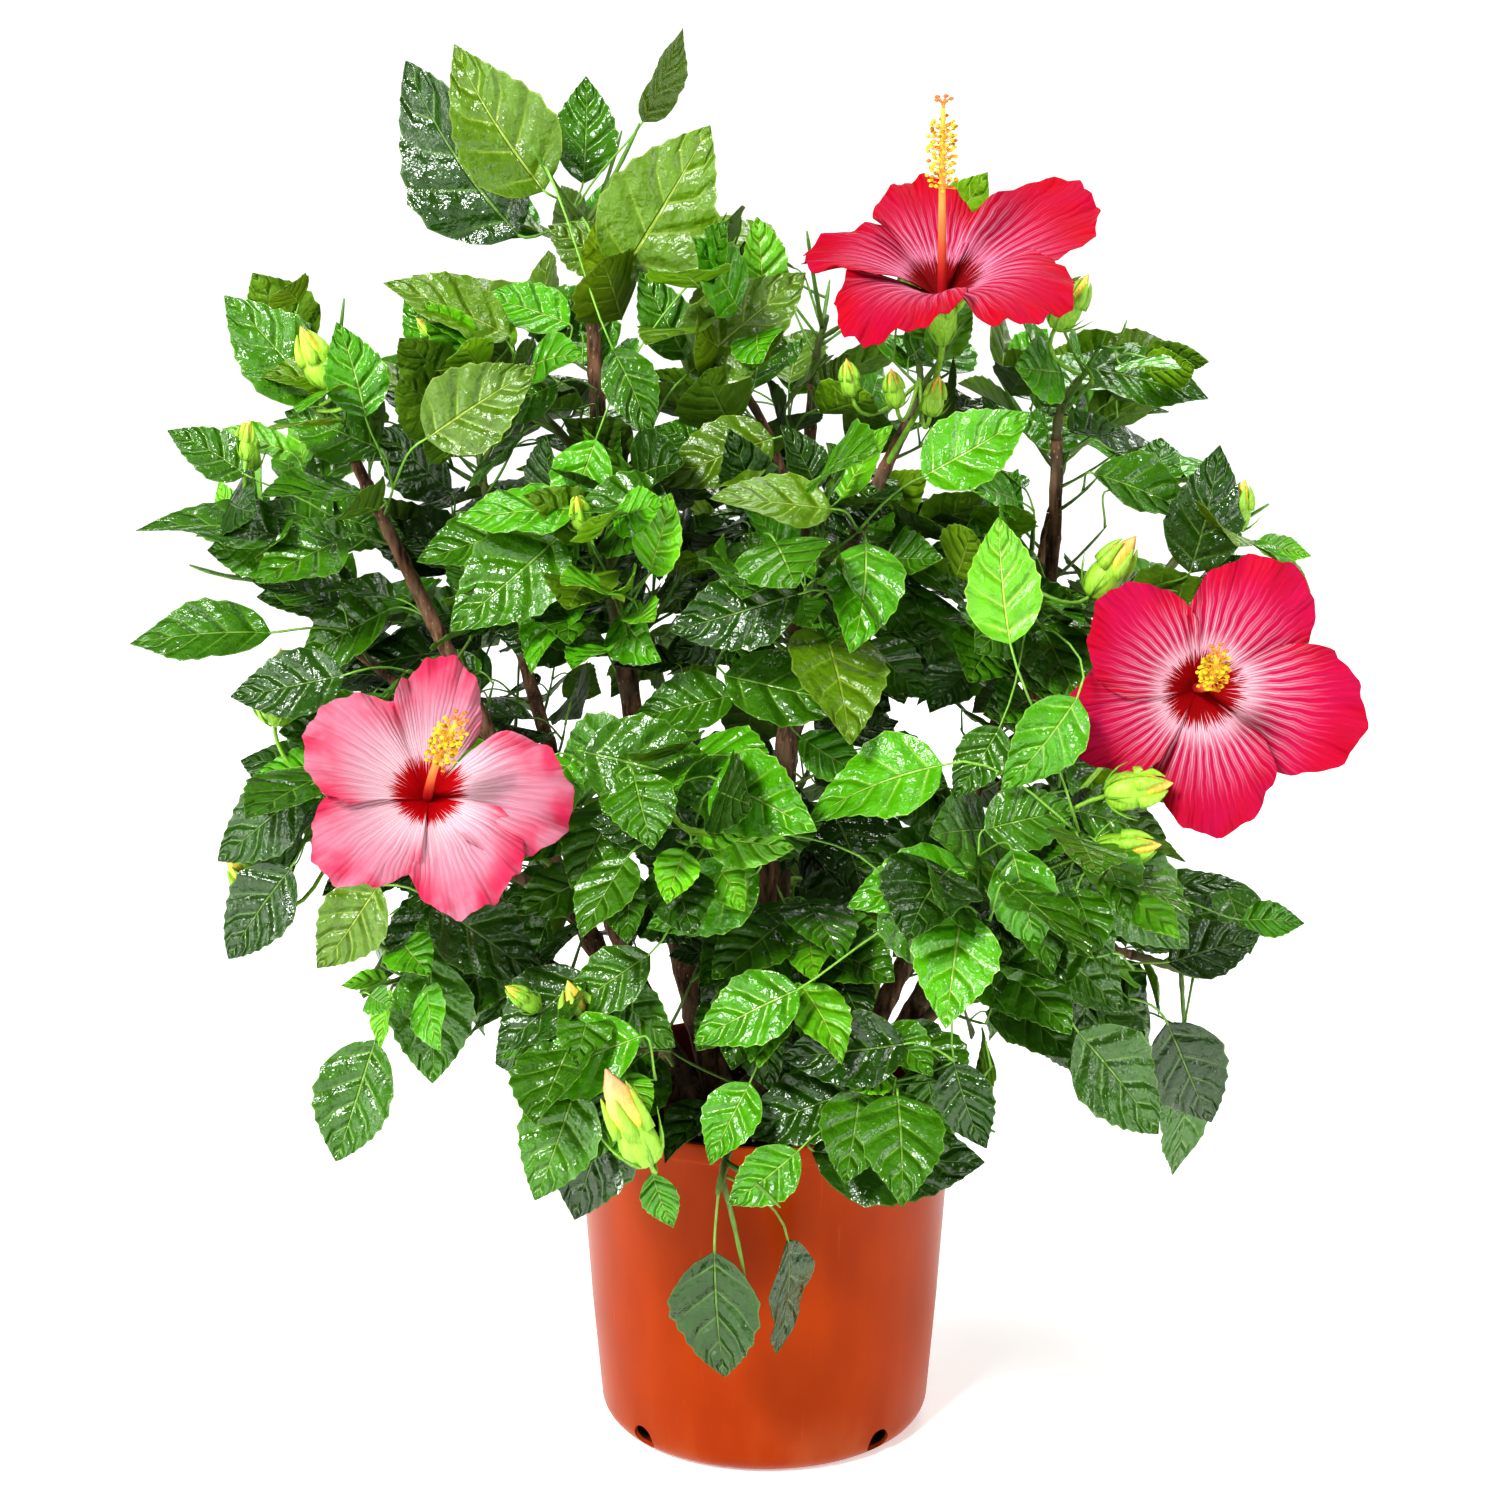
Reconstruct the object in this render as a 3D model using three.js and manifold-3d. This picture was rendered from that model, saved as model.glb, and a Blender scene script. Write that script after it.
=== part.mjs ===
// A potted hibiscus shrub: stems and boughs with masses of foliage and three open blooms, growing out
// of a filled nursery pot.
// Sizes are in millimetres, +Z is up, and the origin is the centre of the pot's flat underside.
import * as THREE from "three";
import { mergeVertices } from "three/addons/utils/BufferGeometryUtils.js";
import Module from "manifold-3d";

const wasm = await Module();
wasm.setup();

const CLEAR = 0.3; // the gap between pieces that touch
const SMOOTH = 0.3; // joined solids drop the corners that stand out by less than this
const UP = new THREE.Vector3(0, 0, 1);
const LIGHT = new THREE.Vector3(0, -0.4, 0.75); // where the leaves turn their faces, besides outwards
const GOLDEN = Math.PI * (3 - Math.sqrt(5)); // the turn from one leaf to the next round a twig

// ---------------------------------------------------------------- driving dimensions

const POT = {
  height: 240,
  baseRadius: 113,
  topRadius: 129,
  wall: 2.6,
  foot: 17, // radius of the rounded foot
  rimHeight: 15,
  rimOut: 4.5,
  facets: 30,
  holes: 4,
  holeRadius: 9,
  holeTurn: 43, // degrees from +X to the first drain hole
};
const SOIL_TOP = 212;
// The crown's outline from in front: at each height, how far it goes to the left and to the right.
const OUTLINE = [
  [92, -285, 300],
  [300, -292, 318],
  [380, -352, 355],
  [470, -352, 318],
  [545, -430, 335],
  [640, -416, 370],
  [700, -384, 292],
  [780, -342, 282],
  [812, -265, 215],
  [860, -250, 130],
  [936, -246, -26],
];
const SPACE_EDGE = 2.5; // how far a leaf's corners stay from the plane to the next mass

// Each stem: where it leaves the soil, where it ends, how far its middle is bowed aside, and its
// radius at the foot and at the tip.
const STEMS = [
  { name: "stem_tall", foot: [-24, 4], head: [-112, 10, 786], bow: [-20, 0, 0], thick: 10, thin: 4.4 },
  { name: "stem_left", foot: [-48, -20], head: [-261, -40, 668], bow: [-4, 0, 4], thick: 9, thin: 3.8 },
  { name: "stem_centre", foot: [8, -32], head: [92, -10, 690], bow: [-40, 0, 0], thick: 9, thin: 3.8 },
  { name: "stem_right", foot: [46, -14], head: [186, -28, 680], bow: [38, -10, -10], thick: 9, thin: 3.8 },
  { name: "stem_back", foot: [2, 44], head: [34, 150, 695], bow: [0, 26, 0], thick: 9, thin: 3.8 },
  { name: "stem_back_left", foot: [-44, 32], head: [-190, 140, 600], bow: [-16, 14, -8], thick: 8, thin: 3.6 },
  { name: "stem_back_right", foot: [44, 30], head: [200, 138, 606], bow: [18, 14, -8], thick: 8, thin: 3.6 },
];

// Each bough: the stem it forks from and how far up that is, its end, and how steeply it arrives there.
const BOUGHS = [
  { name: "bough_far_left", on: "stem_left", at: 0.5, head: [-300, 10, 560], lift: 0.9 },
  { name: "bough_left_low", on: "stem_left", at: 0.32, head: [-246, -36, 425], lift: 0.3 },
  { name: "bough_lower_left", on: "stem_left", at: 0.12, head: [-196, -96, 356], lift: -0.2 },
  { name: "bough_front_left", on: "stem_left", at: 0.2, head: [-90, -138, 432], lift: 0.7 },
  { name: "bough_low_front_left", on: "stem_left", at: 0.05, head: [-76, -156, 318], lift: -0.1 },
  { name: "bough_low_front", on: "stem_centre", at: 0.05, head: [-22, -172, 268], lift: -0.5 },
  { name: "bough_low_front_right", on: "stem_right", at: 0.04, head: [68, -144, 296], lift: -0.2 },
  { name: "bough_right_front", on: "stem_right", at: 0.2, head: [136, -142, 400], lift: 0.6 },
  { name: "bough_low_right", on: "stem_right", at: 0.11, head: [182, -92, 350], lift: 0.1 },
  { name: "bough_far_right_low", on: "stem_right", at: 0.16, head: [246, -6, 330], lift: -0.3 },
  { name: "bough_far_right", on: "stem_right", at: 0.5, head: [246, -46, 590], lift: 0.7 },
  { name: "bough_top_centre", on: "stem_centre", at: 0.44, head: [-12, 0, 705], lift: 1.5 },
];
const BOUGH_SHARE = 0.62; // a bough's radius where it forks, as a share of its stem's there
const BOUGH_TIP = 2.9;

// Each mass of foliage: the limb that carries it, how far along (1 is the tip), its heart, and how far
// it spreads from there.
const MASSES = [
  { name: "foliage_tall_top", on: "stem_tall", at: 1, heart: [-122, 12, 826], spread: 125 },
  { name: "foliage_tall_left", on: "stem_tall", at: 0.74, heart: [-186, -46, 728], spread: 102 },
  { name: "foliage_tall_front", on: "stem_tall", at: 0.55, heart: [-108, -108, 620], spread: 125 },
  { name: "foliage_left_top", on: "stem_left", at: 1, heart: [-288, -45, 704], spread: 105 },
  { name: "foliage_far_left", on: "bough_far_left", at: 1, heart: [-332, 10, 604], spread: 120 },
  { name: "foliage_left_low", on: "bough_left_low", at: 1, heart: [-286, -50, 450], spread: 112 },
  { name: "foliage_lower_left", on: "bough_lower_left", at: 1, heart: [-238, -112, 342], spread: 108 },
  { name: "foliage_front_left", on: "bough_front_left", at: 1, heart: [-66, -176, 484], spread: 120 },
  { name: "foliage_front_low", on: "stem_centre", at: 0.14, heart: [14, -188, 356], spread: 105 },
  { name: "foliage_front", on: "stem_centre", at: 0.58, heart: [24, -130, 604], spread: 125 },
  { name: "foliage_low_front_left", on: "bough_low_front_left", at: 1, heart: [-106, -195, 310], spread: 102 },
  { name: "foliage_low_front", on: "bough_low_front", at: 1, heart: [-30, -212, 240], spread: 105 },
  { name: "foliage_low_front_right", on: "bough_low_front_right", at: 1, heart: [82, -180, 284], spread: 108 },
  { name: "foliage_right_front", on: "bough_right_front", at: 1, heart: [145, -180, 432], spread: 105 },
  { name: "foliage_low_right", on: "bough_low_right", at: 1, heart: [228, -88, 348], spread: 115 },
  { name: "foliage_far_right_low", on: "bough_far_right_low", at: 1, heart: [294, 6, 310], spread: 110 },
  { name: "foliage_right_middle", on: "stem_right", at: 0.66, heart: [160, -104, 602], spread: 108 },
  { name: "foliage_far_right", on: "bough_far_right", at: 1, heart: [272, -36, 630], spread: 110 },
  { name: "foliage_right_top", on: "stem_right", at: 1, heart: [206, -20, 724], spread: 105 },
  { name: "foliage_centre_top", on: "stem_centre", at: 1, heart: [98, 14, 728], spread: 90 },
  { name: "foliage_top_centre", on: "bough_top_centre", at: 1, heart: [0, -16, 762], spread: 120 },
  { name: "foliage_top_back", on: "stem_back", at: 1, heart: [44, 156, 742], spread: 122 },
  { name: "foliage_back_left", on: "stem_back_left", at: 1, heart: [-200, 150, 650], spread: 125 },
  { name: "foliage_back_right", on: "stem_back_right", at: 1, heart: [212, 150, 655], spread: 122 },
  { name: "foliage_back_middle", on: "stem_back", at: 0.58, heart: [4, 216, 540], spread: 122 },
  { name: "foliage_left_back", on: "stem_back_left", at: 0.58, heart: [-250, 164, 474], spread: 118 },
  { name: "foliage_right_back", on: "stem_back_right", at: 0.58, heart: [262, 156, 484], spread: 118 },
  { name: "foliage_low_back", on: "stem_back", at: 0.16, heart: [6, 222, 345], spread: 118 },
  { name: "foliage_low_back_left", on: "stem_back_left", at: 0.2, heart: [-200, 168, 340], spread: 112 },
  { name: "foliage_low_back_right", on: "stem_back_right", at: 0.2, heart: [204, 168, 340], spread: 112 },
  { name: "foliage_inner_left", on: "stem_tall", at: 0.52, heart: [-62, 48, 578], spread: 92 },
  { name: "foliage_inner_right", on: "stem_back", at: 0.68, heart: [104, 62, 590], spread: 92 },
  { name: "foliage_inner_low", on: "stem_back", at: 0.34, heart: [30, 60, 440], spread: 95 },
];

// The leaves that give the crown its outline or stand out in front: the mass each grows in, how far up
// its leader, the blade's base and tip, and the way its upper face looks.
const CHOSEN_LEAVES = [
  { on: "foliage_tall_top", from: 0.95, base: [-78, 6, 878], tip: [-50, 10, 935], faces: [0.9, -0.5, 0.3] },
  { on: "foliage_tall_top", from: 0.8, base: [-92, -40, 784], tip: [-32, -66, 874], faces: [0.2, -1, 0.3] },
  { on: "foliage_tall_top", from: 0.9, base: [-140, -14, 836], tip: [-198, -38, 916], faces: [0.1, -1, 0.4] },
  { on: "foliage_tall_top", from: 0.7, base: [-158, 12, 806], tip: [-243, 0, 900], faces: [-0.3, -1, 0.2] },
  { on: "foliage_tall_top", from: 1, base: [-118, 34, 838], tip: [-112, 52, 906], faces: [0, -1, 0.2] },
  { on: "foliage_tall_left", from: 0.9, base: [-160, -48, 748], tip: [-232, -66, 790], faces: [-0.2, -0.7, 1] },
  { on: "foliage_tall_front", from: 0.8, base: [-166, -114, 592], tip: [-116, -128, 652], faces: [0, -1, 0.2] },
  { on: "foliage_front", from: 0.8, base: [-26, -164, 556], tip: [60, -184, 540], faces: [0.1, -1, 0.8] },
  { on: "foliage_front_left", from: 0.9, base: [-112, -178, 512], tip: [-22, -196, 496], faces: [0, -1, 0.5] },
  { on: "foliage_right_front", from: 0.76, base: [122, -204, 444], tip: [52, -230, 436], faces: [0, -1, 0.5] },
  { on: "foliage_low_front", from: 0.9, base: [-32, -206, 200], tip: [-31, -192, 106], faces: [0, -1, 0.1] },
  { on: "foliage_low_front", from: 0.7, base: [14, -178, 196], tip: [22, -170, 112], faces: [0.9, -0.5, 0] },
  { on: "foliage_low_front_right", from: 0.6, base: [28, -196, 262], tip: [134, -206, 256], faces: [0, -1, 1] },
  { on: "foliage_lower_left", from: 0.8, base: [-212, -132, 368], tip: [-206, -152, 290], faces: [0, -1, 0.1] },
  { on: "foliage_lower_left", from: 1, base: [-250, -112, 306], tip: [-276, -128, 228], faces: [-0.4, -1, 0] },
  { on: "foliage_far_right_low", from: 0.9, base: [282, -18, 262], tip: [294, -18, 176], faces: [0.5, -1, 0] },
];

// The buds that stand out: the mass each grows in, how far up its leader, and the bud's base and tip.
const CHOSEN_BUDS = [
  { on: "foliage_right_front", from: 0.3, base: [196, -196, 452], tip: [236, -210, 462] },
  { on: "foliage_low_front_left", from: 0.5, base: [-80, -222, 278], tip: [-96, -234, 330] },
  { on: "foliage_top_centre", from: 0.9, base: [-36, -34, 790], tip: [-40, -36, 834] },
  { on: "foliage_left_low", from: 0.6, base: [-318, -74, 386], tip: [-346, -82, 416] },
  { on: "foliage_left_low", from: 1, base: [-316, -56, 500], tip: [-310, -58, 550] },
  { on: "foliage_low_front_left", from: 1, base: [-104, -206, 332], tip: [-120, -214, 378] },
  { on: "foliage_right_middle", from: 1, base: [200, -118, 596], tip: [226, -124, 634] },
  { on: "foliage_right_top", from: 0.9, base: [180, -58, 754], tip: [200, -62, 788] },
  { on: "foliage_far_left", from: 1, base: [-332, -10, 658], tip: [-336, -12, 690] },
  { on: "foliage_left_top", from: 1, base: [-272, -58, 716], tip: [-290, -62, 756] },
  { on: "foliage_far_right", from: 1, base: [294, -70, 628], tip: [300, -74, 662] },
];

// Each open bloom: the limb that carries its stalk, its throat, the way it faces, and how far round its
// petals are turned.
const BLOOMS = [
  {
    name: "bloom_left",
    on: "stem_left",
    at: 0.4,
    throat: [-200, -230, 505],
    faces: [0.12, -1, 0.62],
    turn: 20,
    colour: 0xf07f92,
  },
  {
    name: "bloom_top",
    on: "stem_centre",
    at: 0.93,
    throat: [108, -74, 800],
    faces: [-0.05, -0.42, 1],
    turn: 55,
    colour: 0xe8123f,
  },
  {
    name: "bloom_right",
    on: "bough_right_front",
    at: 0.84,
    throat: [264, -176, 547],
    faces: [0.02, -1, 0.1],
    turn: 0,
    colour: 0xe8245c,
  },
];
const BLOOM = {
  petals: 5,
  reach: 92, // from the throat's axis to a petal's end
  notch: 0.7, // how far out two petals part, as a share of the reach
  depth: 34, // from the petals' spread down to the throat
  petalThick: 1.5,
  column: 72, // from the petals' spread up to the column's tip
  columnRadius: 2.6,
  calyxLength: 28,
  calyxRadius: 9,
  stalkRadius: 1.9,
};

const LEAF = {
  length: 102, // of a full-grown blade
  width: 0.74, // of a blade's length
  thick: 0.02, // of a blade's length
  stalk: 0.42, // a leaf stalk's length, as a share of its blade's
  stalkRadius: 1.1,
  fold: 0.2, // how far the edges rise from the midrib, as a share of the half-width
  arch: 0.16, // how far the tip drops below the blade's line, as a share of its length
};
const BUD = { length: 40, radius: 7.5, stalk: 34, stalkRadius: 1.2 };
const TWIG = { leader: 3.4, side: 2, taper: 0.4 }; // radii at the root, and the share lost by the tip
const ROOT = 0.6; // the radius of what is rooted in a twig, at the twig's middle
const GROWTH = {
  seed: 11,
  bareSpread: 58, // a mass has a side twig for each 20 mm that its spread is over this
  spreadPerTwig: 20,
  spreadPerLeaf: 9.2, // and at most one leaf for each of these
  tries: 24, // at a place for each leaf before it is left out
  youngLeaves: 2, // small ones at each twig's tip
  youngStep: 6,
  step: 13, // along a twig, from one leaf to the next
  reach: 1.36, // how far beyond its spread a mass may go where it has no neighbour
};
// What a twig, a leaf or a bud keeps clear of what is round it.
const ROOM = {
  twigToLimb: 6,
  rootToLimb: 2.5, // from where a leaf leaves its twig
  leafToLimb: 8,
  leafToTwig: 5,
  leafToLeaf: 11,
  budToLeaf: 13,
  pot: 8,
  bloom: 8,
  aboveBloom: 170, // nothing else grows in front of a bloom as far as this
};
const BARK = { stem: 0x5a4032, bough: 0x6b4f38 };
const GREENS = [0x2f7d22, 0x276b20, 0x3d8f26, 0x1f5a1d];

// ---------------------------------------------------------------- small helpers

const vec = (a) => new THREE.Vector3(...a);
const radians = THREE.MathUtils.degToRad;
const clamp = THREE.MathUtils.clamp;
const mix = THREE.MathUtils.lerp;

/** A number from 0 to 1 that depends only on the seed and on what it is drawn for. */
function draw(...keys) {
  let h = GROWTH.seed;
  for (const key of keys) {
    h = Math.imul(h ^ (key + 0x9e37), 0x85ebca6b) >>> 0;
    h = (h ^ (h >>> 13)) >>> 0;
    h = Math.imul(h, 0xc2b2ae35) >>> 0;
    h = (h ^ (h >>> 16)) >>> 0;
  }
  return h / 4294967296;
}

/** A closed three.js geometry as a solid that can be joined and cut. */
function solid(geometry) {
  const bare = new THREE.BufferGeometry();
  bare.setAttribute("position", geometry.getAttribute("position"));
  bare.setIndex(geometry.getIndex());
  const merged = mergeVertices(bare, 1e-3);
  const mesh = new wasm.Mesh({
    numProp: 3,
    vertProperties: new Float32Array(merged.attributes.position.array),
    triVerts: new Uint32Array(merged.index.array),
  });
  return new wasm.Manifold(mesh);
}

/** The main body of a solid, with sealed hollows filled and loose scraps dropped. */
function mainBody(made) {
  const bodies = made.asOriginal().simplify(SMOOTH).decompose();
  return bodies.reduce((best, body) => (body.volume() > best.volume() ? body : best));
}

/** A solid as a named mesh. */
function named(name, made, colour, roughness = 0.7) {
  const out = made.getMesh();
  const geometry = new THREE.BufferGeometry();
  geometry.setAttribute("position", new THREE.BufferAttribute(new Float32Array(out.vertProperties), 3));
  geometry.setIndex(new THREE.BufferAttribute(new Uint32Array(out.triVerts), 1));
  geometry.computeVertexNormals();
  const material = new THREE.MeshStandardMaterial({ color: colour, roughness, metalness: 0 });
  const mesh = new THREE.Mesh(geometry, material);
  mesh.name = name;
  return mesh;
}

/** Two unit vectors that make a right-handed set with a direction. */
function across(direction) {
  const aside = Math.abs(direction.z) < 0.9 ? UP : new THREE.Vector3(1, 0, 0);
  const first = new THREE.Vector3().crossVectors(aside, direction).normalize();
  return [first, new THREE.Vector3().crossVectors(direction, first)];
}

/** The horizontal direction outwards from the crown's axis at a point. */
function outwards(point) {
  const flat = new THREE.Vector3(point.x, point.y, 0);
  return flat.length() < 1 ? new THREE.Vector3(0, -1, 0) : flat.normalize();
}

/** A closed tube of changing radius along a curve, from a cylinder bent along it. */
function tube(curve, radiusAt, sides, stations) {
  const last = stations.length - 1;
  const geometry = new THREE.CylinderGeometry(1, 1, 1, sides, last);
  const frames = [];
  for (const t of stations) {
    const direction = curve.getTangent(t).normalize();
    let [first, second] = across(direction);
    if (frames.length) {
      // The last station's frame is carried along, so that the tube doesn't twist.
      second = new THREE.Vector3().crossVectors(direction, frames.at(-1).first).normalize();
      first = new THREE.Vector3().crossVectors(second, direction);
    }
    frames.push({ centre: curve.getPoint(t), first, second, radius: radiusAt(t) });
  }
  const position = geometry.getAttribute("position");
  for (let i = 0; i < position.count; i++) {
    const { centre, first, second, radius } = frames[Math.round((position.getY(i) + 0.5) * last)];
    const made = centre
      .clone()
      .addScaledVector(first, position.getZ(i) * radius)
      .addScaledVector(second, position.getX(i) * radius);
    position.setXYZ(i, made.x, made.y, made.z);
  }
  return geometry;
}

/** Evenly spaced stations from 0 to 1, or bunched towards 0 by a power over 1. */
function stationsOf(steps, bunch = 1) {
  return Array.from({ length: steps + 1 }, (_, i) => (i / steps) ** bunch);
}

// ---------------------------------------------------------------- limbs

/** A stem's curve: from just under the soil at its foot, bowed at its middle, and on to its head. */
function stemCurve({ foot, head, bow }) {
  const start = new THREE.Vector3(foot[0], foot[1], SOIL_TOP - 8);
  const end = vec(head);
  const middle = start.clone().add(end).multiplyScalar(0.5).addScaledVector(vec(bow), 2);
  return new THREE.QuadraticBezierCurve3(start, middle, end);
}

/** A stem's radius, with the root flare at its foot. */
function stemRadius({ thick, thin }, t) {
  const flare = 0.45 * Math.exp(-t * 22);
  return mix(thick, thin, t ** 0.8) * (1 + flare);
}

/** A bough's curve: it leaves its stem between the stem's way and its own, and arrives outwards. */
function boughCurve(stem, { at, head, lift }) {
  const start = stem.curve.getPoint(at);
  const end = vec(head);
  const length = start.distanceTo(end);
  const leave = stem.curve.getTangent(at).normalize().add(end.clone().sub(start).normalize()).normalize();
  const arrive = outwards(end).addScaledVector(UP, lift).normalize();
  return new THREE.CubicBezierCurve3(
    start,
    start.clone().addScaledVector(leave, length * 0.35),
    end.clone().addScaledVector(arrive, -length * 0.35),
    end,
  );
}

/** All the limbs by name, each with its curve and its radius along it. */
function growLimbs() {
  const limbs = {};
  for (const stem of STEMS)
    limbs[stem.name] = {
      ...stem,
      curve: stemCurve(stem),
      radiusAt: (t) => stemRadius(stem, t),
      sides: 8,
      stations: stationsOf(7, 1.7),
    };
  for (const bough of BOUGHS) {
    const stem = limbs[bough.on];
    const root = stem.radiusAt(bough.at) * BOUGH_SHARE;
    const radiusAt = (t) => mix(root, BOUGH_TIP, t);
    const curve = boughCurve(stem, bough);
    limbs[bough.name] = { ...bough, curve, radiusAt, sides: 5, stations: stationsOf(5) };
  }
  return limbs;
}

/** A limb's solid: a bough is cut clear of the stem it forks from, and a stem flat at the soil. */
function limbSolid(limb, limbs) {
  const whole = solid(tube(limb.curve, limb.radiusAt, limb.sides, limb.stations));
  const ground = new THREE.BoxGeometry(300, 300, 100).translate(0, 0, SOIL_TOP + CLEAR - 50);
  return mainBody(whole.subtract(limb.on ? clearedStem(limbs[limb.on]) : solid(ground)));
}

/** A limb made thicker by the clearance, to cut what meets it. */
function clearedStem(limb) {
  return solid(tube(limb.curve, (t) => limb.radiusAt(t) + CLEAR, limb.sides, limb.stations));
}

// ---------------------------------------------------------------- the rule of growth

/** A mass's leading twig: it leaves its limb, and ends at the mass's heart. */
function leaderOf(mass, limbs) {
  const limb = limbs[mass.on];
  const heart = vec(mass.heart);
  const tangent = limb.curve.getTangent(mass.at).normalize();
  const start = limb.curve.getPoint(mass.at);
  const leave = tangent.clone();
  if (mass.at === 1) start.addScaledVector(tangent, CLEAR);
  else leave.multiplyScalar(0.8).add(heart.clone().sub(start).normalize()).normalize();
  const bend = start.clone().addScaledVector(leave, start.distanceTo(heart) * 0.55);
  return new THREE.QuadraticBezierCurve3(start, bend, heart);
}

/** A bloom's stalk: from its limb to the calyx under its throat. */
function stalkOf(bloom, limbs) {
  const limb = limbs[bloom.on];
  const faces = vec(bloom.faces).normalize();
  const start = limb.curve.getPoint(bloom.at);
  const end = vec(bloom.throat).addScaledVector(faces, -BLOOM.depth - BLOOM.calyxLength * 0.8);
  const length = start.distanceTo(end);
  const away = end.clone().sub(start).normalize();
  const leave = limb.curve.getTangent(bloom.at).normalize().addScaledVector(away, 1.2).normalize();
  const bendOut = start.clone().addScaledVector(leave, length * 0.35);
  const bendIn = end.clone().addScaledVector(faces, -length * 0.35);
  return new THREE.CubicBezierCurve3(start, bendOut, bendIn, end);
}

/** What foliage keeps clear of: short straight pieces of every limb, leader and bloom's stalk. */
function obstaclesOf(limbs, leaders, stalks) {
  const found = [];
  const add = (curve, radiusAt, owner, steps) => {
    for (let i = 0; i < steps; i++)
      found.push({
        a: curve.getPoint(i / steps),
        b: curve.getPoint((i + 1) / steps),
        radius: radiusAt(i / steps),
        owner,
      });
  };
  for (const [name, limb] of Object.entries(limbs)) add(limb.curve, limb.radiusAt, name, 9);
  leaders.forEach((curve, i) => add(curve, () => TWIG.leader, MASSES[i].name, 5));
  stalks.forEach((curve, i) => add(curve, () => BLOOM.stalkRadius, BLOOMS[i].name, 6));
  return found;
}

/** The distance from a point to a straight piece. */
function distanceTo(point, { a, b }) {
  const along = b.clone().sub(a);
  const t = clamp(point.clone().sub(a).dot(along) / along.lengthSq(), 0, 1);
  return point.distanceTo(a.clone().addScaledVector(along, t));
}

/** True if a point lies in a mass's own space: on its side of the plane between it and each neighbour. */
function inOwnSpace(point, index) {
  const own = MASSES[index];
  const heart = vec(own.heart);
  const power = point.distanceToSquared(heart) - own.spread ** 2;
  if (point.distanceTo(heart) > own.spread * GROWTH.reach) return false;
  return MASSES.every((other, i) => {
    if (i === index) return true;
    const centre = vec(other.heart);
    const beyond = point.distanceToSquared(centre) - other.spread ** 2 - power;
    return beyond / (2 * centre.distanceTo(heart)) > SPACE_EDGE;
  });
}

/** True if a point is where the pot stands, or outside the crown's outline. */
function isOut({ x, y, z }) {
  const potReach = POT.topRadius + POT.rimOut + ROOM.pot;
  if (z < POT.height + ROOM.pot && Math.hypot(x, y) < potReach) return true;
  const next = OUTLINE.findIndex(([height]) => height > z);
  if (next < 1) return true;
  const [low, leftLow, rightLow] = OUTLINE[next - 1];
  const [high, leftHigh, rightHigh] = OUTLINE[next];
  const share = (z - low) / (high - low);
  return x < mix(leftLow, leftHigh, share) || x > mix(rightLow, rightHigh, share);
}

/** True if a point is in a bloom, or in the open space in front of it. */
function inBloom(point) {
  return BLOOMS.some((bloom) => {
    const faces = vec(bloom.faces).normalize();
    const from = point.clone().sub(vec(bloom.throat));
    const height = from.dot(faces);
    const radius = from.addScaledVector(faces, -height).length();
    if (height > -10) return height < ROOM.aboveBloom && radius < BLOOM.reach + ROOM.bloom;
    const above = height + BLOOM.depth + BLOOM.calyxLength;
    return above > 0 && radius < 18 + above * 0.8;
  });
}

/** Half a blade's width at a share of its length, as a share of its widest. */
function halfWidth(along) {
  return Math.sin(Math.PI * along ** 0.68) ** 0.8 * (1 - 0.18 * along);
}

/** A point on a blade: a share of its length along, and of its half-width aside. */
function onBlade({ base, way, aside, normal, length }, along, side) {
  const half = 0.5 * length * LEAF.width * halfWidth(along);
  const rise = LEAF.fold * Math.abs(side) * half - LEAF.arch * length * along ** 2;
  return base
    .clone()
    .addScaledVector(way, length * along)
    .addScaledVector(aside, side * half)
    .addScaledVector(normal, rise);
}

/** The points at which a leaf is tested. */
function testPoints(leaf) {
  const places = [[0, 0], [0.24, -1], [0.24, 0], [0.24, 1], [0.44, -1], [0.44, 1]];
  places.push([0.5, 0], [0.64, -1], [0.64, 1], [0.78, 0], [1, 0]);
  const points = places.map(([along, side]) => onBlade(leaf, along, side));
  points.push(leaf.point.clone().lerp(leaf.base, 0.6));
  return points;
}

/** A leaf from the twig it leaves, its blade's base, its blade's way and length, and where its face looks. */
function leafAt(point, base, way, length, faces) {
  const normal = faces.clone().addScaledVector(way, -faces.dot(way)).normalize();
  const aside = new THREE.Vector3().crossVectors(way, normal);
  return { point, base, way, normal, aside, length };
}

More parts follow.
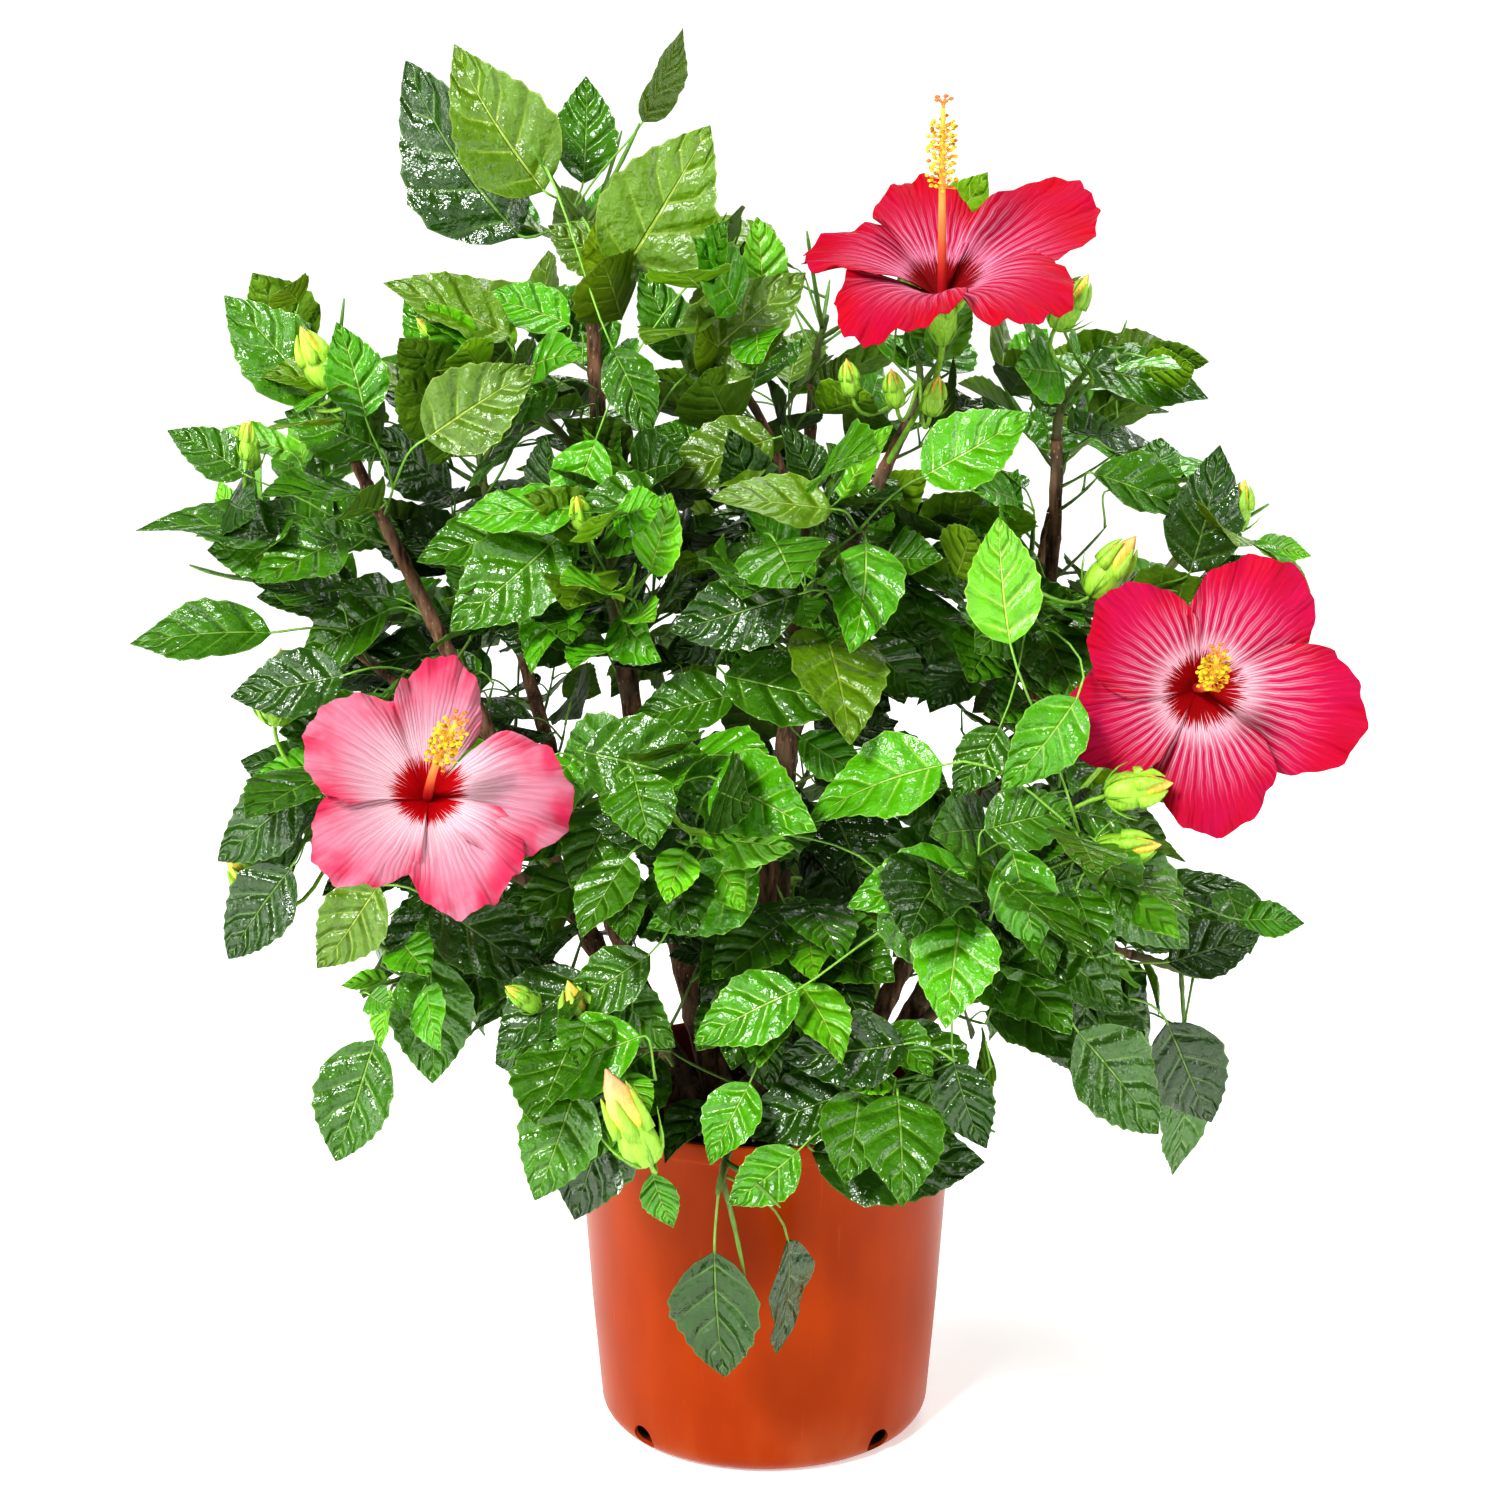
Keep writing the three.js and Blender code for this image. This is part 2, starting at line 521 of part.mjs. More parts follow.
/** One try at a leaf on a twig. Its stalk leaves the twig, and its blade hangs out from the stalk's end. */
function leafTry({ point, direction, turn, size, young, keys }, rank, attempt) {
  const d = (use) => draw(...keys, rank, attempt, use) - 0.5;
  const [first, second] = across(direction);
  const angle = turn + d(1) * (0.5 + attempt * 0.28);
  const radial = first.multiplyScalar(Math.cos(angle)).addScaledVector(second, Math.sin(angle));
  const length = LEAF.length * size * (1 + 0.24 * d(2)) * (1 - 0.018 * attempt);
  const stalkWay = radial.clone().addScaledVector(direction, 0.75 + 0.5 * d(3));
  stalkWay.addScaledVector(UP, 0.15).normalize();
  const stalk = length * LEAF.stalk * (1 + 0.5 * d(4)) * (young ? 0.7 : 1) * (1 - 0.02 * attempt);
  const base = point.clone().addScaledVector(stalkWay, stalk);
  const level = new THREE.Vector3(stalkWay.x, stalkWay.y, 0).addScaledVector(outwards(point), 0.35).normalize();
  const rise = mix(-64, 40, clamp((point.z - 230) / 620, 0, 1)) + 24 * stalkWay.z + (young ? 22 : 0);
  const slope = radians(rise + (44 + 2 * attempt) * d(5));
  const way = level.multiplyScalar(Math.cos(slope)).addScaledVector(UP, Math.sin(slope)).normalize();
  const light = outwards(point)
    .multiplyScalar(0.6)
    .add(LIGHT)
    .add(new THREE.Vector3(d(6), d(7), d(8)).multiplyScalar(0.9));
  return leafAt(point, base, way, length, light);
}

/** A twig: its curve, radius at the root, stations along it and its straight pieces. */
function twigOf(curve, radius, steps) {
  const pieces = [];
  for (let i = 0; i < steps; i++) {
    const a = curve.getPoint(i / steps);
    pieces.push({ a, b: curve.getPoint((i + 1) / steps) });
  }
  return { curve, radius, steps, pieces };
}

/** The curves of the side twigs that leave a mass's leader, turning round it towards its tip. */
function sideTwigs(mass, m, leader) {
  const curves = [];
  const count = Math.floor((mass.spread - GROWTH.bareSpread) / GROWTH.spreadPerTwig);
  for (let i = 0; i < count; i++) {
    const t = 0.45 + (0.42 * i) / count + 0.08 * draw(m, i, 21);
    const start = leader.getPoint(t);
    const direction = leader.getTangent(t).normalize();
    const [first, second] = across(direction);
    const angle = GOLDEN * i * 2 + draw(m, i, 22) + draw(m, 0, 23) * 6;
    const way = first
      .multiplyScalar(Math.cos(angle))
      .addScaledVector(second, Math.sin(angle))
      .addScaledVector(direction, 0.7)
      .normalize();
    const length = mass.spread * (0.42 + 0.2 * draw(m, i, 24));
    const lift = clamp((start.z - 400) / 300, -0.4, 0.5);
    const bend = start.clone().addScaledVector(way, length * 0.5);
    const end = start.clone().addScaledVector(way, length).addScaledVector(UP, lift * length * 0.4);
    curves.push(new THREE.QuadraticBezierCurve3(start, bend, end));
  }
  return curves;
}

/** Where leaves leave a twig, from its tip down: close together and small at the tip. */
function placesOn(twig, t, m) {
  const found = [];
  const length = twig.curve.getLength();
  const phase = draw(m, t, 31) * Math.PI * 2;
  let back = 2;
  for (let rank = 0; back < length * (t === 0 ? 0.62 : 0.85); rank++) {
    const at = 1 - back / length;
    const young = rank < GROWTH.youngLeaves;
    found.push({
      point: twig.curve.getPoint(at),
      direction: twig.curve.getTangent(at).normalize(),
      turn: phase + GOLDEN * rank,
      size: young ? 0.62 + 0.14 * rank : 0.84 + 0.05 * Math.min(rank, 5),
      young,
      rank,
      keys: [m, t],
    });
    back += young ? GROWTH.youngStep : GROWTH.step;
  }
  return found;
}

/** A bud from the twig it leaves, its base and its tip. */
function budAt(point, base, tip) {
  return { point, base, tip, way: tip.clone().sub(base).normalize(), length: base.distanceTo(tip) };
}

/** A bud on a twig's tip, on a stalk of its own. */
function budOn(twig, t, m) {
  const point = twig.curve.getPoint(1);
  const lean = new THREE.Vector3(draw(m, t, 41) - 0.5, draw(m, t, 42) - 0.5, 0.6);
  const way = twig.curve.getTangent(1).normalize().addScaledVector(lean, 0.9).normalize();
  const size = 0.62 + 0.5 * draw(m, t, 43);
  const base = point.clone().addScaledVector(way, BUD.stalk * size);
  return budAt(point, base, base.clone().addScaledVector(way, BUD.length * size));
}

/** All the foliage of every mass: its twigs, its leaves and its buds. */
function growFoliage(leaders, obstacles) {
  const taken = []; // the tested points of every leaf and bud so far
  const grown = MASSES.map(() => ({ twigs: [], leaves: [], buds: [] }));
  const open = (point, m, gap) =>
    inOwnSpace(point, m) &&
    !isOut(point) &&
    !inBloom(point) &&
    obstacles.every(
      (piece) => piece.owner === MASSES[m].name || distanceTo(point, piece) > piece.radius + gap,
    );
  const untaken = (point, gap) => taken.every((other) => other.distanceTo(point) > gap);
  const offTwigs = (point, m) =>
    grown[m].twigs.every((twig) => twig.pieces.every((piece) => distanceTo(point, piece) > ROOM.leafToTwig));
  const fits = (points, m, gap) =>
    points.every((point) => open(point, m, ROOM.leafToLimb) && untaken(point, gap));

  MASSES.forEach((mass, m) => {
    grown[m].twigs.push(twigOf(leaders[m], TWIG.leader, 4));
    for (const curve of sideTwigs(mass, m, leaders[m]))
      if ([0.25, 0.5, 0.75, 1].every((t) => open(curve.getPoint(t), m, ROOM.twigToLimb)))
        grown[m].twigs.push(twigOf(curve, TWIG.side, 2));
  });
  for (const { on, from, base, tip, faces } of CHOSEN_LEAVES) {
    const m = MASSES.findIndex((mass) => mass.name === on);
    const blade = vec(tip).sub(vec(base));
    const length = blade.length();
    const leaf = leafAt(leaders[m].getPoint(from), vec(base), blade.normalize(), length, vec(faces));
    grown[m].leaves.push(leaf);
    taken.push(...testPoints(leaf));
  }
  for (const { on, from, base, tip } of CHOSEN_BUDS) {
    const m = MASSES.findIndex((mass) => mass.name === on);
    const bud = budAt(leaders[m].getPoint(from), vec(base), vec(tip));
    grown[m].buds.push(bud);
    taken.push(bud.base, bud.tip);
  }
  // The masses take turns, a leaf each, from their twigs' tips down, so that none crowds its neighbour out.
  const places = MASSES.map((mass, m) =>
    grown[m].twigs.flatMap((twig, t) => placesOn(twig, t, m)).sort((one, other) => one.rank - other.rank),
  );
  const rounds = Math.max(...places.map((list) => list.length));
  for (let k = 0; k < rounds; k++)
    MASSES.forEach((mass, m) => {
      const place = places[m][k];
      const full = grown[m].leaves.length >= Math.floor(mass.spread / GROWTH.spreadPerLeaf);
      if (!place || full || !open(place.point, m, ROOM.rootToLimb)) return;
      for (let attempt = 0; attempt < GROWTH.tries; attempt++) {
        const leaf = leafTry(place, k, attempt);
        const points = testPoints(leaf);
        if (fits(points, m, ROOM.leafToLeaf) && points.every((point) => offTwigs(point, m))) {
          grown[m].leaves.push(leaf);
          taken.push(...points);
          return;
        }
      }
    });
  MASSES.forEach((mass, m) => {
    grown[m].twigs.forEach((twig, t) => {
      const bud = budOn(twig, t, m);
      const points = [bud.base, bud.base.clone().lerp(bud.tip, 0.5), bud.tip];
      const wanted = draw(m, t, 91) < (t === 0 ? 0.5 : 0.2);
      if (wanted && fits(points, m, ROOM.budToLeaf)) grown[m].buds.push(bud);
    });
  });
  return grown;
}

// ---------------------------------------------------------------- foliage as solids

/** A leaf as one thin solid: a long three-sided cone, its stations laid along the stalk and the blade. */
function leafSolid(leaf) {
  const keel = leaf.length * LEAF.thick;
  const stations = [
    { at: leaf.point, radius: ROOT },
    { at: leaf.base, radius: LEAF.stalkRadius },
    { along: 0.24, keel },
    { along: 0.64, keel: keel * 0.8 },
    { along: 1, keel: 0 },
  ];
  const last = stations.length - 1;
  const geometry = new THREE.ConeGeometry(1, 1, 3, last);
  const position = geometry.getAttribute("position");
  for (let i = 0; i < position.count; i++) {
    const x = position.getX(i);
    const z = position.getZ(i);
    const third = Math.round((Math.atan2(x, z) / (Math.PI * 2)) * 3 + 3) % 3;
    const corner = Math.hypot(x, z) < 1e-3 ? null : third;
    const made = leafCorner(leaf, stations[Math.round((position.getY(i) + 0.5) * last)], corner);
    position.setXYZ(i, made.x, made.y, made.z);
  }
  return upright(solid(geometry));
}

/** A corner of a leaf's section at a station: 0 and 1 are its edges, 2 its keel, and null its middle. */
function leafCorner(leaf, { at, radius, along, keel = radius }, corner) {
  const middle = at ? at.clone() : onBlade(leaf, along, 0);
  if (corner === null) return middle;
  if (corner === 2) return middle.addScaledVector(leaf.normal, -keel);
  const side = corner === 0 ? -1 : 1;
  return at ? middle.addScaledVector(leaf.aside, side * radius) : onBlade(leaf, along, side);
}

/** A solid, once its faces are seen to point outwards. */
function upright(made) {
  if (made.volume() < 0) throw new Error("a solid is inside out");
  return made;
}

/** A turned piece on the Z axis, from a profile of radius and height. */
function turned(profile, sides) {
  const geometry = new THREE.LatheGeometry(
    profile.map(([r, h]) => new THREE.Vector2(r, h)),
    sides,
  );
  return upright(solid(geometry.rotateX(Math.PI / 2)));
}

/** A solid made about the Z axis, turned to face a way and moved to a place. */
function placed(made, faces, place, turn = 0) {
  const look = new THREE.Quaternion().setFromUnitVectors(UP, faces);
  const spin = new THREE.Quaternion().setFromAxisAngle(UP, radians(turn));
  const matrix = new THREE.Matrix4().compose(place, look.multiply(spin), new THREE.Vector3(1, 1, 1));
  return made.transform(matrix.elements);
}

/** A bud as a five-sided spindle on its stalk. */
function budSolids({ point, base, way, length }) {
  const radius = (BUD.radius * length) / BUD.length;
  const spindle = turned([[0, 0], [radius, length * 0.3], [radius * 0.7, length * 0.66], [0, length]], 4);
  const path = new THREE.QuadraticBezierCurve3(
    point,
    base.clone().addScaledVector(way, -point.distanceTo(base) * 0.4),
    base.clone().addScaledVector(way, length * 0.3),
  );
  const stalk = tube(path, (t) => mix(ROOT, BUD.stalkRadius, t), 3, stationsOf(2));
  return [placed(spindle, way, base), solid(stalk)];
}

/** A mass's twigs, leaves and buds joined as one solid, clear of the limb that carries it. */
function massSolid(mass, grown, limbs) {
  const pieces = [];
  grown.twigs.forEach(({ curve, radius, steps }, i) => {
    const radiusAt = (t) => (i && t === 0 ? ROOT * 2 : radius * (1 - TWIG.taper * t));
    pieces.push(solid(tube(curve, radiusAt, 3, stationsOf(steps))));
  });
  for (const leaf of grown.leaves) pieces.push(leafSolid(leaf));
  for (const bud of grown.buds) pieces.push(...budSolids(bud));
  let made = wasm.Manifold.union(pieces);
  if (mass.at < 1) made = made.subtract(clearedStem(limbs[mass.on]));
  return mainBody(made);
}

// ---------------------------------------------------------------- blooms

/** How far out a bloom's edge is in a direction, as a share of its reach: lobes with notches between. */
function lobe(turn) {
  const across = Math.abs(Math.sin((turn * BLOOM.petals) / 2));
  return mix(BLOOM.notch, 1, across ** 0.5);
}

/** The corolla as a thin shell: a funnel down to the throat, spreading flat into five lobes. */
function corollaSolid() {
  const { reach, depth, petalThick, petals } = BLOOM;
  const upper = [[1, 4], [0.62, 0], [0.28, -depth * 0.45], [0, -depth]];
  const lower = upper.toReversed().map(([r, h], i) => [i ? r : 0, h - petalThick - (i ? 0 : 3)]);
  const geometry = new THREE.LatheGeometry(
    [...lower, ...upper].map(([r, h]) => new THREE.Vector2(r * reach, h)),
    petals * 4,
  );
  const position = geometry.rotateX(Math.PI / 2).getAttribute("position");
  for (let i = 0; i < position.count; i++) {
    const x = position.getX(i);
    const y = position.getY(i);
    const share = Math.hypot(x, y) / reach;
    const turn = Math.atan2(y, x);
    const wide = share > 0.5 ? lobe(turn) : 1;
    // Each petal's one edge lies over its neighbour's.
    const wave = 5 * share ** 2 * Math.cos(turn * petals);
    position.setXYZ(i, x * wide, y * wide, position.getZ(i) + wave);
  }
  return upright(solid(geometry));
}

/** The whole bloom about its own axis: corolla, calyx, column, stamens and stigma. */
function bloomBody() {
  const { depth, calyxLength, calyxRadius, column, columnRadius } = BLOOM;
  const foot = -depth - calyxLength;
  const calyx = [[0, foot], [calyxRadius * 0.6, foot], [calyxRadius, foot + 10]];
  calyx.push([calyxRadius * 1.3, 4 - depth], [0, 4 - depth]);
  const shaft = [[0, -depth], [columnRadius * 1.5, -depth], [columnRadius, column * 0.6]];
  shaft.push([1, column - 3], [0, column - 3]);
  const stamens = [[0, column * 0.3], [8, column * 0.42], [9, column * 0.66], [0, column * 0.8]];
  const stigma = [[0, column - 8], [5, column - 4], [4, column], [0, column]];
  return wasm.Manifold.union([
    corollaSolid(),
    turned(calyx, 7),
    turned(shaft, 5),
    turned(stamens, 6),
    turned(stigma, 5),
  ]);
}

/** A bloom on its stalk, clear of the limb that carries it. */
function bloomSolid(bloom, stalk, body, limbs) {
  const flower = placed(body, vec(bloom.faces).normalize(), vec(bloom.throat), bloom.turn);
  const stem = solid(tube(stalk, () => BLOOM.stalkRadius, 4, stationsOf(5)));
  return mainBody(flower.add(stem).subtract(clearedStem(limbs[bloom.on])));
}

// ---------------------------------------------------------------- pot and soil

/** The pot's outer radius at a height. */
const potRadius = (z) => mix(POT.baseRadius, POT.topRadius, z / POT.height);

/** The points of the rounded foot's profile, moved inwards by a gap. */
function footArc(gap) {
  const { baseRadius, foot } = POT;
  return Array.from({ length: 4 }, (_, i) => {
    const a = (i / 3) * (Math.PI / 2);
    return [baseRadius - foot + (foot - gap) * Math.sin(a), foot - (foot - gap) * Math.cos(a)];
  });
}

/** The pot: a tapered wall with a rounded foot, a rolled rim, a flat floor and drain holes round its foot. */
function potSolid() {
  const { height, wall, rimHeight, rimOut, baseRadius, holes, holeRadius, holeTurn, facets } = POT;
  const under = height - rimHeight;
  const rim = [[potRadius(under) + rimOut, under + 3], [potRadius(height) + rimOut, height]];
  const outer = [[0, 0], ...footArc(0), [potRadius(under), under], ...rim];
  const inner = [[0, wall], ...footArc(wall), [potRadius(height) - wall, height]];
  let made = turned([...outer, ...inner.reverse()], facets);
  for (let i = 0; i < holes; i++) {
    // A cylinder is tipped to cut down and outwards through the foot, then turned round the pot.
    const cutter = new THREE.CylinderGeometry(holeRadius, holeRadius, 34, 9);
    cutter.rotateZ(radians(90)).rotateY(radians(38)).translate(baseRadius - 5, 0, 8);
    cutter.rotateZ(radians(holeTurn + (360 / holes) * i));
    made = made.subtract(solid(cutter));
  }
  return mainBody(made);
}

/** The soil: it fills the pot, clear of the wall and the floor. */
function soilSolid() {
  const gap = POT.wall + CLEAR;
  const side = [...footArc(gap), [potRadius(SOIL_TOP) - gap, SOIL_TOP]];
  return turned([[0, gap], ...side, [0, SOIL_TOP]], POT.facets);
}

// ---------------------------------------------------------------- the whole plant

const plant = new THREE.Group();
const limbs = growLimbs();
const leaders = MASSES.map((mass) => leaderOf(mass, limbs));
const stalks = BLOOMS.map((bloom) => stalkOf(bloom, limbs));
const foliage = growFoliage(leaders, obstaclesOf(limbs, leaders, stalks));
const bloomShape = bloomBody();

plant.add(named("pot", potSolid(), 0xd2491a, 0.35));
plant.add(named("soil", soilSolid(), 0x2a2018, 0.95));
for (const [name, limb] of Object.entries(limbs))
  plant.add(named(name, limbSolid(limb, limbs), limb.on ? BARK.bough : BARK.stem, 0.85));
MASSES.forEach((mass, m) =>
  plant.add(named(mass.name, massSolid(mass, foliage[m], limbs), GREENS[m % GREENS.length], 0.4)),
);
BLOOMS.forEach((bloom, b) =>
  plant.add(named(bloom.name, bloomSolid(bloom, stalks[b], bloomShape, limbs), bloom.colour, 0.55)),
);

export default plant;
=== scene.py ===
"""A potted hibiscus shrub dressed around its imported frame: bark, twigs, leaves, buds, blooms, pot and soil.

The foliage grows by the same seeded rule as the solids, carried on to finer twigs. Growth is worked
out in millimetres and turned into metres where meshes are made. +Z is up, and -Y is the side with the
blooms.
"""

from __future__ import annotations

import logging
import math
from dataclasses import dataclass, field, replace
from enum import Enum
from typing import Any, Callable, Sequence

import bmesh
import bpy
import numpy as np
from mathutils import Matrix, Vector, noise

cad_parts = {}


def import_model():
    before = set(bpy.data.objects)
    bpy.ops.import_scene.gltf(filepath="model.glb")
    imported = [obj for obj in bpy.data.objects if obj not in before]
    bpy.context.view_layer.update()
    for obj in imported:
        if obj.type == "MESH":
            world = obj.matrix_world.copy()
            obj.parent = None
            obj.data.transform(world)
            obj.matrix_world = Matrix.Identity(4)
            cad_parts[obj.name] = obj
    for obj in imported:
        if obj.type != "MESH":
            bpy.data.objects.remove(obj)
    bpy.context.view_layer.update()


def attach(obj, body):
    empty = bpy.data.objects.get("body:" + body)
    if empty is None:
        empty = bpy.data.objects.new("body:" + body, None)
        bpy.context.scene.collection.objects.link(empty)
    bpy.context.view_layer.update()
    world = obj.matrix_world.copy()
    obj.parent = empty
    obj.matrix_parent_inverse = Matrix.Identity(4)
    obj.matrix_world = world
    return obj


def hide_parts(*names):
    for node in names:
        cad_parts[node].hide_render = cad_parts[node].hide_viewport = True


LOG = logging.getLogger("shrub")
BODY = "root"
MM = 0.001
CLEAR = 0.3  # the gap between a mass's twig and the limb's tip that it grows on from
UP = np.array((0.0, 0.0, 1.0))
LIGHT = np.array((0.0, -0.4, 0.75))  # where the leaves turn their faces, besides outwards
GOLDEN = math.pi * (3 - math.sqrt(5))  # the turn from one leaf to the next round a twig
SOIL_TOP = 212
CHOSEN_KEY = 900  # from here on, a leaf's number says that it was chosen
BOUGH_TO_STEM = 0.62  # a bough's radius at its fork, as a share of its stem's
BOUGH_TIP = 2.9
MOST_TAKEN = 40000  # the most points that leaves and buds take

Pair = tuple[float, float]
Triple = tuple[float, float, float]
Keys = tuple[int, int, int]
Face = tuple[int, ...]
Form = bmesh.types.BMesh
Piece = bpy.types.Object
Material = bpy.types.Material
Socket = bpy.types.NodeSocket
Value = float | Triple | Socket  # what an input of a shader's node takes
Radius = Callable[[float], float]  # a radius at a share of a curve
Lobes = Callable[[np.ndarray, np.ndarray], np.ndarray]  # a factor on it, from the share and the turn


class LeafKind(Enum):
    """The kinds of leaf, dealt out by spray and by place: darker ones inside the crown stand for painted
    shade, paler ones at its top partly for painted light.
    """

    DEEP = "deep"
    GREEN = "green"
    BRIGHT = "bright"
    OLIVE = "olive"
    YOUNG = "young"


DEEP, GREEN, BRIGHT, OLIVE, YOUNG = LeafKind


# ---------------------------------------------------------------- plans, in millimetres


@dataclass(frozen=True)
class StemPlan:
    """A stem: its foot in the soil, its head, how far its middle is bowed, and its radii."""

    name: str
    foot: Pair
    head: Triple
    bow: Triple
    thick: float
    thin: float


@dataclass(frozen=True)
class BoughPlan:
    """A bough: the stem it forks from and how far up, its end, and how steeply it arrives there."""

    name: str
    on: str
    at: float
    head: Triple
    lift: float


@dataclass(frozen=True)
class MassPlan:
    """A mass of foliage: the limb that carries it, how far along, its heart and its spread."""

    name: str
    on: str
    at: float
    heart: Triple
    spread: float


@dataclass(frozen=True)
class ChosenLeaf:
    """A leaf that gives the outline: its mass, how far up the leader, base, tip and face."""

    on: str
    start: float
    base: Triple
    tip: Triple
    faces: Triple
    kind: LeafKind | None = None


@dataclass(frozen=True)
class ShownLeaf:
    """A leaf that shows from in front, past those of the solids: its mass, its base and how it hangs."""

    on: str
    base: Triple
    heading: float  # degrees from the right, turned upwards, seen from in front
    length: float
    forward: float  # how far its tip lies in front of its base
    lift: float  # how far its face looks up: at 0 it looks ahead, at 1 half up
    kind: LeafKind

    def chosen(self) -> ChosenLeaf:
        """The same leaf, given by its tip and its face.

        Returns:
            The leaf.
        """
        flat = math.sqrt(self.length**2 - self.forward**2)
        turn = math.radians(self.heading)
        x, y, z = self.base
        tip = (x + flat * math.cos(turn), y - self.forward, z + flat * math.sin(turn))
        return ChosenLeaf(self.on, 1, self.base, tip, (0, -1, self.lift), self.kind)


@dataclass(frozen=True)
class ChosenBud:
    """A bud that stands out: its mass, how far up the leader, its base and its tip."""

    on: str
    start: float
    base: Triple
    tip: Triple
    girth: float = 1.25
    opened: float = 0.3


STEMS = (
    StemPlan("stem_tall", (-24, 4), (-112, 10, 786), (-20, 0, 0), 10, 4.4),
    StemPlan("stem_left", (-48, -20), (-261, -40, 668), (-4, 0, 4), 9, 3.8),
    StemPlan("stem_centre", (8, -32), (92, -10, 690), (-40, 0, 0), 9, 3.8),
    StemPlan("stem_right", (46, -14), (186, -28, 680), (38, -10, -10), 9, 3.8),
    StemPlan("stem_back", (2, 44), (34, 150, 695), (0, 26, 0), 9, 3.8),
    StemPlan("stem_back_left", (-44, 32), (-190, 140, 600), (-16, 14, -8), 8, 3.6),
    StemPlan("stem_back_right", (44, 30), (200, 138, 606), (18, 14, -8), 8, 3.6),
)
BOUGHS = (
    BoughPlan("bough_far_left", "stem_left", 0.5, (-300, 10, 560), 0.9),
    BoughPlan("bough_left_low", "stem_left", 0.32, (-246, -36, 425), 0.3),
    BoughPlan("bough_lower_left", "stem_left", 0.12, (-196, -96, 356), -0.2),
    BoughPlan("bough_front_left", "stem_left", 0.2, (-90, -138, 432), 0.7),
    BoughPlan("bough_low_front_left", "stem_left", 0.05, (-76, -156, 318), -0.1),
    BoughPlan("bough_low_front", "stem_centre", 0.05, (-22, -172, 268), -0.5),
    BoughPlan("bough_low_front_right", "stem_right", 0.04, (68, -144, 296), -0.2),
    BoughPlan("bough_right_front", "stem_right", 0.2, (136, -142, 400), 0.6),
    BoughPlan("bough_low_right", "stem_right", 0.11, (182, -92, 350), 0.1),
    BoughPlan("bough_far_right_low", "stem_right", 0.16, (246, -6, 330), -0.3),
    BoughPlan("bough_far_right", "stem_right", 0.5, (246, -46, 590), 0.7),
    BoughPlan("bough_top_centre", "stem_centre", 0.44, (-12, 0, 705), 1.5),
)
MASSES = (
    MassPlan("tall_top", "stem_tall", 1, (-122, 12, 826), 125),
    MassPlan("tall_left", "stem_tall", 0.74, (-186, -46, 728), 102),
    MassPlan("tall_front", "stem_tall", 0.55, (-108, -108, 620), 125),
    MassPlan("left_top", "stem_left", 1, (-288, -45, 704), 105),
    MassPlan("far_left", "bough_far_left", 1, (-332, 10, 604), 120),
    MassPlan("left_low", "bough_left_low", 1, (-286, -50, 450), 112),
    MassPlan("lower_left", "bough_lower_left", 1, (-238, -112, 342), 108),
    MassPlan("front_left", "bough_front_left", 1, (-66, -176, 484), 120),
    MassPlan("front_low", "stem_centre", 0.14, (14, -188, 356), 105),
    MassPlan("front", "stem_centre", 0.58, (24, -130, 604), 125),
    MassPlan("low_front_left", "bough_low_front_left", 1, (-106, -195, 310), 102),
    MassPlan("low_front", "bough_low_front", 1, (-30, -212, 240), 105),
    MassPlan("low_front_right", "bough_low_front_right", 1, (82, -180, 284), 108),
    MassPlan("right_front", "bough_right_front", 1, (145, -180, 432), 105),
    MassPlan("low_right", "bough_low_right", 1, (228, -88, 348), 115),
    MassPlan("far_right_low", "bough_far_right_low", 1, (294, 6, 310), 110),
    MassPlan("right_middle", "stem_right", 0.66, (160, -104, 602), 108),
    MassPlan("far_right", "bough_far_right", 1, (272, -36, 630), 110),
    MassPlan("right_top", "stem_right", 1, (206, -20, 724), 105),
    MassPlan("centre_top", "stem_centre", 1, (98, 14, 728), 90),
    MassPlan("top_centre", "bough_top_centre", 1, (0, -16, 762), 120),
    MassPlan("top_back", "stem_back", 1, (44, 156, 742), 122),
    MassPlan("back_left", "stem_back_left", 1, (-200, 150, 650), 125),
    MassPlan("back_right", "stem_back_right", 1, (212, 150, 655), 122),
    MassPlan("back_middle", "stem_back", 0.58, (4, 216, 540), 122),
    MassPlan("left_back", "stem_back_left", 0.58, (-250, 164, 474), 118),
    MassPlan("right_back", "stem_back_right", 0.58, (262, 156, 484), 118),
    MassPlan("low_back", "stem_back", 0.16, (6, 222, 345), 118),
    MassPlan("low_back_left", "stem_back_left", 0.2, (-200, 168, 340), 112),
    MassPlan("low_back_right", "stem_back_right", 0.2, (204, 168, 340), 112),
    MassPlan("inner_left", "stem_tall", 0.52, (-62, 48, 578), 92),
    MassPlan("inner_right", "stem_back", 0.68, (104, 62, 590), 92),
    MassPlan("inner_low", "stem_back", 0.34, (30, 60, 440), 95),
)
MASS_NUMBER = {mass.name: number for number, mass in enumerate(MASSES)}
FOLIAGE_NODES = [f"foliage_{mass.name}" for mass in MASSES]
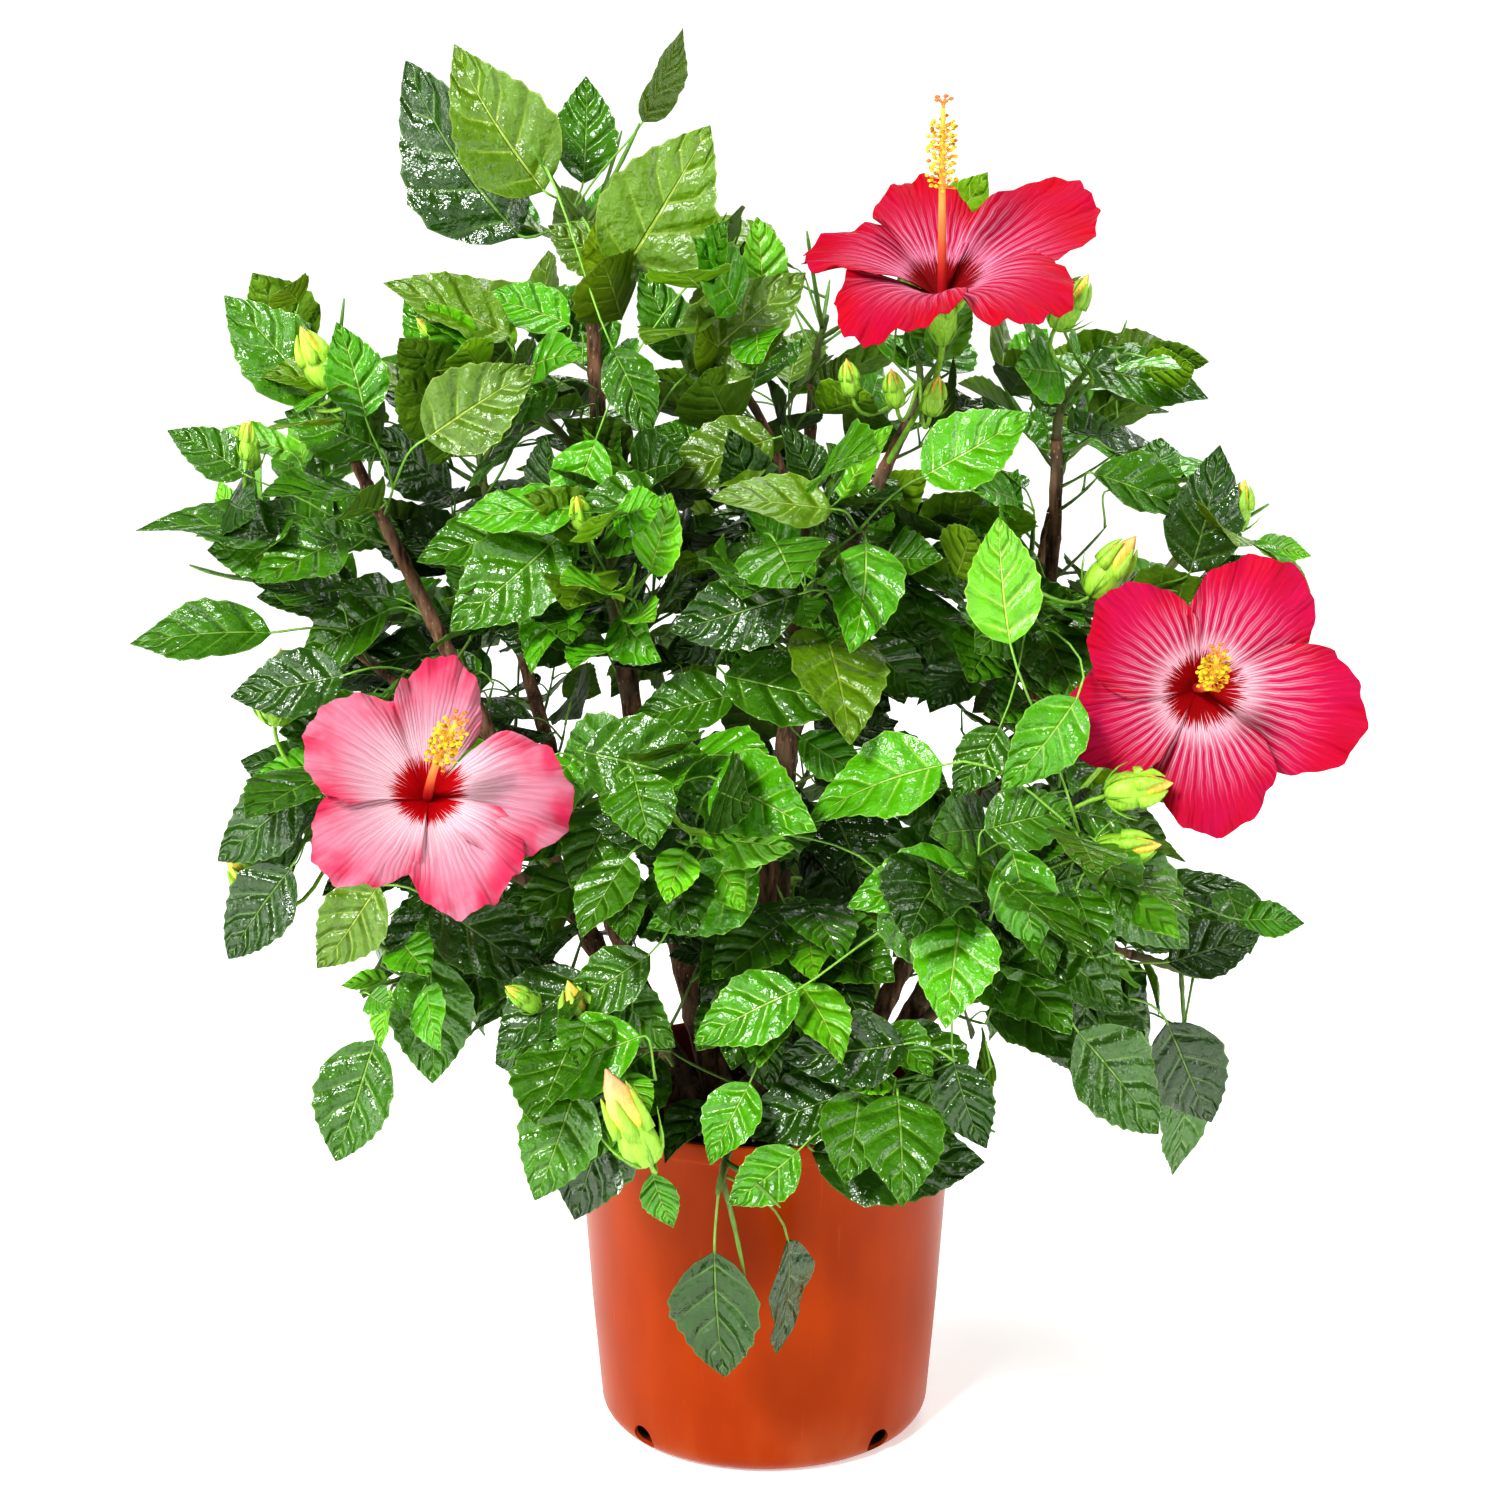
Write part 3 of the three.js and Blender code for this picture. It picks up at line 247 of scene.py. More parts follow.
CHOSEN_LEAVES = (
    ChosenLeaf("tall_top", 0.95, (-78, 6, 878), (-50, 10, 935), (0.9, -0.5, 0.3), OLIVE),
    ChosenLeaf("tall_top", 0.8, (-92, -40, 784), (-32, -66, 874), (0.2, -1, 0.3), OLIVE),
    ChosenLeaf("tall_top", 0.9, (-140, -14, 836), (-198, -38, 916), (0.1, -1, 0.4), OLIVE),
    ChosenLeaf("tall_top", 0.7, (-158, 12, 806), (-243, 0, 900), (-0.3, -1, 0.2), DEEP),
    ChosenLeaf("tall_top", 1, (-118, 34, 838), (-112, 52, 906), (0, -1, 0.2), GREEN),
    ChosenLeaf("tall_left", 0.9, (-160, -48, 748), (-232, -66, 790), (-0.2, -0.7, 1), OLIVE),
    ChosenLeaf("tall_front", 0.8, (-166, -114, 592), (-116, -128, 652), (0, -1, 0.2)),
    ChosenLeaf("front", 0.8, (-26, -164, 556), (60, -184, 540), (0.1, -1, 0.8), GREEN),
    ChosenLeaf("front_left", 0.9, (-112, -178, 512), (-22, -196, 496), (0, -1, 0.5), GREEN),
    ChosenLeaf("right_front", 0.76, (122, -204, 444), (52, -230, 436), (0, -1, 0.5), BRIGHT),
    ChosenLeaf("low_front", 0.9, (-32, -206, 200), (-31, -192, 106), (0, -1, 0.1), DEEP),
    ChosenLeaf("low_front", 0.7, (14, -178, 196), (22, -170, 112), (0.9, -0.5, 0), DEEP),
    ChosenLeaf("low_front_right", 0.6, (28, -196, 262), (134, -206, 256), (0, -1, 1), DEEP),
    ChosenLeaf("lower_left", 0.8, (-212, -132, 368), (-206, -152, 290), (0, -1, 0.1)),
    ChosenLeaf("lower_left", 1, (-250, -112, 306), (-276, -128, 228), (-0.4, -1, 0)),
    ChosenLeaf("far_right_low", 0.9, (282, -18, 262), (294, -18, 176), (0.5, -1, 0)),
)
SHOWN_LEAVES = (
    ShownLeaf("tall_left", (-210, -95, 690), 35, 80, 10, 0.1, OLIVE),
    ShownLeaf("top_centre", (-50, -60, 725), 45, 95, 15, 0.5, OLIVE),
    ShownLeaf("front", (5, -90, 690), 195, 75, 20, 0.5, OLIVE),
    ShownLeaf("front", (40, -150, 655), 170, 75, 15, 1.2, OLIVE),
    ShownLeaf("front", (60, -150, 635), 270, 80, 70, 1.4, BRIGHT),
    ShownLeaf("front", (20, -185, 610), 195, 80, 15, 0.6, DEEP),
    ShownLeaf("right_front", (105, -205, 510), 190, 85, 10, 0.8, BRIGHT),
    ShownLeaf("front_left", (-40, -205, 470), 175, 65, 10, 0.8, DEEP),
    ShownLeaf("right_middle", (145, -190, 580), 100, 75, 0, 0.1, YOUNG),
    ShownLeaf("front", (95, -120, 670), 30, 75, 5, 0.6, BRIGHT),
    ShownLeaf("tall_front", (-125, -120, 635), 220, 90, 30, 0.5, GREEN),
    ShownLeaf("left_top", (-280, -50, 705), 125, 90, 0, 0.3, GREEN),
    ShownLeaf("far_left", (-310, -40, 620), 165, 90, 0, 1.5, GREEN),
    ShownLeaf("far_left", (-320, -30, 555), 175, 90, 10, 1.5, GREEN),
    ShownLeaf("right_top", (205, -70, 665), 345, 70, 10, 2.0, GREEN),
    ShownLeaf("far_right", (265, -90, 605), 75, 80, 0, 0.2, DEEP),
    ShownLeaf("right_top", (200, -50, 730), 350, 80, 10, 1.2, GREEN),
    ShownLeaf("right_front", (145, -230, 465), 285, 65, 5, 0.3, BRIGHT),
    ShownLeaf("front_left", (-5, -210, 445), 210, 75, 10, 0.6, BRIGHT),
    ShownLeaf("right_front", (75, -215, 435), 295, 60, 10, 0.5, GREEN),
    ShownLeaf("right_front", (195, -205, 390), 160, 80, 20, 0.9, GREEN),
    ShownLeaf("right_front", (205, -150, 440), 315, 85, 10, 0.5, GREEN),
    ShownLeaf("low_front_left", (-75, -235, 350), 200, 80, 0, 0.9, BRIGHT),
    ShownLeaf("low_front_left", (-90, -225, 310), 250, 90, 0, 0.2, DEEP),
    ShownLeaf("front_low", (20, -220, 375), 200, 70, 15, 0.8, BRIGHT),
    ShownLeaf("low_front_right", (85, -205, 335), 185, 75, 15, 0.6, DEEP),
    ShownLeaf("low_front_right", (115, -195, 320), 285, 60, 10, 0.4, DEEP),
    ShownLeaf("lower_left", (-205, -170, 415), 325, 85, 10, 0.6, DEEP),
    ShownLeaf("low_right", (255, -120, 360), 15, 65, -10, 1.2, DEEP),
    ShownLeaf("low_right", (195, -150, 325), 310, 95, -10, 0.5, GREEN),
    ShownLeaf("low_right", (260, -90, 310), 295, 90, -10, 0.4, DEEP),
    ShownLeaf("low_front", (-10, -205, 310), 240, 55, 20, 0.6, BRIGHT),
    ShownLeaf("low_front", (55, -190, 300), 195, 75, 20, 0.8, DEEP),
    ShownLeaf("low_front", (20, -215, 270), 220, 55, 10, 0.7, BRIGHT),
    ShownLeaf("low_front_left", (-70, -215, 255), 285, 40, 0, 0.4, BRIGHT),
    ShownLeaf("right_front", (185, -200, 550), 235, 70, 15, 0.4, BRIGHT),
    ShownLeaf("right_middle", (140, -190, 530), 240, 50, 10, 0.5, GREEN),
    ShownLeaf("front_left", (-70, -215, 395), 210, 65, 10, 0.9, GREEN),
    ShownLeaf("far_right_low", (310, -60, 370), 5, 42, 0, 0.8, BRIGHT),
    ShownLeaf("left_top", (-250, -70, 700), 100, 60, 5, 0.2, BRIGHT),
    ShownLeaf("far_left", (-330, -45, 660), 140, 55, 5, 0.4, GREEN),
    ShownLeaf("tall_front", (-105, -95, 690), 250, 60, 15, 0.6, BRIGHT),
    ShownLeaf("tall_front", (-95, -85, 745), 300, 60, 15, 0.8, GREEN),
    ShownLeaf("tall_left", (-130, -60, 720), 200, 60, 15, 0.5, GREEN),
    ShownLeaf("lower_left", (-300, -110, 420), 230, 75, 5, 0.6, DEEP),
    ShownLeaf("left_low", (-290, -110, 470), 215, 75, 5, 0.9, DEEP),
    ShownLeaf("left_low", (-265, -90, 540), 190, 75, 5, 0.7, DEEP),
    ShownLeaf("top_centre", (-50, -60, 735), 115, 60, 10, 0.6, GREEN),
    ShownLeaf("lower_left", (-240, -150, 420), 235, 70, 5, 0.7, OLIVE),
    ShownLeaf("front", (-20, -125, 535), 190, 65, 15, 0.8, GREEN),
    ShownLeaf("front", (20, -130, 510), 330, 50, 15, 0.8, BRIGHT),
)
CHOSEN_BUDS = (
    ChosenBud("right_front", 0.3, (196, -196, 452), (236, -210, 462)),
    ChosenBud("low_front_left", 0.5, (-70, -262, 280), (-94, -276, 342), 0.95, 1.5),
    ChosenBud("top_centre", 0.9, (-36, -34, 790), (-40, -36, 834)),
    ChosenBud("left_low", 0.6, (-318, -74, 386), (-346, -82, 416)),
    ChosenBud("left_low", 1, (-316, -56, 500), (-310, -58, 550), 1.25, 0.9),
    ChosenBud("low_front_left", 1, (-104, -206, 332), (-120, -214, 378)),
    ChosenBud("right_middle", 1, (200, -118, 596), (226, -124, 634), 1.25, 0.7),
    ChosenBud("right_top", 0.9, (180, -58, 754), (200, -62, 788)),
    ChosenBud("far_left", 1, (-332, -10, 658), (-336, -12, 690)),
    ChosenBud("left_top", 1, (-272, -58, 716), (-290, -62, 756)),
    ChosenBud("far_right", 1, (294, -70, 628), (300, -74, 662)),
    ChosenBud("right_front", 0.6, (204, -190, 487), (244, -194, 496), 1.5),
    ChosenBud("centre_top", 0.7, (82, -60, 705), (78, -64, 730), 1.3),
    ChosenBud("centre_top", 0.7, (103, -62, 700), (108, -66, 726), 1.3),
    ChosenBud("centre_top", 0.6, (54, -60, 712), (50, -64, 736), 1.3),
    ChosenBud("left_top", 0.9, (-255, -60, 715), (-252, -64, 742), 0.9),
    ChosenBud("left_top", 0.9, (-262, -62, 712), (-270, -66, 738), 0.9),
    ChosenBud("far_left", 0.9, (-330, -45, 670), (-326, -48, 696), 0.9),
)


@dataclass(frozen=True)
class Outline:
    """How far the crown goes to the left and to the right at each height."""

    heights: Sequence[float] = (92, 300, 380, 470, 545, 640, 700, 780, 812, 860, 936)
    left: Sequence[float] = (-285, -292, -352, -352, -430, -416, -384, -342, -265, -250, -246)
    right: Sequence[float] = (300, 318, 355, 318, 335, 370, 292, 282, 215, 130, -26)


@dataclass(frozen=True)
class Sky:
    """A stretch that stays open when the crown is seen from in front, at the depth of its axis."""

    left: float
    right: float
    low: float
    high: float


EYE = np.array((-10.0, -2000.0, 950.0))  # where the crown is seen from in front
SKIES = (
    Sky(155, 275, 0, 215),
    Sky(-115, 120, 0, 150),
    Sky(-260, -170, 0, 240),
    Sky(-500, -295, 0, 330),
    Sky(365, 500, 0, 435),
    Sky(330, 500, 0, 290),
    Sky(290, 500, 675, 1000),
    Sky(375, 500, 560, 800),
    Sky(165, 285, 755, 1000),
    Sky(-30, 35, 830, 1000),
    Sky(-500, 20, 850, 1000),
    Sky(-500, -245, 785, 1000),
    Sky(-500, -335, 700, 1000),
    Sky(-500, -355, 450, 530),
    Sky(20, 75, 745, 830),
    Sky(180, 270, 605, 640),
    Sky(265, 365, 675, 705),
    Sky(320, 375, 625, 670),
    Sky(-500, -395, 595, 640),
    Sky(-500, -360, 570, 590),
    Sky(-355, -325, 540, 565),
    Sky(-500, -370, 650, 700),
    Sky(-285, -240, 735, 770),
    Sky(-500, -330, 470, 535),
    Sky(270, 330, 215, 320),
    Sky(130, 160, 120, 195),
)


@dataclass(frozen=True)
class LeafPlan:
    """The sizes of a leaf: its blade's length, and shares of that length."""

    length: float = 102
    width: float = 0.74
    stalk: float = 0.42
    fold: float = 0.2
    arch: float = 0.16


@dataclass(frozen=True)
class BudPlan:
    """The sizes of a full bud and its stalk."""

    length: float = 40
    radius: float = 7.5
    stalk: float = 34


@dataclass(frozen=True)
class TwigPlan:
    """The twigs' radii at the root, and the share lost by the tip."""

    leader: float = 3.4
    side: float = 2.0
    fine: float = 1.3
    taper: float = 0.4


@dataclass(frozen=True)
class GrowthPlan:
    """The rule's numbers, as in the solids."""

    seed: int = 11
    bare_spread: float = 58
    spread_per_twig: float = 20
    young_leaves: int = 2
    young_step: float = 6
    step: float = 13
    reach: float = 1.36
    space_edge: float = 2.5


@dataclass(frozen=True)
class FinePlan:
    """How far the twigs are carried on past the solids."""

    on_leader: int = 6
    on_side: int = 3
    spur_step: float = 20  # from one short spur to the next, along a limb
    twig_to_limb: float = 4
    drawn: float = 0.92  # how large the solids' leaves are drawn, now that there are more


@dataclass(frozen=True)
class LeafRound:
    """A round of leaves: how many, how hard it tries, their size and what they keep clear of."""

    spread_per_leaf: float
    shift: int  # what is added to a try's number where it is drawn, so that the rounds differ
    tries: int
    size: float
    to_limb: float
    to_leaf: float
    to_twig: float


@dataclass(frozen=True)
class Room:
    """What a twig, a leaf or a bud keeps clear of what is round it."""

    twig_to_limb: float = 6
    root_to_limb: float = 2.5
    bud_to_limb: float = 8
    bud_to_leaf: float = 13
    pot: float = 8
    bloom: float = 8
    above_bloom: float = 170


OUTLINE = Outline()
LEAF = LeafPlan()
BUD = BudPlan()
TWIG = TwigPlan()
GROWTH = GrowthPlan()
FINE = FinePlan()
ROOM = Room()
FIRST_ROUND = LeafRound(9.2, 0, 24, 1.0, 8, 11, 5)
FINER_ROUNDS = (
    LeafRound(5.6, 50, 16, 0.8, 5, 7.5, 3.5),
    LeafRound(8.0, 100, 14, 0.62, 4, 5.5, 3),
)


# ---------------------------------------------------------------- small helpers


def draw(*keys: int) -> float:
    """A number from 0 to 1 that depends only on the seed and on what it is drawn for.

    Args:
        keys: what it is drawn for.

    Returns:
        The number.
    """
    mixed = GROWTH.seed
    for key in keys:
        mixed = ((mixed ^ (key + 0x9E37)) * 0x85EBCA6B) & 0xFFFFFFFF
        mixed ^= mixed >> 13
        mixed = (mixed * 0xC2B2AE35) & 0xFFFFFFFF
        mixed ^= mixed >> 16
    return mixed / 4294967296


def vec(values: Sequence[float]) -> np.ndarray:
    """A point or a direction as an array."""
    return np.array(values, float)


def unit(way: np.ndarray) -> np.ndarray:
    """A direction at length one."""
    return way / math.sqrt(way @ way)


def cross(a: np.ndarray, b: np.ndarray) -> np.ndarray:
    """The cross product of two directions."""
    return np.array((a[1] * b[2] - a[2] * b[1], a[2] * b[0] - a[0] * b[2], a[0] * b[1] - a[1] * b[0]))


def mix(low: float, high: float, share: float) -> float:
    """A value between two others."""
    return low + (high - low) * share


def clamp(value: float, low: float, high: float) -> float:
    """A value kept between two others."""
    return max(low, min(high, value))


def ease(low: float, high: float, value: np.ndarray | float) -> np.ndarray | float:
    """A smooth step from 0 at low to 1 at high."""
    share = np.clip((value - low) / (high - low), 0, 1)
    return share * share * (3 - 2 * share)


def across(way: np.ndarray) -> tuple[np.ndarray, np.ndarray]:
    """Two unit directions that make a right-handed set with a third.

    Args:
        way: the third direction, at length one.

    Returns:
        The two.
    """
    aside = UP if abs(way[2]) < 0.9 else np.array((1.0, 0.0, 0.0))
    first = unit(cross(aside, way))
    return first, cross(way, first)


def square_to(way: np.ndarray, angle: float) -> np.ndarray:
    """The unit direction square to another at an angle round it."""
    first, second = across(way)
    return first * math.cos(angle) + second * math.sin(angle)


def outwards(point: np.ndarray) -> np.ndarray:
    """The horizontal direction outwards from the crown's axis at a point."""
    flat = np.array((point[0], point[1], 0.0))
    return np.array((0.0, -1.0, 0.0)) if flat @ flat < 1 else unit(flat)


def gaps_to(points: np.ndarray, starts: np.ndarray, ends: np.ndarray) -> np.ndarray:
    """The distances from each point to each straight piece.

    Args:
        points: the points, one a row.
        starts: where the pieces start, one a row.
        ends: where they end.

    Returns:
        One row of distances a point.
    """
    along = ends - starts
    offset = points[:, None] - starts
    share = np.clip((offset * along).sum(-1) / (along * along).sum(-1), 0, 1)
    return np.linalg.norm(offset - share[..., None] * along, axis=-1)


@dataclass(frozen=True)
class Curve:
    """A Bezier curve of three or four points."""

    points: np.ndarray

    def at(self, t: float | np.ndarray) -> np.ndarray:
        """The point, or points, at a share or shares of the curve.

        Args:
            t: the share or shares.

        Returns:
            The point, or one point a row.
        """
        t = np.asarray(t, float)[..., None]
        s = 1 - t
        p = self.points
        if len(p) == 3:
            return s * s * p[0] + 2 * s * t * p[1] + t * t * p[2]
        return s**3 * p[0] + 3 * s * s * t * p[1] + 3 * s * t * t * p[2] + t**3 * p[3]

    def way(self, t: float) -> np.ndarray:
        """The unit direction at a share of the curve."""
        return unit(self.at(min(t + 1e-4, 1)) - self.at(max(t - 1e-4, 0)))

    def length(self) -> float:
        """The curve's length."""
        run = np.diff(self.at(np.linspace(0, 1, 201)), axis=0)
        return float(np.linalg.norm(run, axis=1).sum())


def swept(start: np.ndarray, leave: np.ndarray, end: np.ndarray, arrive: np.ndarray) -> Curve:
    """The curve that leaves its start one way and arrives at its end another way."""
    length = math.dist(start, end)
    return Curve(np.array((start, start + leave * length * 0.35, end - arrive * length * 0.35, end)))


def rising(start: np.ndarray, way: np.ndarray, length: float, rise: float) -> Curve:
    """The curve of a short twig, whose tip rises above its first way."""
    end = start + way * length + UP * rise
    return Curve(np.array((start, start + way * length * 0.5, end)))


# ---------------------------------------------------------------- limbs and the rule of growth


@dataclass(frozen=True)
class Limb:
    """A stem or a bough: its curve and its radius along it."""

    name: str
    curve: Curve
    radius_at: Radius
    is_stem: bool


@dataclass(frozen=True)
class BloomPlan:
    """A bloom: its node, the limb that carries it, its throat and the way it faces."""

    name: str
    on: str
    at: float
    throat: Triple
    faces: Triple


@dataclass(frozen=True)
class BloomSizes:
    """The sizes that all blooms share."""

    reach: float = 92
    depth: float = 34
    column_radius: float = 2.6
    calyx_length: float = 28
    stalk_radius: float = 1.9


BLOOM = BloomSizes()
BLOOMS = (
    BloomPlan("bloom_left", "stem_left", 0.4, (-200, -230, 505), (0.12, -1, 0.62)),
    BloomPlan("bloom_top", "stem_centre", 0.93, (108, -74, 800), (-0.05, -0.42, 1)),
    BloomPlan("bloom_right", "bough_right_front", 0.84, (264, -176, 547), (0.02, -1, 0.1)),
)


@dataclass
class Twig:
    """A twig: its curve, its radius at the root, its straight pieces and how fine it is."""

    curve: Curve
    radius: float
    steps: int
    level: int
    kept: bool = False
    starts: np.ndarray = field(init=False)
    ends: np.ndarray = field(init=False)

    def __post_init__(self) -> None:
        """Works out the twig's straight pieces."""
        run = self.curve.at(np.linspace(0, 1, self.steps + 1))
        self.starts, self.ends = run[:-1], run[1:]


@dataclass(frozen=True)
class Place:
    """A place on a twig where a leaf may leave it."""

    point: np.ndarray
    way: np.ndarray
    turn: float
    size: float
    young: bool
    keys: tuple[int, int]
    turn_to_bear: int


@dataclass(frozen=True)
class Leaf:
    """A leaf: where it leaves its twig, its blade's base, way, upper face, side and length."""

    point: np.ndarray
    base: np.ndarray
    way: np.ndarray
    normal: np.ndarray
    aside: np.ndarray
    length: float
    keys: Keys
    young: bool = False
    kind: LeafKind | None = None


@dataclass(frozen=True)
class Bud:
    """A bud: where it leaves its twig, its base and its tip."""

    point: np.ndarray
    base: np.ndarray
    tip: np.ndarray
    open: float = 0.0
    girth: float = 1.0


@dataclass
class Grown:
    """What one mass holds."""

    twigs: list[Twig] = field(default_factory=list)
    leaves: list[Leaf] = field(default_factory=list)
    buds: list[Bud] = field(default_factory=list)


class Skeleton:
    """The limbs, the masses' leading twigs and the blooms' stalks."""

    def __init__(self) -> None:
        """Grows the stems, the boughs on them, and what leads on from both."""
        self.limbs: dict[str, Limb] = {}
        for plan in STEMS:
            self.limbs[plan.name] = self.stem(plan)
        for plan in BOUGHS:
            self.limbs[plan.name] = self.bough(plan)
        self.leaders = [self.leader(mass) for mass in MASSES]
        self.stalks = [self.stalk(bloom) for bloom in BLOOMS]

    def stem(self, plan: StemPlan) -> Limb:
        """A stem, from just under the soil, with a root flare at its foot.

        Args:
            plan: the stem's plan.

        Returns:
            The stem.
        """
        start = vec((*plan.foot, SOIL_TOP - 8))
        end = vec(plan.head)
        curve = Curve(np.array((start, (start + end) / 2 + 2 * vec(plan.bow), end)))
        return Limb(
            plan.name,
            curve,
            lambda t: mix(plan.thick, plan.thin, t**0.8) * (1 + 0.45 * math.exp(-t * 22)),
            True,
        )

    def bough(self, plan: BoughPlan) -> Limb:
        """A bough, which leaves its stem between the stem's way and its own, and arrives outwards.

        Args:
            plan: the bough's plan.

        Returns:
            The bough.
        """
        stem = self.limbs[plan.on]
        start, end = stem.curve.at(plan.at), vec(plan.head)
        leave = unit(stem.curve.way(plan.at) + unit(end - start))
        curve = swept(start, leave, end, unit(outwards(end) + plan.lift * UP))
        root = stem.radius_at(plan.at) * BOUGH_TO_STEM
        return Limb(plan.name, curve, lambda t: mix(root, BOUGH_TIP, t), False)

    def leader(self, mass: MassPlan) -> Curve:
        """A mass's leading twig, from its limb to the mass's heart.

        Args:
            mass: the mass's plan.

        Returns:
            The twig's curve.
        """
        limb = self.limbs[mass.on].curve
        heart = vec(mass.heart)
        leave = limb.way(mass.at)
        start = limb.at(mass.at)
        if mass.at == 1:
            start = start + leave * CLEAR
        else:
            leave = unit(leave * 0.8 + unit(heart - start))
        return Curve(np.array((start, start + leave * math.dist(start, heart) * 0.55, heart)))

    def stalk(self, bloom: BloomPlan) -> Curve:
        """A bloom's stalk, from its limb to the calyx under its throat.

        Args:
            bloom: the bloom's plan.

        Returns:
            The stalk's curve.
        """
        limb = self.limbs[bloom.on].curve
        faces = unit(vec(bloom.faces))
        start = limb.at(bloom.at)
        end = vec(bloom.throat) - faces * (BLOOM.depth + BLOOM.calyx_length * 0.8)
        leave = unit(limb.way(bloom.at) + 1.2 * unit(end - start))
        return swept(start, leave, end, faces)


class Crown:
    """All the foliage: twigs, leaves and buds, grown mass by mass by the seeded rule."""

    def __init__(self, skeleton: Skeleton) -> None:
        """Sets out each mass's space and what its foliage keeps clear of.

        Args:
            skeleton: the limbs, leading twigs and stalks.
        """
        self.skeleton = skeleton
        self.grown = [Grown() for _ in MASSES]
        self.hearts = np.array([mass.heart for mass in MASSES], float)
        self.spreads = np.array([mass.spread for mass in MASSES], float)
        self.apart = np.linalg.norm(self.hearts[:, None] - self.hearts, axis=-1)
        self.taken = np.zeros((MOST_TAKEN, 3))
        self.count = 0
        self.find_obstacles()

    def find_obstacles(self) -> None:
        """Cuts every limb, leader and stalk into straight pieces, and lists those near each mass."""
        starts, ends, radii, owners = [], [], [], []

        def add(curve: Curve, radius_at: Radius, owner: int, steps: int) -> None:
            """Adds the straight pieces of one curve.

            Args:
                curve: the curve.
                radius_at: its radius at a share of it.
                owner: the number of the mass that it belongs to, or -1.
                steps: how many pieces it is cut into.
            """
            run = curve.at(np.linspace(0, 1, steps + 1))
            starts.extend(run[:-1])
            ends.extend(run[1:])
            radii.extend(radius_at(i / steps) for i in range(steps))
            owners.extend([owner] * steps)

        for limb in self.skeleton.limbs.values():
            add(limb.curve, limb.radius_at, -1, 9)
        for number, curve in enumerate(self.skeleton.leaders):
            add(curve, lambda t: TWIG.leader, number, 5)
        for curve in self.skeleton.stalks:
            add(curve, lambda t: BLOOM.stalk_radius, -1, 6)
        starts, ends, radii, owners = map(np.array, (starts, ends, radii, owners))
        self.near = []
        for number, mass in enumerate(MASSES):
            far = gaps_to(self.hearts[number : number + 1], starts, ends)[0]
            pick = (far < mass.spread * GROWTH.reach + 30) & (owners != number)
            self.near.append((starts[pick], ends[pick], radii[pick]))

    def in_own_space(self, points: np.ndarray, m: int) -> bool:
        """True if points lie on their mass's side of the plane between it and each neighbour.

        Args:
            points: the points, one a row.
            m: the mass's number.

        Returns:
            True if all of them do.
        """
        squares = ((points[:, None] - self.hearts) ** 2).sum(-1)
        if (squares[:, m] > (self.spreads[m] * GROWTH.reach) ** 2).any():
            return False
        power = squares - self.spreads**2
        beyond = power - power[:, m : m + 1]
        beyond[:, m] = math.inf
        return bool((beyond > GROWTH.space_edge * 2 * self.apart[m]).all())

    @staticmethod
    def is_out(points: np.ndarray) -> bool:
        """True if any point is where the pot stands, or outside the crown's outline.

        Args:
            points: the points, one a row.

        Returns:
            True if one of them is.
        """
        x, y, z = points.T
        if ((z < POT.height + ROOM.pot) & (np.hypot(x, y) < POT.reach + ROOM.pot)).any():
            return True
        if (z < OUTLINE.heights[0]).any() or (z >= OUTLINE.heights[-1]).any():
            return True
        left = np.interp(z, OUTLINE.heights, OUTLINE.left)
        right = np.interp(z, OUTLINE.heights, OUTLINE.right)
        return bool(((x < left) | (x > right)).any())

    @staticmethod
    def in_bloom(points: np.ndarray) -> bool:
        """True if any point is in a bloom, or in the open space in front of it.

        Args:
            points: the points, one a row.

        Returns:
            True if one of them is.
        """
        for bloom in BLOOMS:
            faces = unit(vec(bloom.faces))
            offset = points - vec(bloom.throat)
            height = offset @ faces
            radius = np.linalg.norm(offset - height[:, None] * faces, axis=1)
            above = height + BLOOM.depth + BLOOM.calyx_length
            front = (height > -10) & (height < ROOM.above_bloom) & (radius < BLOOM.reach + ROOM.bloom)
            behind = (height <= -10) & (above > 0) & (radius < 18 + above * 0.8)
            if (front | behind).any():
                return True
        return False

    def is_open(self, points: np.ndarray, m: int, gap: float) -> bool:
        """True if points are in a mass's space and clear of every limb by a gap.

        Args:
            points: the points, one a row.
            m: the mass's number.
            gap: the gap in millimetres.

        Returns:
            True if all of them are.
        """
        if not self.in_own_space(points, m) or self.is_out(points) or self.in_bloom(points):
            return False
        starts, ends, radii = self.near[m]
        return bool((gaps_to(points, starts, ends) > radii + gap).all())

    def is_untaken(self, points: np.ndarray, gap: float) -> bool:
        """True if no leaf or bud so far is nearer to the points than a gap.

        Args:
            points: the points, one a row.
            gap: the gap in millimetres.

        Returns:
            True if none is.
        """
        low, high = points.min(0) - gap, points.max(0) + gap
        taken = self.taken[: self.count]
        taken = taken[((taken > low) & (taken < high)).all(1)]
        if not len(taken):
            return True
        return bool((((points[:, None] - taken) ** 2).sum(-1) > gap * gap).all())

    def is_off_twigs(self, points: np.ndarray, m: int, gap: float) -> bool:
        """True if the points are clear of the mass's own twigs.

        Args:
            points: the points, one a row.
            m: the mass's number.
            gap: how far off they have to be.

        Returns:
            True if all of them are.
        """
        starts = np.concatenate([twig.starts for twig in self.grown[m].twigs])
        ends = np.concatenate([twig.ends for twig in self.grown[m].twigs])
        return bool((gaps_to(points, starts, ends) > gap).all())

    def take(self, points: np.ndarray) -> None:
        """Marks points as taken."""
        self.taken[self.count : self.count + len(points)] = points
        self.count += len(points)

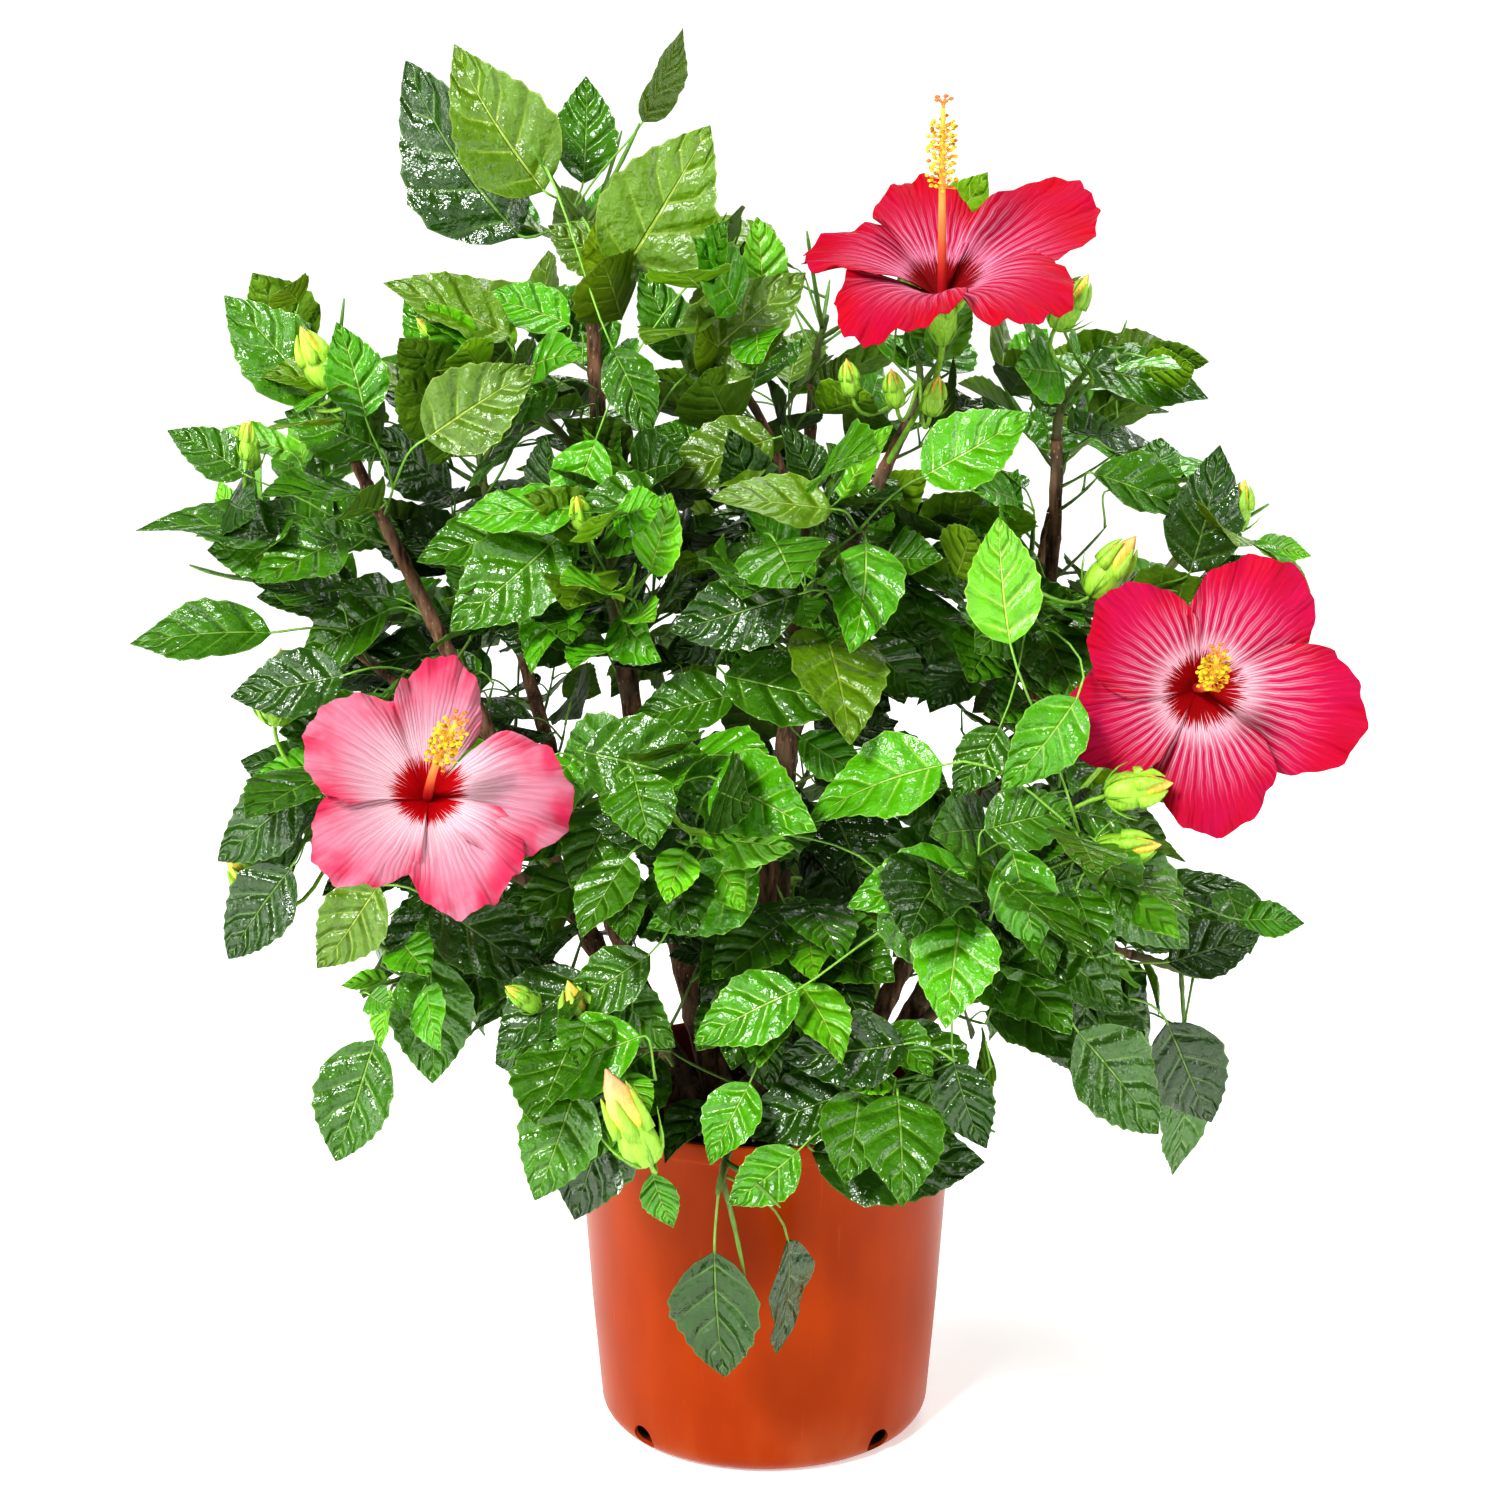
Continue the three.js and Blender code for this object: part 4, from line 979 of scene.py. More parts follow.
    def grow(self) -> None:
        """Grows what the solids hold, and then the finer twigs and the leaves on them."""
        for m, mass in enumerate(MASSES):
            self.grown[m].twigs.append(Twig(self.skeleton.leaders[m], TWIG.leader, 4, 0))
            for curve in self.side_twigs(mass, m):
                if self.is_open(curve.at(np.array((0.25, 0.5, 0.75, 1))), m, ROOM.twig_to_limb):
                    self.grown[m].twigs.append(Twig(curve, TWIG.side, 2, 1))
        self.add_chosen()
        self.add_leaves(FIRST_ROUND, [0] * len(MASSES))
        self.add_buds()
        for m, mass in enumerate(MASSES):
            self.add_fine_twigs(mass, m)
        for number, limb in enumerate(self.skeleton.limbs.values()):
            self.add_spurs(limb, number)
        self.join_stalks()
        for finer in FINER_ROUNDS:
            self.add_leaves(finer, [len(grown.leaves) for grown in self.grown])
        self.thin_out()

    def side_twigs(self, mass: MassPlan, m: int) -> list[Curve]:
        """The curves of the side twigs that leave a mass's leader, turning round it.

        Args:
            mass: the mass's plan.
            m: its number.

        Returns:
            The curves, from the leader's middle up.
        """
        leader = self.skeleton.leaders[m]
        curves = []
        count = math.floor((mass.spread - GROWTH.bare_spread) / GROWTH.spread_per_twig)
        for i in range(count):
            t = 0.45 + (0.42 * i) / count + 0.08 * draw(m, i, 21)
            start, way = leader.at(t), leader.way(t)
            angle = GOLDEN * i * 2 + draw(m, i, 22) + draw(m, 0, 23) * 6
            way = unit(square_to(way, angle) + way * 0.7)
            length = mass.spread * (0.42 + 0.2 * draw(m, i, 24))
            lift = clamp((start[2] - 400) / 300, -0.4, 0.5)
            curves.append(rising(start, way, length, lift * length * 0.4))
        return curves

    def add_fine_twigs(self, mass: MassPlan, m: int) -> None:
        """Adds the finer twigs that leave a mass's leader and its side twigs.

        Args:
            mass: the mass's plan.
            m: its number.
        """
        for t, twig in enumerate(list(self.grown[m].twigs)):
            count = FINE.on_side if t else FINE.on_leader
            for i in range(count):
                share = 0.3 + 0.55 * (i + draw(m, t, i, 61)) / count
                start, way = twig.curve.at(share), twig.curve.way(share)
                angle = GOLDEN * i + 6.3 * draw(m, t, 62)
                way = unit(square_to(way, angle) + way * 0.6 + UP * 0.15)
                length = mass.spread * (0.24 + 0.18 * draw(m, t, i, 63))
                curve = rising(start, way, length, length * 0.12)
                if self.is_open(curve.at(np.array((0.35, 0.7, 1))), m, FINE.twig_to_limb):
                    self.grown[m].twigs.append(Twig(curve, TWIG.fine, 2, 2))

    def add_spurs(self, limb: Limb, number: int) -> None:
        """Adds the short spurs that a limb bears by itself, each in the space of the nearest mass.

        Args:
            limb: the limb.
            number: its number.
        """
        length = limb.curve.length()
        from_share = 0.12 if limb.is_stem else 0.35
        count = int(length * (0.98 - from_share) / FINE.spur_step)
        for i in range(count):
            share = from_share + (0.98 - from_share) * (i + 0.6 * draw(number, i, 64)) / count
            start, way = limb.curve.at(share), limb.curve.way(share)
            angle = GOLDEN * i + 6.3 * draw(number, 65)
            way = unit(square_to(way, angle) + way * 0.4 + UP * 0.2)
            reach = 22 + 34 * draw(number, i, 66)
            curve = rising(start, way, reach, reach * 0.15)
            tip = curve.points[-1]
            power = ((tip - self.hearts) ** 2).sum(1) - self.spreads**2
            m = int(power.argmin())
            if self.is_open(tip[None], m, FINE.twig_to_limb):
                self.grown[m].twigs.append(Twig(curve, TWIG.fine, 2, 3))

    def join_stalks(self) -> None:
        """Joins the stalks of the shown leaves to the twigs that suit them best."""
        shares = np.linspace(0.35, 1, 6)
        twigs = [twig for grown in self.grown for twig in grown.twigs]
        joints = np.vstack([twig.curve.at(shares) for twig in twigs])
        for grown in self.grown:
            for i, leaf in enumerate(grown.leaves):
                if leaf.keys[2] >= CHOSEN_KEY + len(CHOSEN_LEAVES):
                    offsets = leaf.base - joints
                    spans = np.linalg.norm(offsets, axis=1)
                    turned = 1.5 - offsets @ leaf.way / spans
                    best = int((np.maximum(spans, 30) * turned).argmin())
                    twigs[best // len(shares)].kept = True
                    grown.leaves[i] = replace(leaf, point=joints[best])

    def thin_out(self) -> None:
        """Takes off the leaves that would fill the sky, and the fine twigs that bear none."""
        for grown in self.grown:
            grown.leaves = [leaf for leaf in grown.leaves if leaf.keys[2] >= CHOSEN_KEY or not in_sky(leaf)]
            borne = {leaf.keys[1] for leaf in grown.leaves}
            grown.twigs = [
                twig for t, twig in enumerate(grown.twigs) if twig.level < 2 or twig.kept or t in borne
            ]
            for i, leaf in enumerate(grown.leaves):
                if leaf.keys[2] < FINER_ROUNDS[0].shift:
                    grown.leaves[i] = replace(leaf, length=leaf.length * FINE.drawn)

    def add_chosen(self) -> None:
        """Adds the leaves that give the outline and the buds that stand out."""
        shown = tuple(leaf.chosen() for leaf in SHOWN_LEAVES)
        for i, plan in enumerate(CHOSEN_LEAVES + shown):
            m = MASS_NUMBER[plan.on]
            blade = vec(plan.tip) - vec(plan.base)
            length = float(np.linalg.norm(blade))
            point = self.skeleton.leaders[m].at(plan.start)
            keys = (m, 0, CHOSEN_KEY + i)
            leaf = leaf_at(point, vec(plan.base), blade / length, length, vec(plan.faces), keys)
            leaf = replace(leaf, kind=plan.kind)
            self.grown[m].leaves.append(leaf)
            self.take(points_of(leaf))
        for plan in CHOSEN_BUDS:
            m = MASS_NUMBER[plan.on]
            base, tip = vec(plan.base), vec(plan.tip)
            point = self.skeleton.leaders[m].at(plan.start)
            self.grown[m].buds.append(Bud(point, base, tip, plan.opened, plan.girth))
            self.take(np.array((base, tip)))

    def add_leaves(self, turn: LeafRound, held: list[int]) -> None:
        """Lets the masses take turns, a leaf each, from their twigs' tips down.

        Args:
            turn: the round's numbers.
            held: how many of each mass's leaves don't count towards the round's.
        """
        places = []
        for m in range(len(MASSES)):
            found = [p for t, twig in enumerate(self.grown[m].twigs) for p in places_on(twig, t, m)]
            places.append(sorted(found, key=lambda place: place.turn_to_bear))
        for k in range(max(map(len, places))):
            for m, mass in enumerate(MASSES):
                cap = held[m] + math.floor(mass.spread / turn.spread_per_leaf)
                if k >= len(places[m]) or len(self.grown[m].leaves) >= cap:
                    continue
                place = places[m][k]
                if not self.is_open(place.point[None], m, ROOM.root_to_limb):
                    continue
                for attempt in range(turn.tries):
                    leaf = leaf_try(place, k, attempt, turn)
                    points = points_of(leaf)
                    if (
                        self.is_open(points, m, turn.to_limb)
                        and self.is_untaken(points, turn.to_leaf)
                        and self.is_off_twigs(points, m, turn.to_twig)
                    ):
                        self.grown[m].leaves.append(leaf)
                        self.take(points)
                        break

    def add_buds(self) -> None:
        """Adds a bud to some of the twigs' tips."""
        for m, grown in enumerate(self.grown):
            for t, twig in enumerate(grown.twigs):
                point = twig.curve.at(1)
                lean = np.array((draw(m, t, 41) - 0.5, draw(m, t, 42) - 0.5, 0.6))
                way = unit(twig.curve.way(1) + 0.9 * lean)
                size = 0.62 + 0.5 * draw(m, t, 43)
                base = point + way * BUD.stalk * size
                tip = base + way * BUD.length * size
                points = np.array((base, (base + tip) / 2, tip))
                wanted = draw(m, t, 91) < (0.2 if t else 0.5)
                if (
                    wanted
                    and self.is_open(points, m, ROOM.bud_to_limb)
                    and self.is_untaken(points, ROOM.bud_to_leaf)
                ):
                    grown.buds.append(Bud(point, base, tip, draw(m, t, 44) ** 2))


def leaf_at(
    point: np.ndarray,
    base: np.ndarray,
    way: np.ndarray,
    length: float,
    faces: np.ndarray,
    keys: Keys,
    young: bool = False,
) -> Leaf:
    """A leaf, its face square to its blade's way.

    Args:
        point: where it leaves its twig.
        base: its blade's base.
        way: its blade's way.
        length: its blade's length.
        faces: where its upper face looks, roughly.
        keys: what its own small differences are drawn for.
        young: true if it is a small one at a twig's tip.

    Returns:
        The leaf.
    """
    normal = unit(faces - way * (faces @ way))
    return Leaf(point, base, way, normal, cross(way, normal), length, keys, young)


def leaf_try(place: Place, rank: int, attempt: int, turn: LeafRound) -> Leaf:
    """One try at a leaf: its stalk leaves the twig, and its blade hangs out from the stalk's end.

    Args:
        place: where the leaf leaves its twig.
        rank: the place's number among its mass's.
        attempt: the try's number; later ones stray further and are smaller.
        turn: the round's numbers.

    Returns:
        The leaf.
    """

    def d(use: int) -> float:
        """A draw for this try, from -0.5 to 0.5."""
        return draw(*place.keys, rank, attempt + turn.shift, use) - 0.5

    angle = place.turn + d(1) * (0.5 + attempt * 0.28)
    length = LEAF.length * turn.size * place.size * (1 + 0.24 * d(2)) * (1 - 0.018 * attempt)
    stalk_way = unit(square_to(place.way, angle) + place.way * (0.75 + 0.5 * d(3)) + UP * 0.15)
    stalk = length * LEAF.stalk * (1 + 0.5 * d(4)) * (0.7 if place.young else 1) * (1 - 0.02 * attempt)
    base = place.point + stalk_way * stalk
    level = unit(np.array((stalk_way[0], stalk_way[1], 0)) + outwards(place.point) * 0.35)
    rise = mix(-64, 40, clamp((place.point[2] - 230) / 620, 0, 1)) + 24 * stalk_way[2]
    slope = math.radians(rise + (22 if place.young else 0) + (44 + 2 * attempt) * d(5))
    way = unit(level * math.cos(slope) + UP * math.sin(slope))
    light = outwards(place.point) * 0.6 + LIGHT + 0.9 * np.array((d(6), d(7), d(8)))
    keys = (*place.keys, rank + turn.shift)
    return leaf_at(place.point, base, way, length, light, keys, place.young)


def half_width(along: np.ndarray | float) -> np.ndarray | float:
    """Half a blade's width at a share of its length, as a share of its widest."""
    return np.abs(np.sin(np.pi * along**0.68)) ** 0.8 * (1 - 0.18 * along)


TEST_ALONG = np.array((0, 0.24, 0.24, 0.24, 0.44, 0.44, 0.5, 0.64, 0.64, 0.78, 1))
TEST_ASIDE = np.array((0, -1, 0, 1, -1, 1, 0, -1, 1, 0, 0))


def points_of(leaf: Leaf) -> np.ndarray:
    """The points at which a leaf is tested: on its blade and on its stalk.

    Args:
        leaf: the leaf.

    Returns:
        The points, one a row, with the stalk's last.
    """
    half = 0.5 * leaf.length * LEAF.width * half_width(TEST_ALONG)
    rise = LEAF.fold * np.abs(TEST_ASIDE) * half - LEAF.arch * leaf.length * TEST_ALONG**2
    blade = (
        leaf.base
        + leaf.way * (leaf.length * TEST_ALONG)[:, None]
        + leaf.aside * (TEST_ASIDE * half)[:, None]
        + leaf.normal * rise[:, None]
    )
    return np.vstack((blade, leaf.point + (leaf.base - leaf.point) * 0.6))


def in_sky(leaf: Leaf) -> bool:
    """True if a leaf's blade would be seen in a stretch that stays open.

    Args:
        leaf: the leaf.

    Returns:
        True if it would.
    """
    blade = points_of(leaf)[:-1]
    seen = EYE + (blade - EYE) * (-EYE[1] / (blade[:, 1:2] - EYE[1]))
    x, z = seen[:, 0], seen[:, 2]
    return any(
        bool(((x > s.left) & (x < s.right) & (z > s.low) & (z < s.high)).any()) for s in SKIES
    )


def places_on(twig: Twig, t: int, m: int) -> list[Place]:
    """Where leaves leave a twig, from its tip down: close together and small at the tip.

    Args:
        twig: the twig.
        t: its number in its mass.
        m: its mass's number.

    Returns:
        The places.
    """
    found = []
    length = twig.curve.length()
    phase = draw(m, t, 31) * math.pi * 2
    back = 2.0
    rank = 0
    while back < length * (0.85 if t else 0.62):
        at = 1 - back / length
        young = twig.level < 2 and rank < GROWTH.young_leaves
        size = 0.62 + 0.14 * rank if young else 0.84 + 0.05 * min(rank, 5)
        turn = phase + GOLDEN * rank
        turn_to_bear = rank - 2 * (twig.level == 3)
        found.append(Place(twig.curve.at(at), twig.curve.way(at), turn, size, young, (m, t), turn_to_bear))
        back += GROWTH.young_step if young else GROWTH.step
        rank += 1
    return found


# ---------------------------------------------------------------- meshes


def link(name: str, data: bpy.types.ID) -> Piece:
    """A new object in the scene that shows a mesh, a light or a camera.

    Args:
        name: its name.
        data: what it shows.

    Returns:
        The object.
    """
    piece = bpy.data.objects.new(name, data)
    bpy.context.scene.collection.objects.link(piece)
    return piece


def form_piece(name: str, form: Form, smooth: bool = True) -> Piece:
    """A new object in the scene with a form's faces.

    Args:
        name: its name.
        form: the form, which is let go.
        smooth: true if it is shaded smooth.

    Returns:
        The object.
    """
    data = bpy.data.meshes.new(name)
    form.to_mesh(data)
    form.free()
    if smooth:
        data.shade_smooth()
    return link(name, data)


def turned(profile: Sequence[Pair], segments: int) -> Form:
    """A closed form turned from a profile.

    Args:
        profile: the radii and heights of its points, in millimetres, from axis to axis.
        segments: how many steps the turn has.

    Returns:
        The form.
    """
    form = bmesh.new()
    verts = [form.verts.new((r * MM, 0, z * MM)) for r, z in profile]
    edges = [form.edges.new(pair) for pair in zip(verts, verts[1:])]
    bmesh.ops.spin(
        form,
        geom=verts + edges,
        cent=(0, 0, 0),
        axis=(0, 0, 1),
        angle=math.tau,
        steps=segments,
        use_merge=True,
    )
    bmesh.ops.remove_doubles(form, verts=form.verts, dist=1e-5)
    bmesh.ops.recalc_face_normals(form, faces=form.faces)
    return form


def thicken(piece: Piece, thickness: float, under: int) -> None:
    """Gives a sheet its thickness, on the side away from its faces, and even shading.

    Args:
        piece: the sheet.
        thickness: its thickness in millimetres.
        under: by how many material slots the underside's material follows the upper one's.
    """
    shell = piece.modifiers.new("thickness", "SOLIDIFY")
    shell.thickness = thickness * MM
    shell.offset = -1
    shell.material_offset = under
    even = piece.modifiers.new("even", "WEIGHTED_NORMAL")
    even.mode = "FACE_AREA"
    even.weight = 100


@dataclass
class Batch:
    """Many small shapes gathered as arrays, to be joined in one mesh."""

    corners: list[np.ndarray] = field(default_factory=list)
    faces: list[Face] = field(default_factory=list)
    tones: list[np.ndarray] = field(default_factory=list)
    count: int = 0

    def add(self, corners: np.ndarray, faces: Sequence[Face], tone: np.ndarray | float) -> None:
        """Adds one shape: its corners in millimetres, its faces and a tone for each corner.

        Args:
            corners: its corners in millimetres.
            faces: its faces, as numbers of corners.
            tone: a tone for all of it, or one for each corner.
        """
        self.faces.extend(tuple(self.count + i for i in face) for face in faces)
        self.corners.append(corners)
        self.tones.append(np.broadcast_to(np.asarray(tone, float), len(corners)))
        self.count += len(corners)

    def tube(
        self,
        run: np.ndarray,
        radii: np.ndarray,
        sides: int,
        tone: np.ndarray | float = 0.5,
        lobes: Lobes | None = None,
    ) -> None:
        """Adds a closed tube along a run of points.

        Args:
            run: the middles of its rings.
            radii: the radius at each ring.
            sides: how many sides it has.
            tone: a tone for all of it, or one for each ring.
            lobes: a factor on the radius, from the share along and the turn round.
        """
        ways = np.gradient(run, axis=0)
        rings = []
        first, _ = across(unit(ways[0]))
        turn = np.arange(sides) * 2 * np.pi / sides
        for i, (centre, way, radius) in enumerate(zip(run, ways, radii)):
            second = unit(cross(unit(way), first))
            first = cross(second, unit(way))
            reach = np.full(sides, radius)
            if lobes:
                reach = reach * lobes(np.full(sides, i / (len(run) - 1)), turn)
            rings.append(
                centre
                + first * (np.cos(turn) * reach)[:, None]
                + second * (np.sin(turn) * reach)[:, None]
            )
        steps = len(run) - 1
        faces: list[Face] = [tuple(reversed(range(sides)))]
        for i in range(steps):
            for j in range(sides):
                k = (j + 1) % sides
                faces.append((i * sides + j, i * sides + k, (i + 1) * sides + k, (i + 1) * sides + j))
        faces.append(tuple(range(steps * sides, (steps + 1) * sides)))
        tones = np.repeat(np.broadcast_to(np.asarray(tone, float), len(run)), sides)
        self.add(np.vstack(rings), faces, tones)

    def strand(
        self, bends: Sequence[np.ndarray], radii: np.ndarray, sides: int, tone: np.ndarray | float
    ) -> None:
        """Adds a closed tube along a curve, with a ring for each radius.

        Args:
            bends: the curve's three or four points.
            radii: the radius at each ring.
            sides: how many sides it has.
            tone: a tone for all of it, or one for each ring.
        """
        self.tube(Curve(np.array(bends)).at(np.linspace(0, 1, len(radii))), radii, sides, tone)

    def mesh(self, name: str) -> Piece:
        """The gathered shapes as one smooth object, in metres, with the tones on its corners.

        Args:
            name: its name.

        Returns:
            The object.
        """
        data = bpy.data.meshes.new(name)
        data.from_pydata((np.vstack(self.corners) * MM).tolist(), [], self.faces)
        tones = data.attributes.new("tone", "FLOAT", "POINT")
        tones.data.foreach_set("value", np.concatenate(self.tones).astype(np.float32))
        data.shade_smooth()
        return link(name, data)


def small_ball(squash: float) -> tuple[np.ndarray, list[Face]]:
    """A ball of twenty faces, flattened along its Z axis, as corners and faces.

    Args:
        squash: its height as a share of its width.

    Returns:
        Its corners and its faces.
    """
    form = bmesh.new()
    bmesh.ops.create_icosphere(form, subdivisions=1, radius=1)
    bmesh.ops.scale(form, vec=(1, 1, squash), verts=form.verts)
    corners = np.array([tuple(v.co) for v in form.verts])
    faces = [tuple(v.index for v in face.verts) for face in form.faces]
    form.free()
    return corners, faces


def finish_piece(
    piece: Piece,
    materials: Sequence[Material],
    stands_for: Sequence[str] = (),
) -> Piece:
    """Dresses a piece and binds it to the frame.

    Args:
        piece: the piece, in its place.
        materials: its materials, in the order of its material slots.
        stands_for: the frame's nodes that it replaces.

    Returns:
        The piece.
    """
    piece.data.materials.clear()
    for material in materials:
        piece.data.materials.append(material)
    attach(piece, BODY)
    if stands_for:
        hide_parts(*stands_for)
    LOG.info("%s: %d faces", piece.name, len(piece.data.polygons))
    return piece


# ---------------------------------------------------------------- finishes


def tint(code: int) -> Triple:
    """A colour from its usual six-digit code, in linear light."""
    parts = ((code >> shift & 255) / 255 for shift in (16, 8, 0))
    return tuple(c / 12.92 if c <= 0.04045 else ((c + 0.055) / 1.055) ** 2.4 for c in parts)


class Shade:
    """A material under construction, with short ways to add its nodes."""

    def __init__(self, name: str) -> None:
        """Starts an empty material.

        Args:
            name: the material's name.
        """
        self.material = bpy.data.materials.new(name)
        self.material.use_nodes = True
        self.tree = self.material.node_tree
        self.tree.nodes.clear()

    def node(
        self, kind: str, links: dict[int | str, Value] | None = None, **settings: Any
    ) -> bpy.types.ShaderNode:
        """Adds a node, sets its properties and its inputs, which are values or sockets.

        Args:
            kind: the node's kind, without what all kinds start with.
            links: values or sockets for its inputs, by name or number.
            settings: its properties.

        Returns:
            The node.
        """
        made = self.tree.nodes.new("ShaderNode" + kind)
        for key, value in settings.items():
            setattr(made, key, value)
        for key, value in (links or {}).items():
            self.set(made.inputs[key], value)
        return made

    def set(self, socket: Socket, value: Value) -> None:
        """Links a socket to another, or sets its value.

        Args:
            socket: the input.
            value: the value or the socket.
        """
        if isinstance(value, Socket):
            self.tree.links.new(value, socket)
        elif isinstance(value, tuple) and len(value) == 3 and socket.type == "RGBA":
            socket.default_value = (*value, 1)
        else:
            socket.default_value = value

    def math(self, operation: str, a: Value, b: Value = 0.0, c: Value = 0.0) -> Socket:
        """What a sum makes of up to three values."""
        return self.node("Math", {0: a, 1: b, 2: c}, operation=operation).outputs[0]

    def plus(self, a: Value, b: Value) -> Socket:
        """Two values added."""
        return self.math("ADD", a, b)

    def times(self, a: Value, b: Value) -> Socket:
        """Two values multiplied."""
        return self.math("MULTIPLY", a, b)

    def step(self, value: Value, low: float, high: float, start: float = 0, end: float = 1) -> Socket:
        """A smooth step from start at low to end at high."""
        links = {"Value": value, "From Min": low, "From Max": high, "To Min": start, "To Max": end}
        return self.node("MapRange", links, interpolation_type="SMOOTHSTEP").outputs["Result"]

    def blend(self, share: Value, low: Value, high: Value) -> Socket:
        """A mix of two colours.

        Args:
            share: the second colour's share.
            low: the first colour.
            high: the second colour.

        Returns:
            The mixed colour.
        """
        made = self.node("Mix", data_type="RGBA", clamp_factor=True)
        self.set(made.inputs[0], share)
        self.set(made.inputs[6], low)
        self.set(made.inputs[7], high)
        return made.outputs[2]

    def brighten(self, colour: Value, value: Value) -> Socket:
        """A colour made brighter or darker."""
        return self.node("HueSaturation", {"Color": colour, "Value": value}).outputs[0]

    def place(self) -> Socket:
        """The piece's own coordinates in metres."""
        return self.node("TexCoord").outputs["Object"]

    def uv(self) -> tuple[Socket, Socket]:
        """The two coordinates of the piece's own map."""
        split = self.node("SeparateXYZ", {0: self.node("UVMap", uv_map="blade").outputs[0]})
        return split.outputs[0], split.outputs[1]

    def vector(self, x: Value, y: Value) -> Socket:
        """Two values as a flat vector."""
        return self.node("CombineXYZ", {0: x, 1: y}).outputs[0]

    def attribute(self, name: str) -> Socket:
        """A value that the piece's mesh carries."""
        return self.node("Attribute", attribute_name=name).outputs["Fac"]

    def grain(self, place: Value, scale: float, detail: float = 3, roughness: float = 0.5) -> Socket:
        """Cloudy noise from 0 to 1."""
        links = {"Vector": place, "Scale": scale, "Detail": detail, "Roughness": roughness}
        return self.node("TexNoise", links).outputs["Fac"]

    def stretch(self, place: Value, scale: Triple) -> Socket:
        """Coordinates stretched along the axes."""
        return self.node("Mapping", {"Vector": place, "Scale": scale}).outputs[0]

    def bump(self, height: Value, strength: float, distance: float) -> Socket:
        """A normal from a height."""
        links = {"Height": height, "Strength": strength, "Distance": distance}
        return self.node("Bump", links).outputs[0]

    def surface(
        self,
        colour: Value,
        roughness: Value,
        normal: Socket | None = None,
        specular: float = 0.5,
        glow: tuple[float, Value] | None = None,
    ) -> Material:
        """Closes the material.

        Args:
            colour: the base colour.
            roughness: the roughness.
            normal: the normal, if there is relief.
            specular: how much the bare surface mirrors.
            glow: for thin leaves and petals, the share of light that passes through, and its colour.

        Returns:
            The material.
        """
        body = self.node("BsdfPrincipled", {"Base Color": colour, "Roughness": roughness})
        body.inputs["Specular IOR Level"].default_value = specular
        if normal is not None:
            self.set(body.inputs["Normal"], normal)
        shader = body.outputs[0]
        if glow:
            through = self.node("BsdfTranslucent", {"Color": glow[1]})
            mixed = self.node("MixShader", {0: glow[0], 1: shader, 2: through.outputs[0]})
            shader = mixed.outputs[0]
        self.node("OutputMaterial", {"Surface": shader})
        return self.material


@dataclass(frozen=True)
class LeafFinish:
    """The finish of one kind of leaf: the blade, its veins, its underside and the light through it."""

    name: str
    blade: int
    vein: int
    under: int
    through: int
    gloss: float = 0.36
    mirror: float = 0.75
    under_gloss: float = 0.6
    under_mirror: float = 0.2
    veining: float = 0.6  # how clearly the side veins show
    glow: float = 0.14  # the share of light that passes through

    def upper(self) -> Material:
        """The glossy upper face, with a pale midrib, side veins and rim."""
        return self.face(f"leaf_{self.name}", self.blade, self.gloss, self.mirror)

    def lower(self) -> Material:
        """The paler, duller underside, with its veins standing out."""
        return self.face(f"leaf_{self.name}_under", self.under, self.under_gloss, self.under_mirror)

    def face(self, name: str, blade: int, gloss: float, mirror: float) -> Material:
        """One face of the leaf.

        Args:
            name: the material's name.
            blade: the colour between the veins.
            gloss: the roughness.
            mirror: how much the face mirrors.

        Returns:
            The material.
        """
        shade = Shade(name)
        u, v = shade.uv()
        side = shade.math("ABSOLUTE", shade.math("MULTIPLY_ADD", u, 2, -1))
        rows = shade.times(v, BladeForm.veins)
        from_vein = shade.math("ABSOLUTE", shade.math("SUBTRACT", shade.math("FRACT", rows), 0.5))
        fading = shade.step(side, 0.1, 0.95, self.veining, 0.1)
        line = shade.times(shade.step(from_vein, 0.06, 0.015), fading)
        midrib = shade.step(side, 0.045, 0.02, 0, 0.85)
        rim = shade.step(side, 0.955, 1.0, 0, 0.55)
        veins = shade.math("MAXIMUM", shade.math("MAXIMUM", line, midrib), rim)
        place = shade.place()
        mottle = shade.grain(place, 90)
        tone = shade.attribute("tone")
        value = shade.plus(shade.step(mottle, 0.2, 0.8, -0.16, 0.16), tone)
        body = shade.brighten(tint(blade), shade.plus(value, 0.5))
        colour = shade.blend(veins, body, tint(self.vein))
        pillow = shade.math("SUBTRACT", shade.step(from_vein, 0.0, 0.35), midrib)
        puckers = shade.times(shade.grain(place, 120), 1.8)
        normal = shade.bump(shade.plus(pillow, puckers), 1.0, 0.0019)
        roughness = shade.step(mottle, 0.2, 0.8, gloss - 0.06, gloss + 0.08)
        return shade.surface(colour, roughness, normal, mirror, (self.glow, tint(self.through)))


LEAF_FINISHES = {
    DEEP: LeafFinish("deep", 0x284E0A, 0x688E3A, 0x466418, 0x4C7A0C, 0.22),
    GREEN: LeafFinish("green", 0x40760A, 0x84B244, 0x5E8416, 0x6CA610, 0.22),
    BRIGHT: LeafFinish("bright", 0x54A20E, 0xACD65C, 0x729E10, 0x88C810, 0.23),
    OLIVE: LeafFinish("olive", 0x5A8004, 0x9CB640, 0x6C8A06, 0x8AAA06, 0.33),
    YOUNG: LeafFinish("young", 0x6CBC12, 0xC4E45C, 0x90BE1C, 0xA8D81C, 0.34),
}


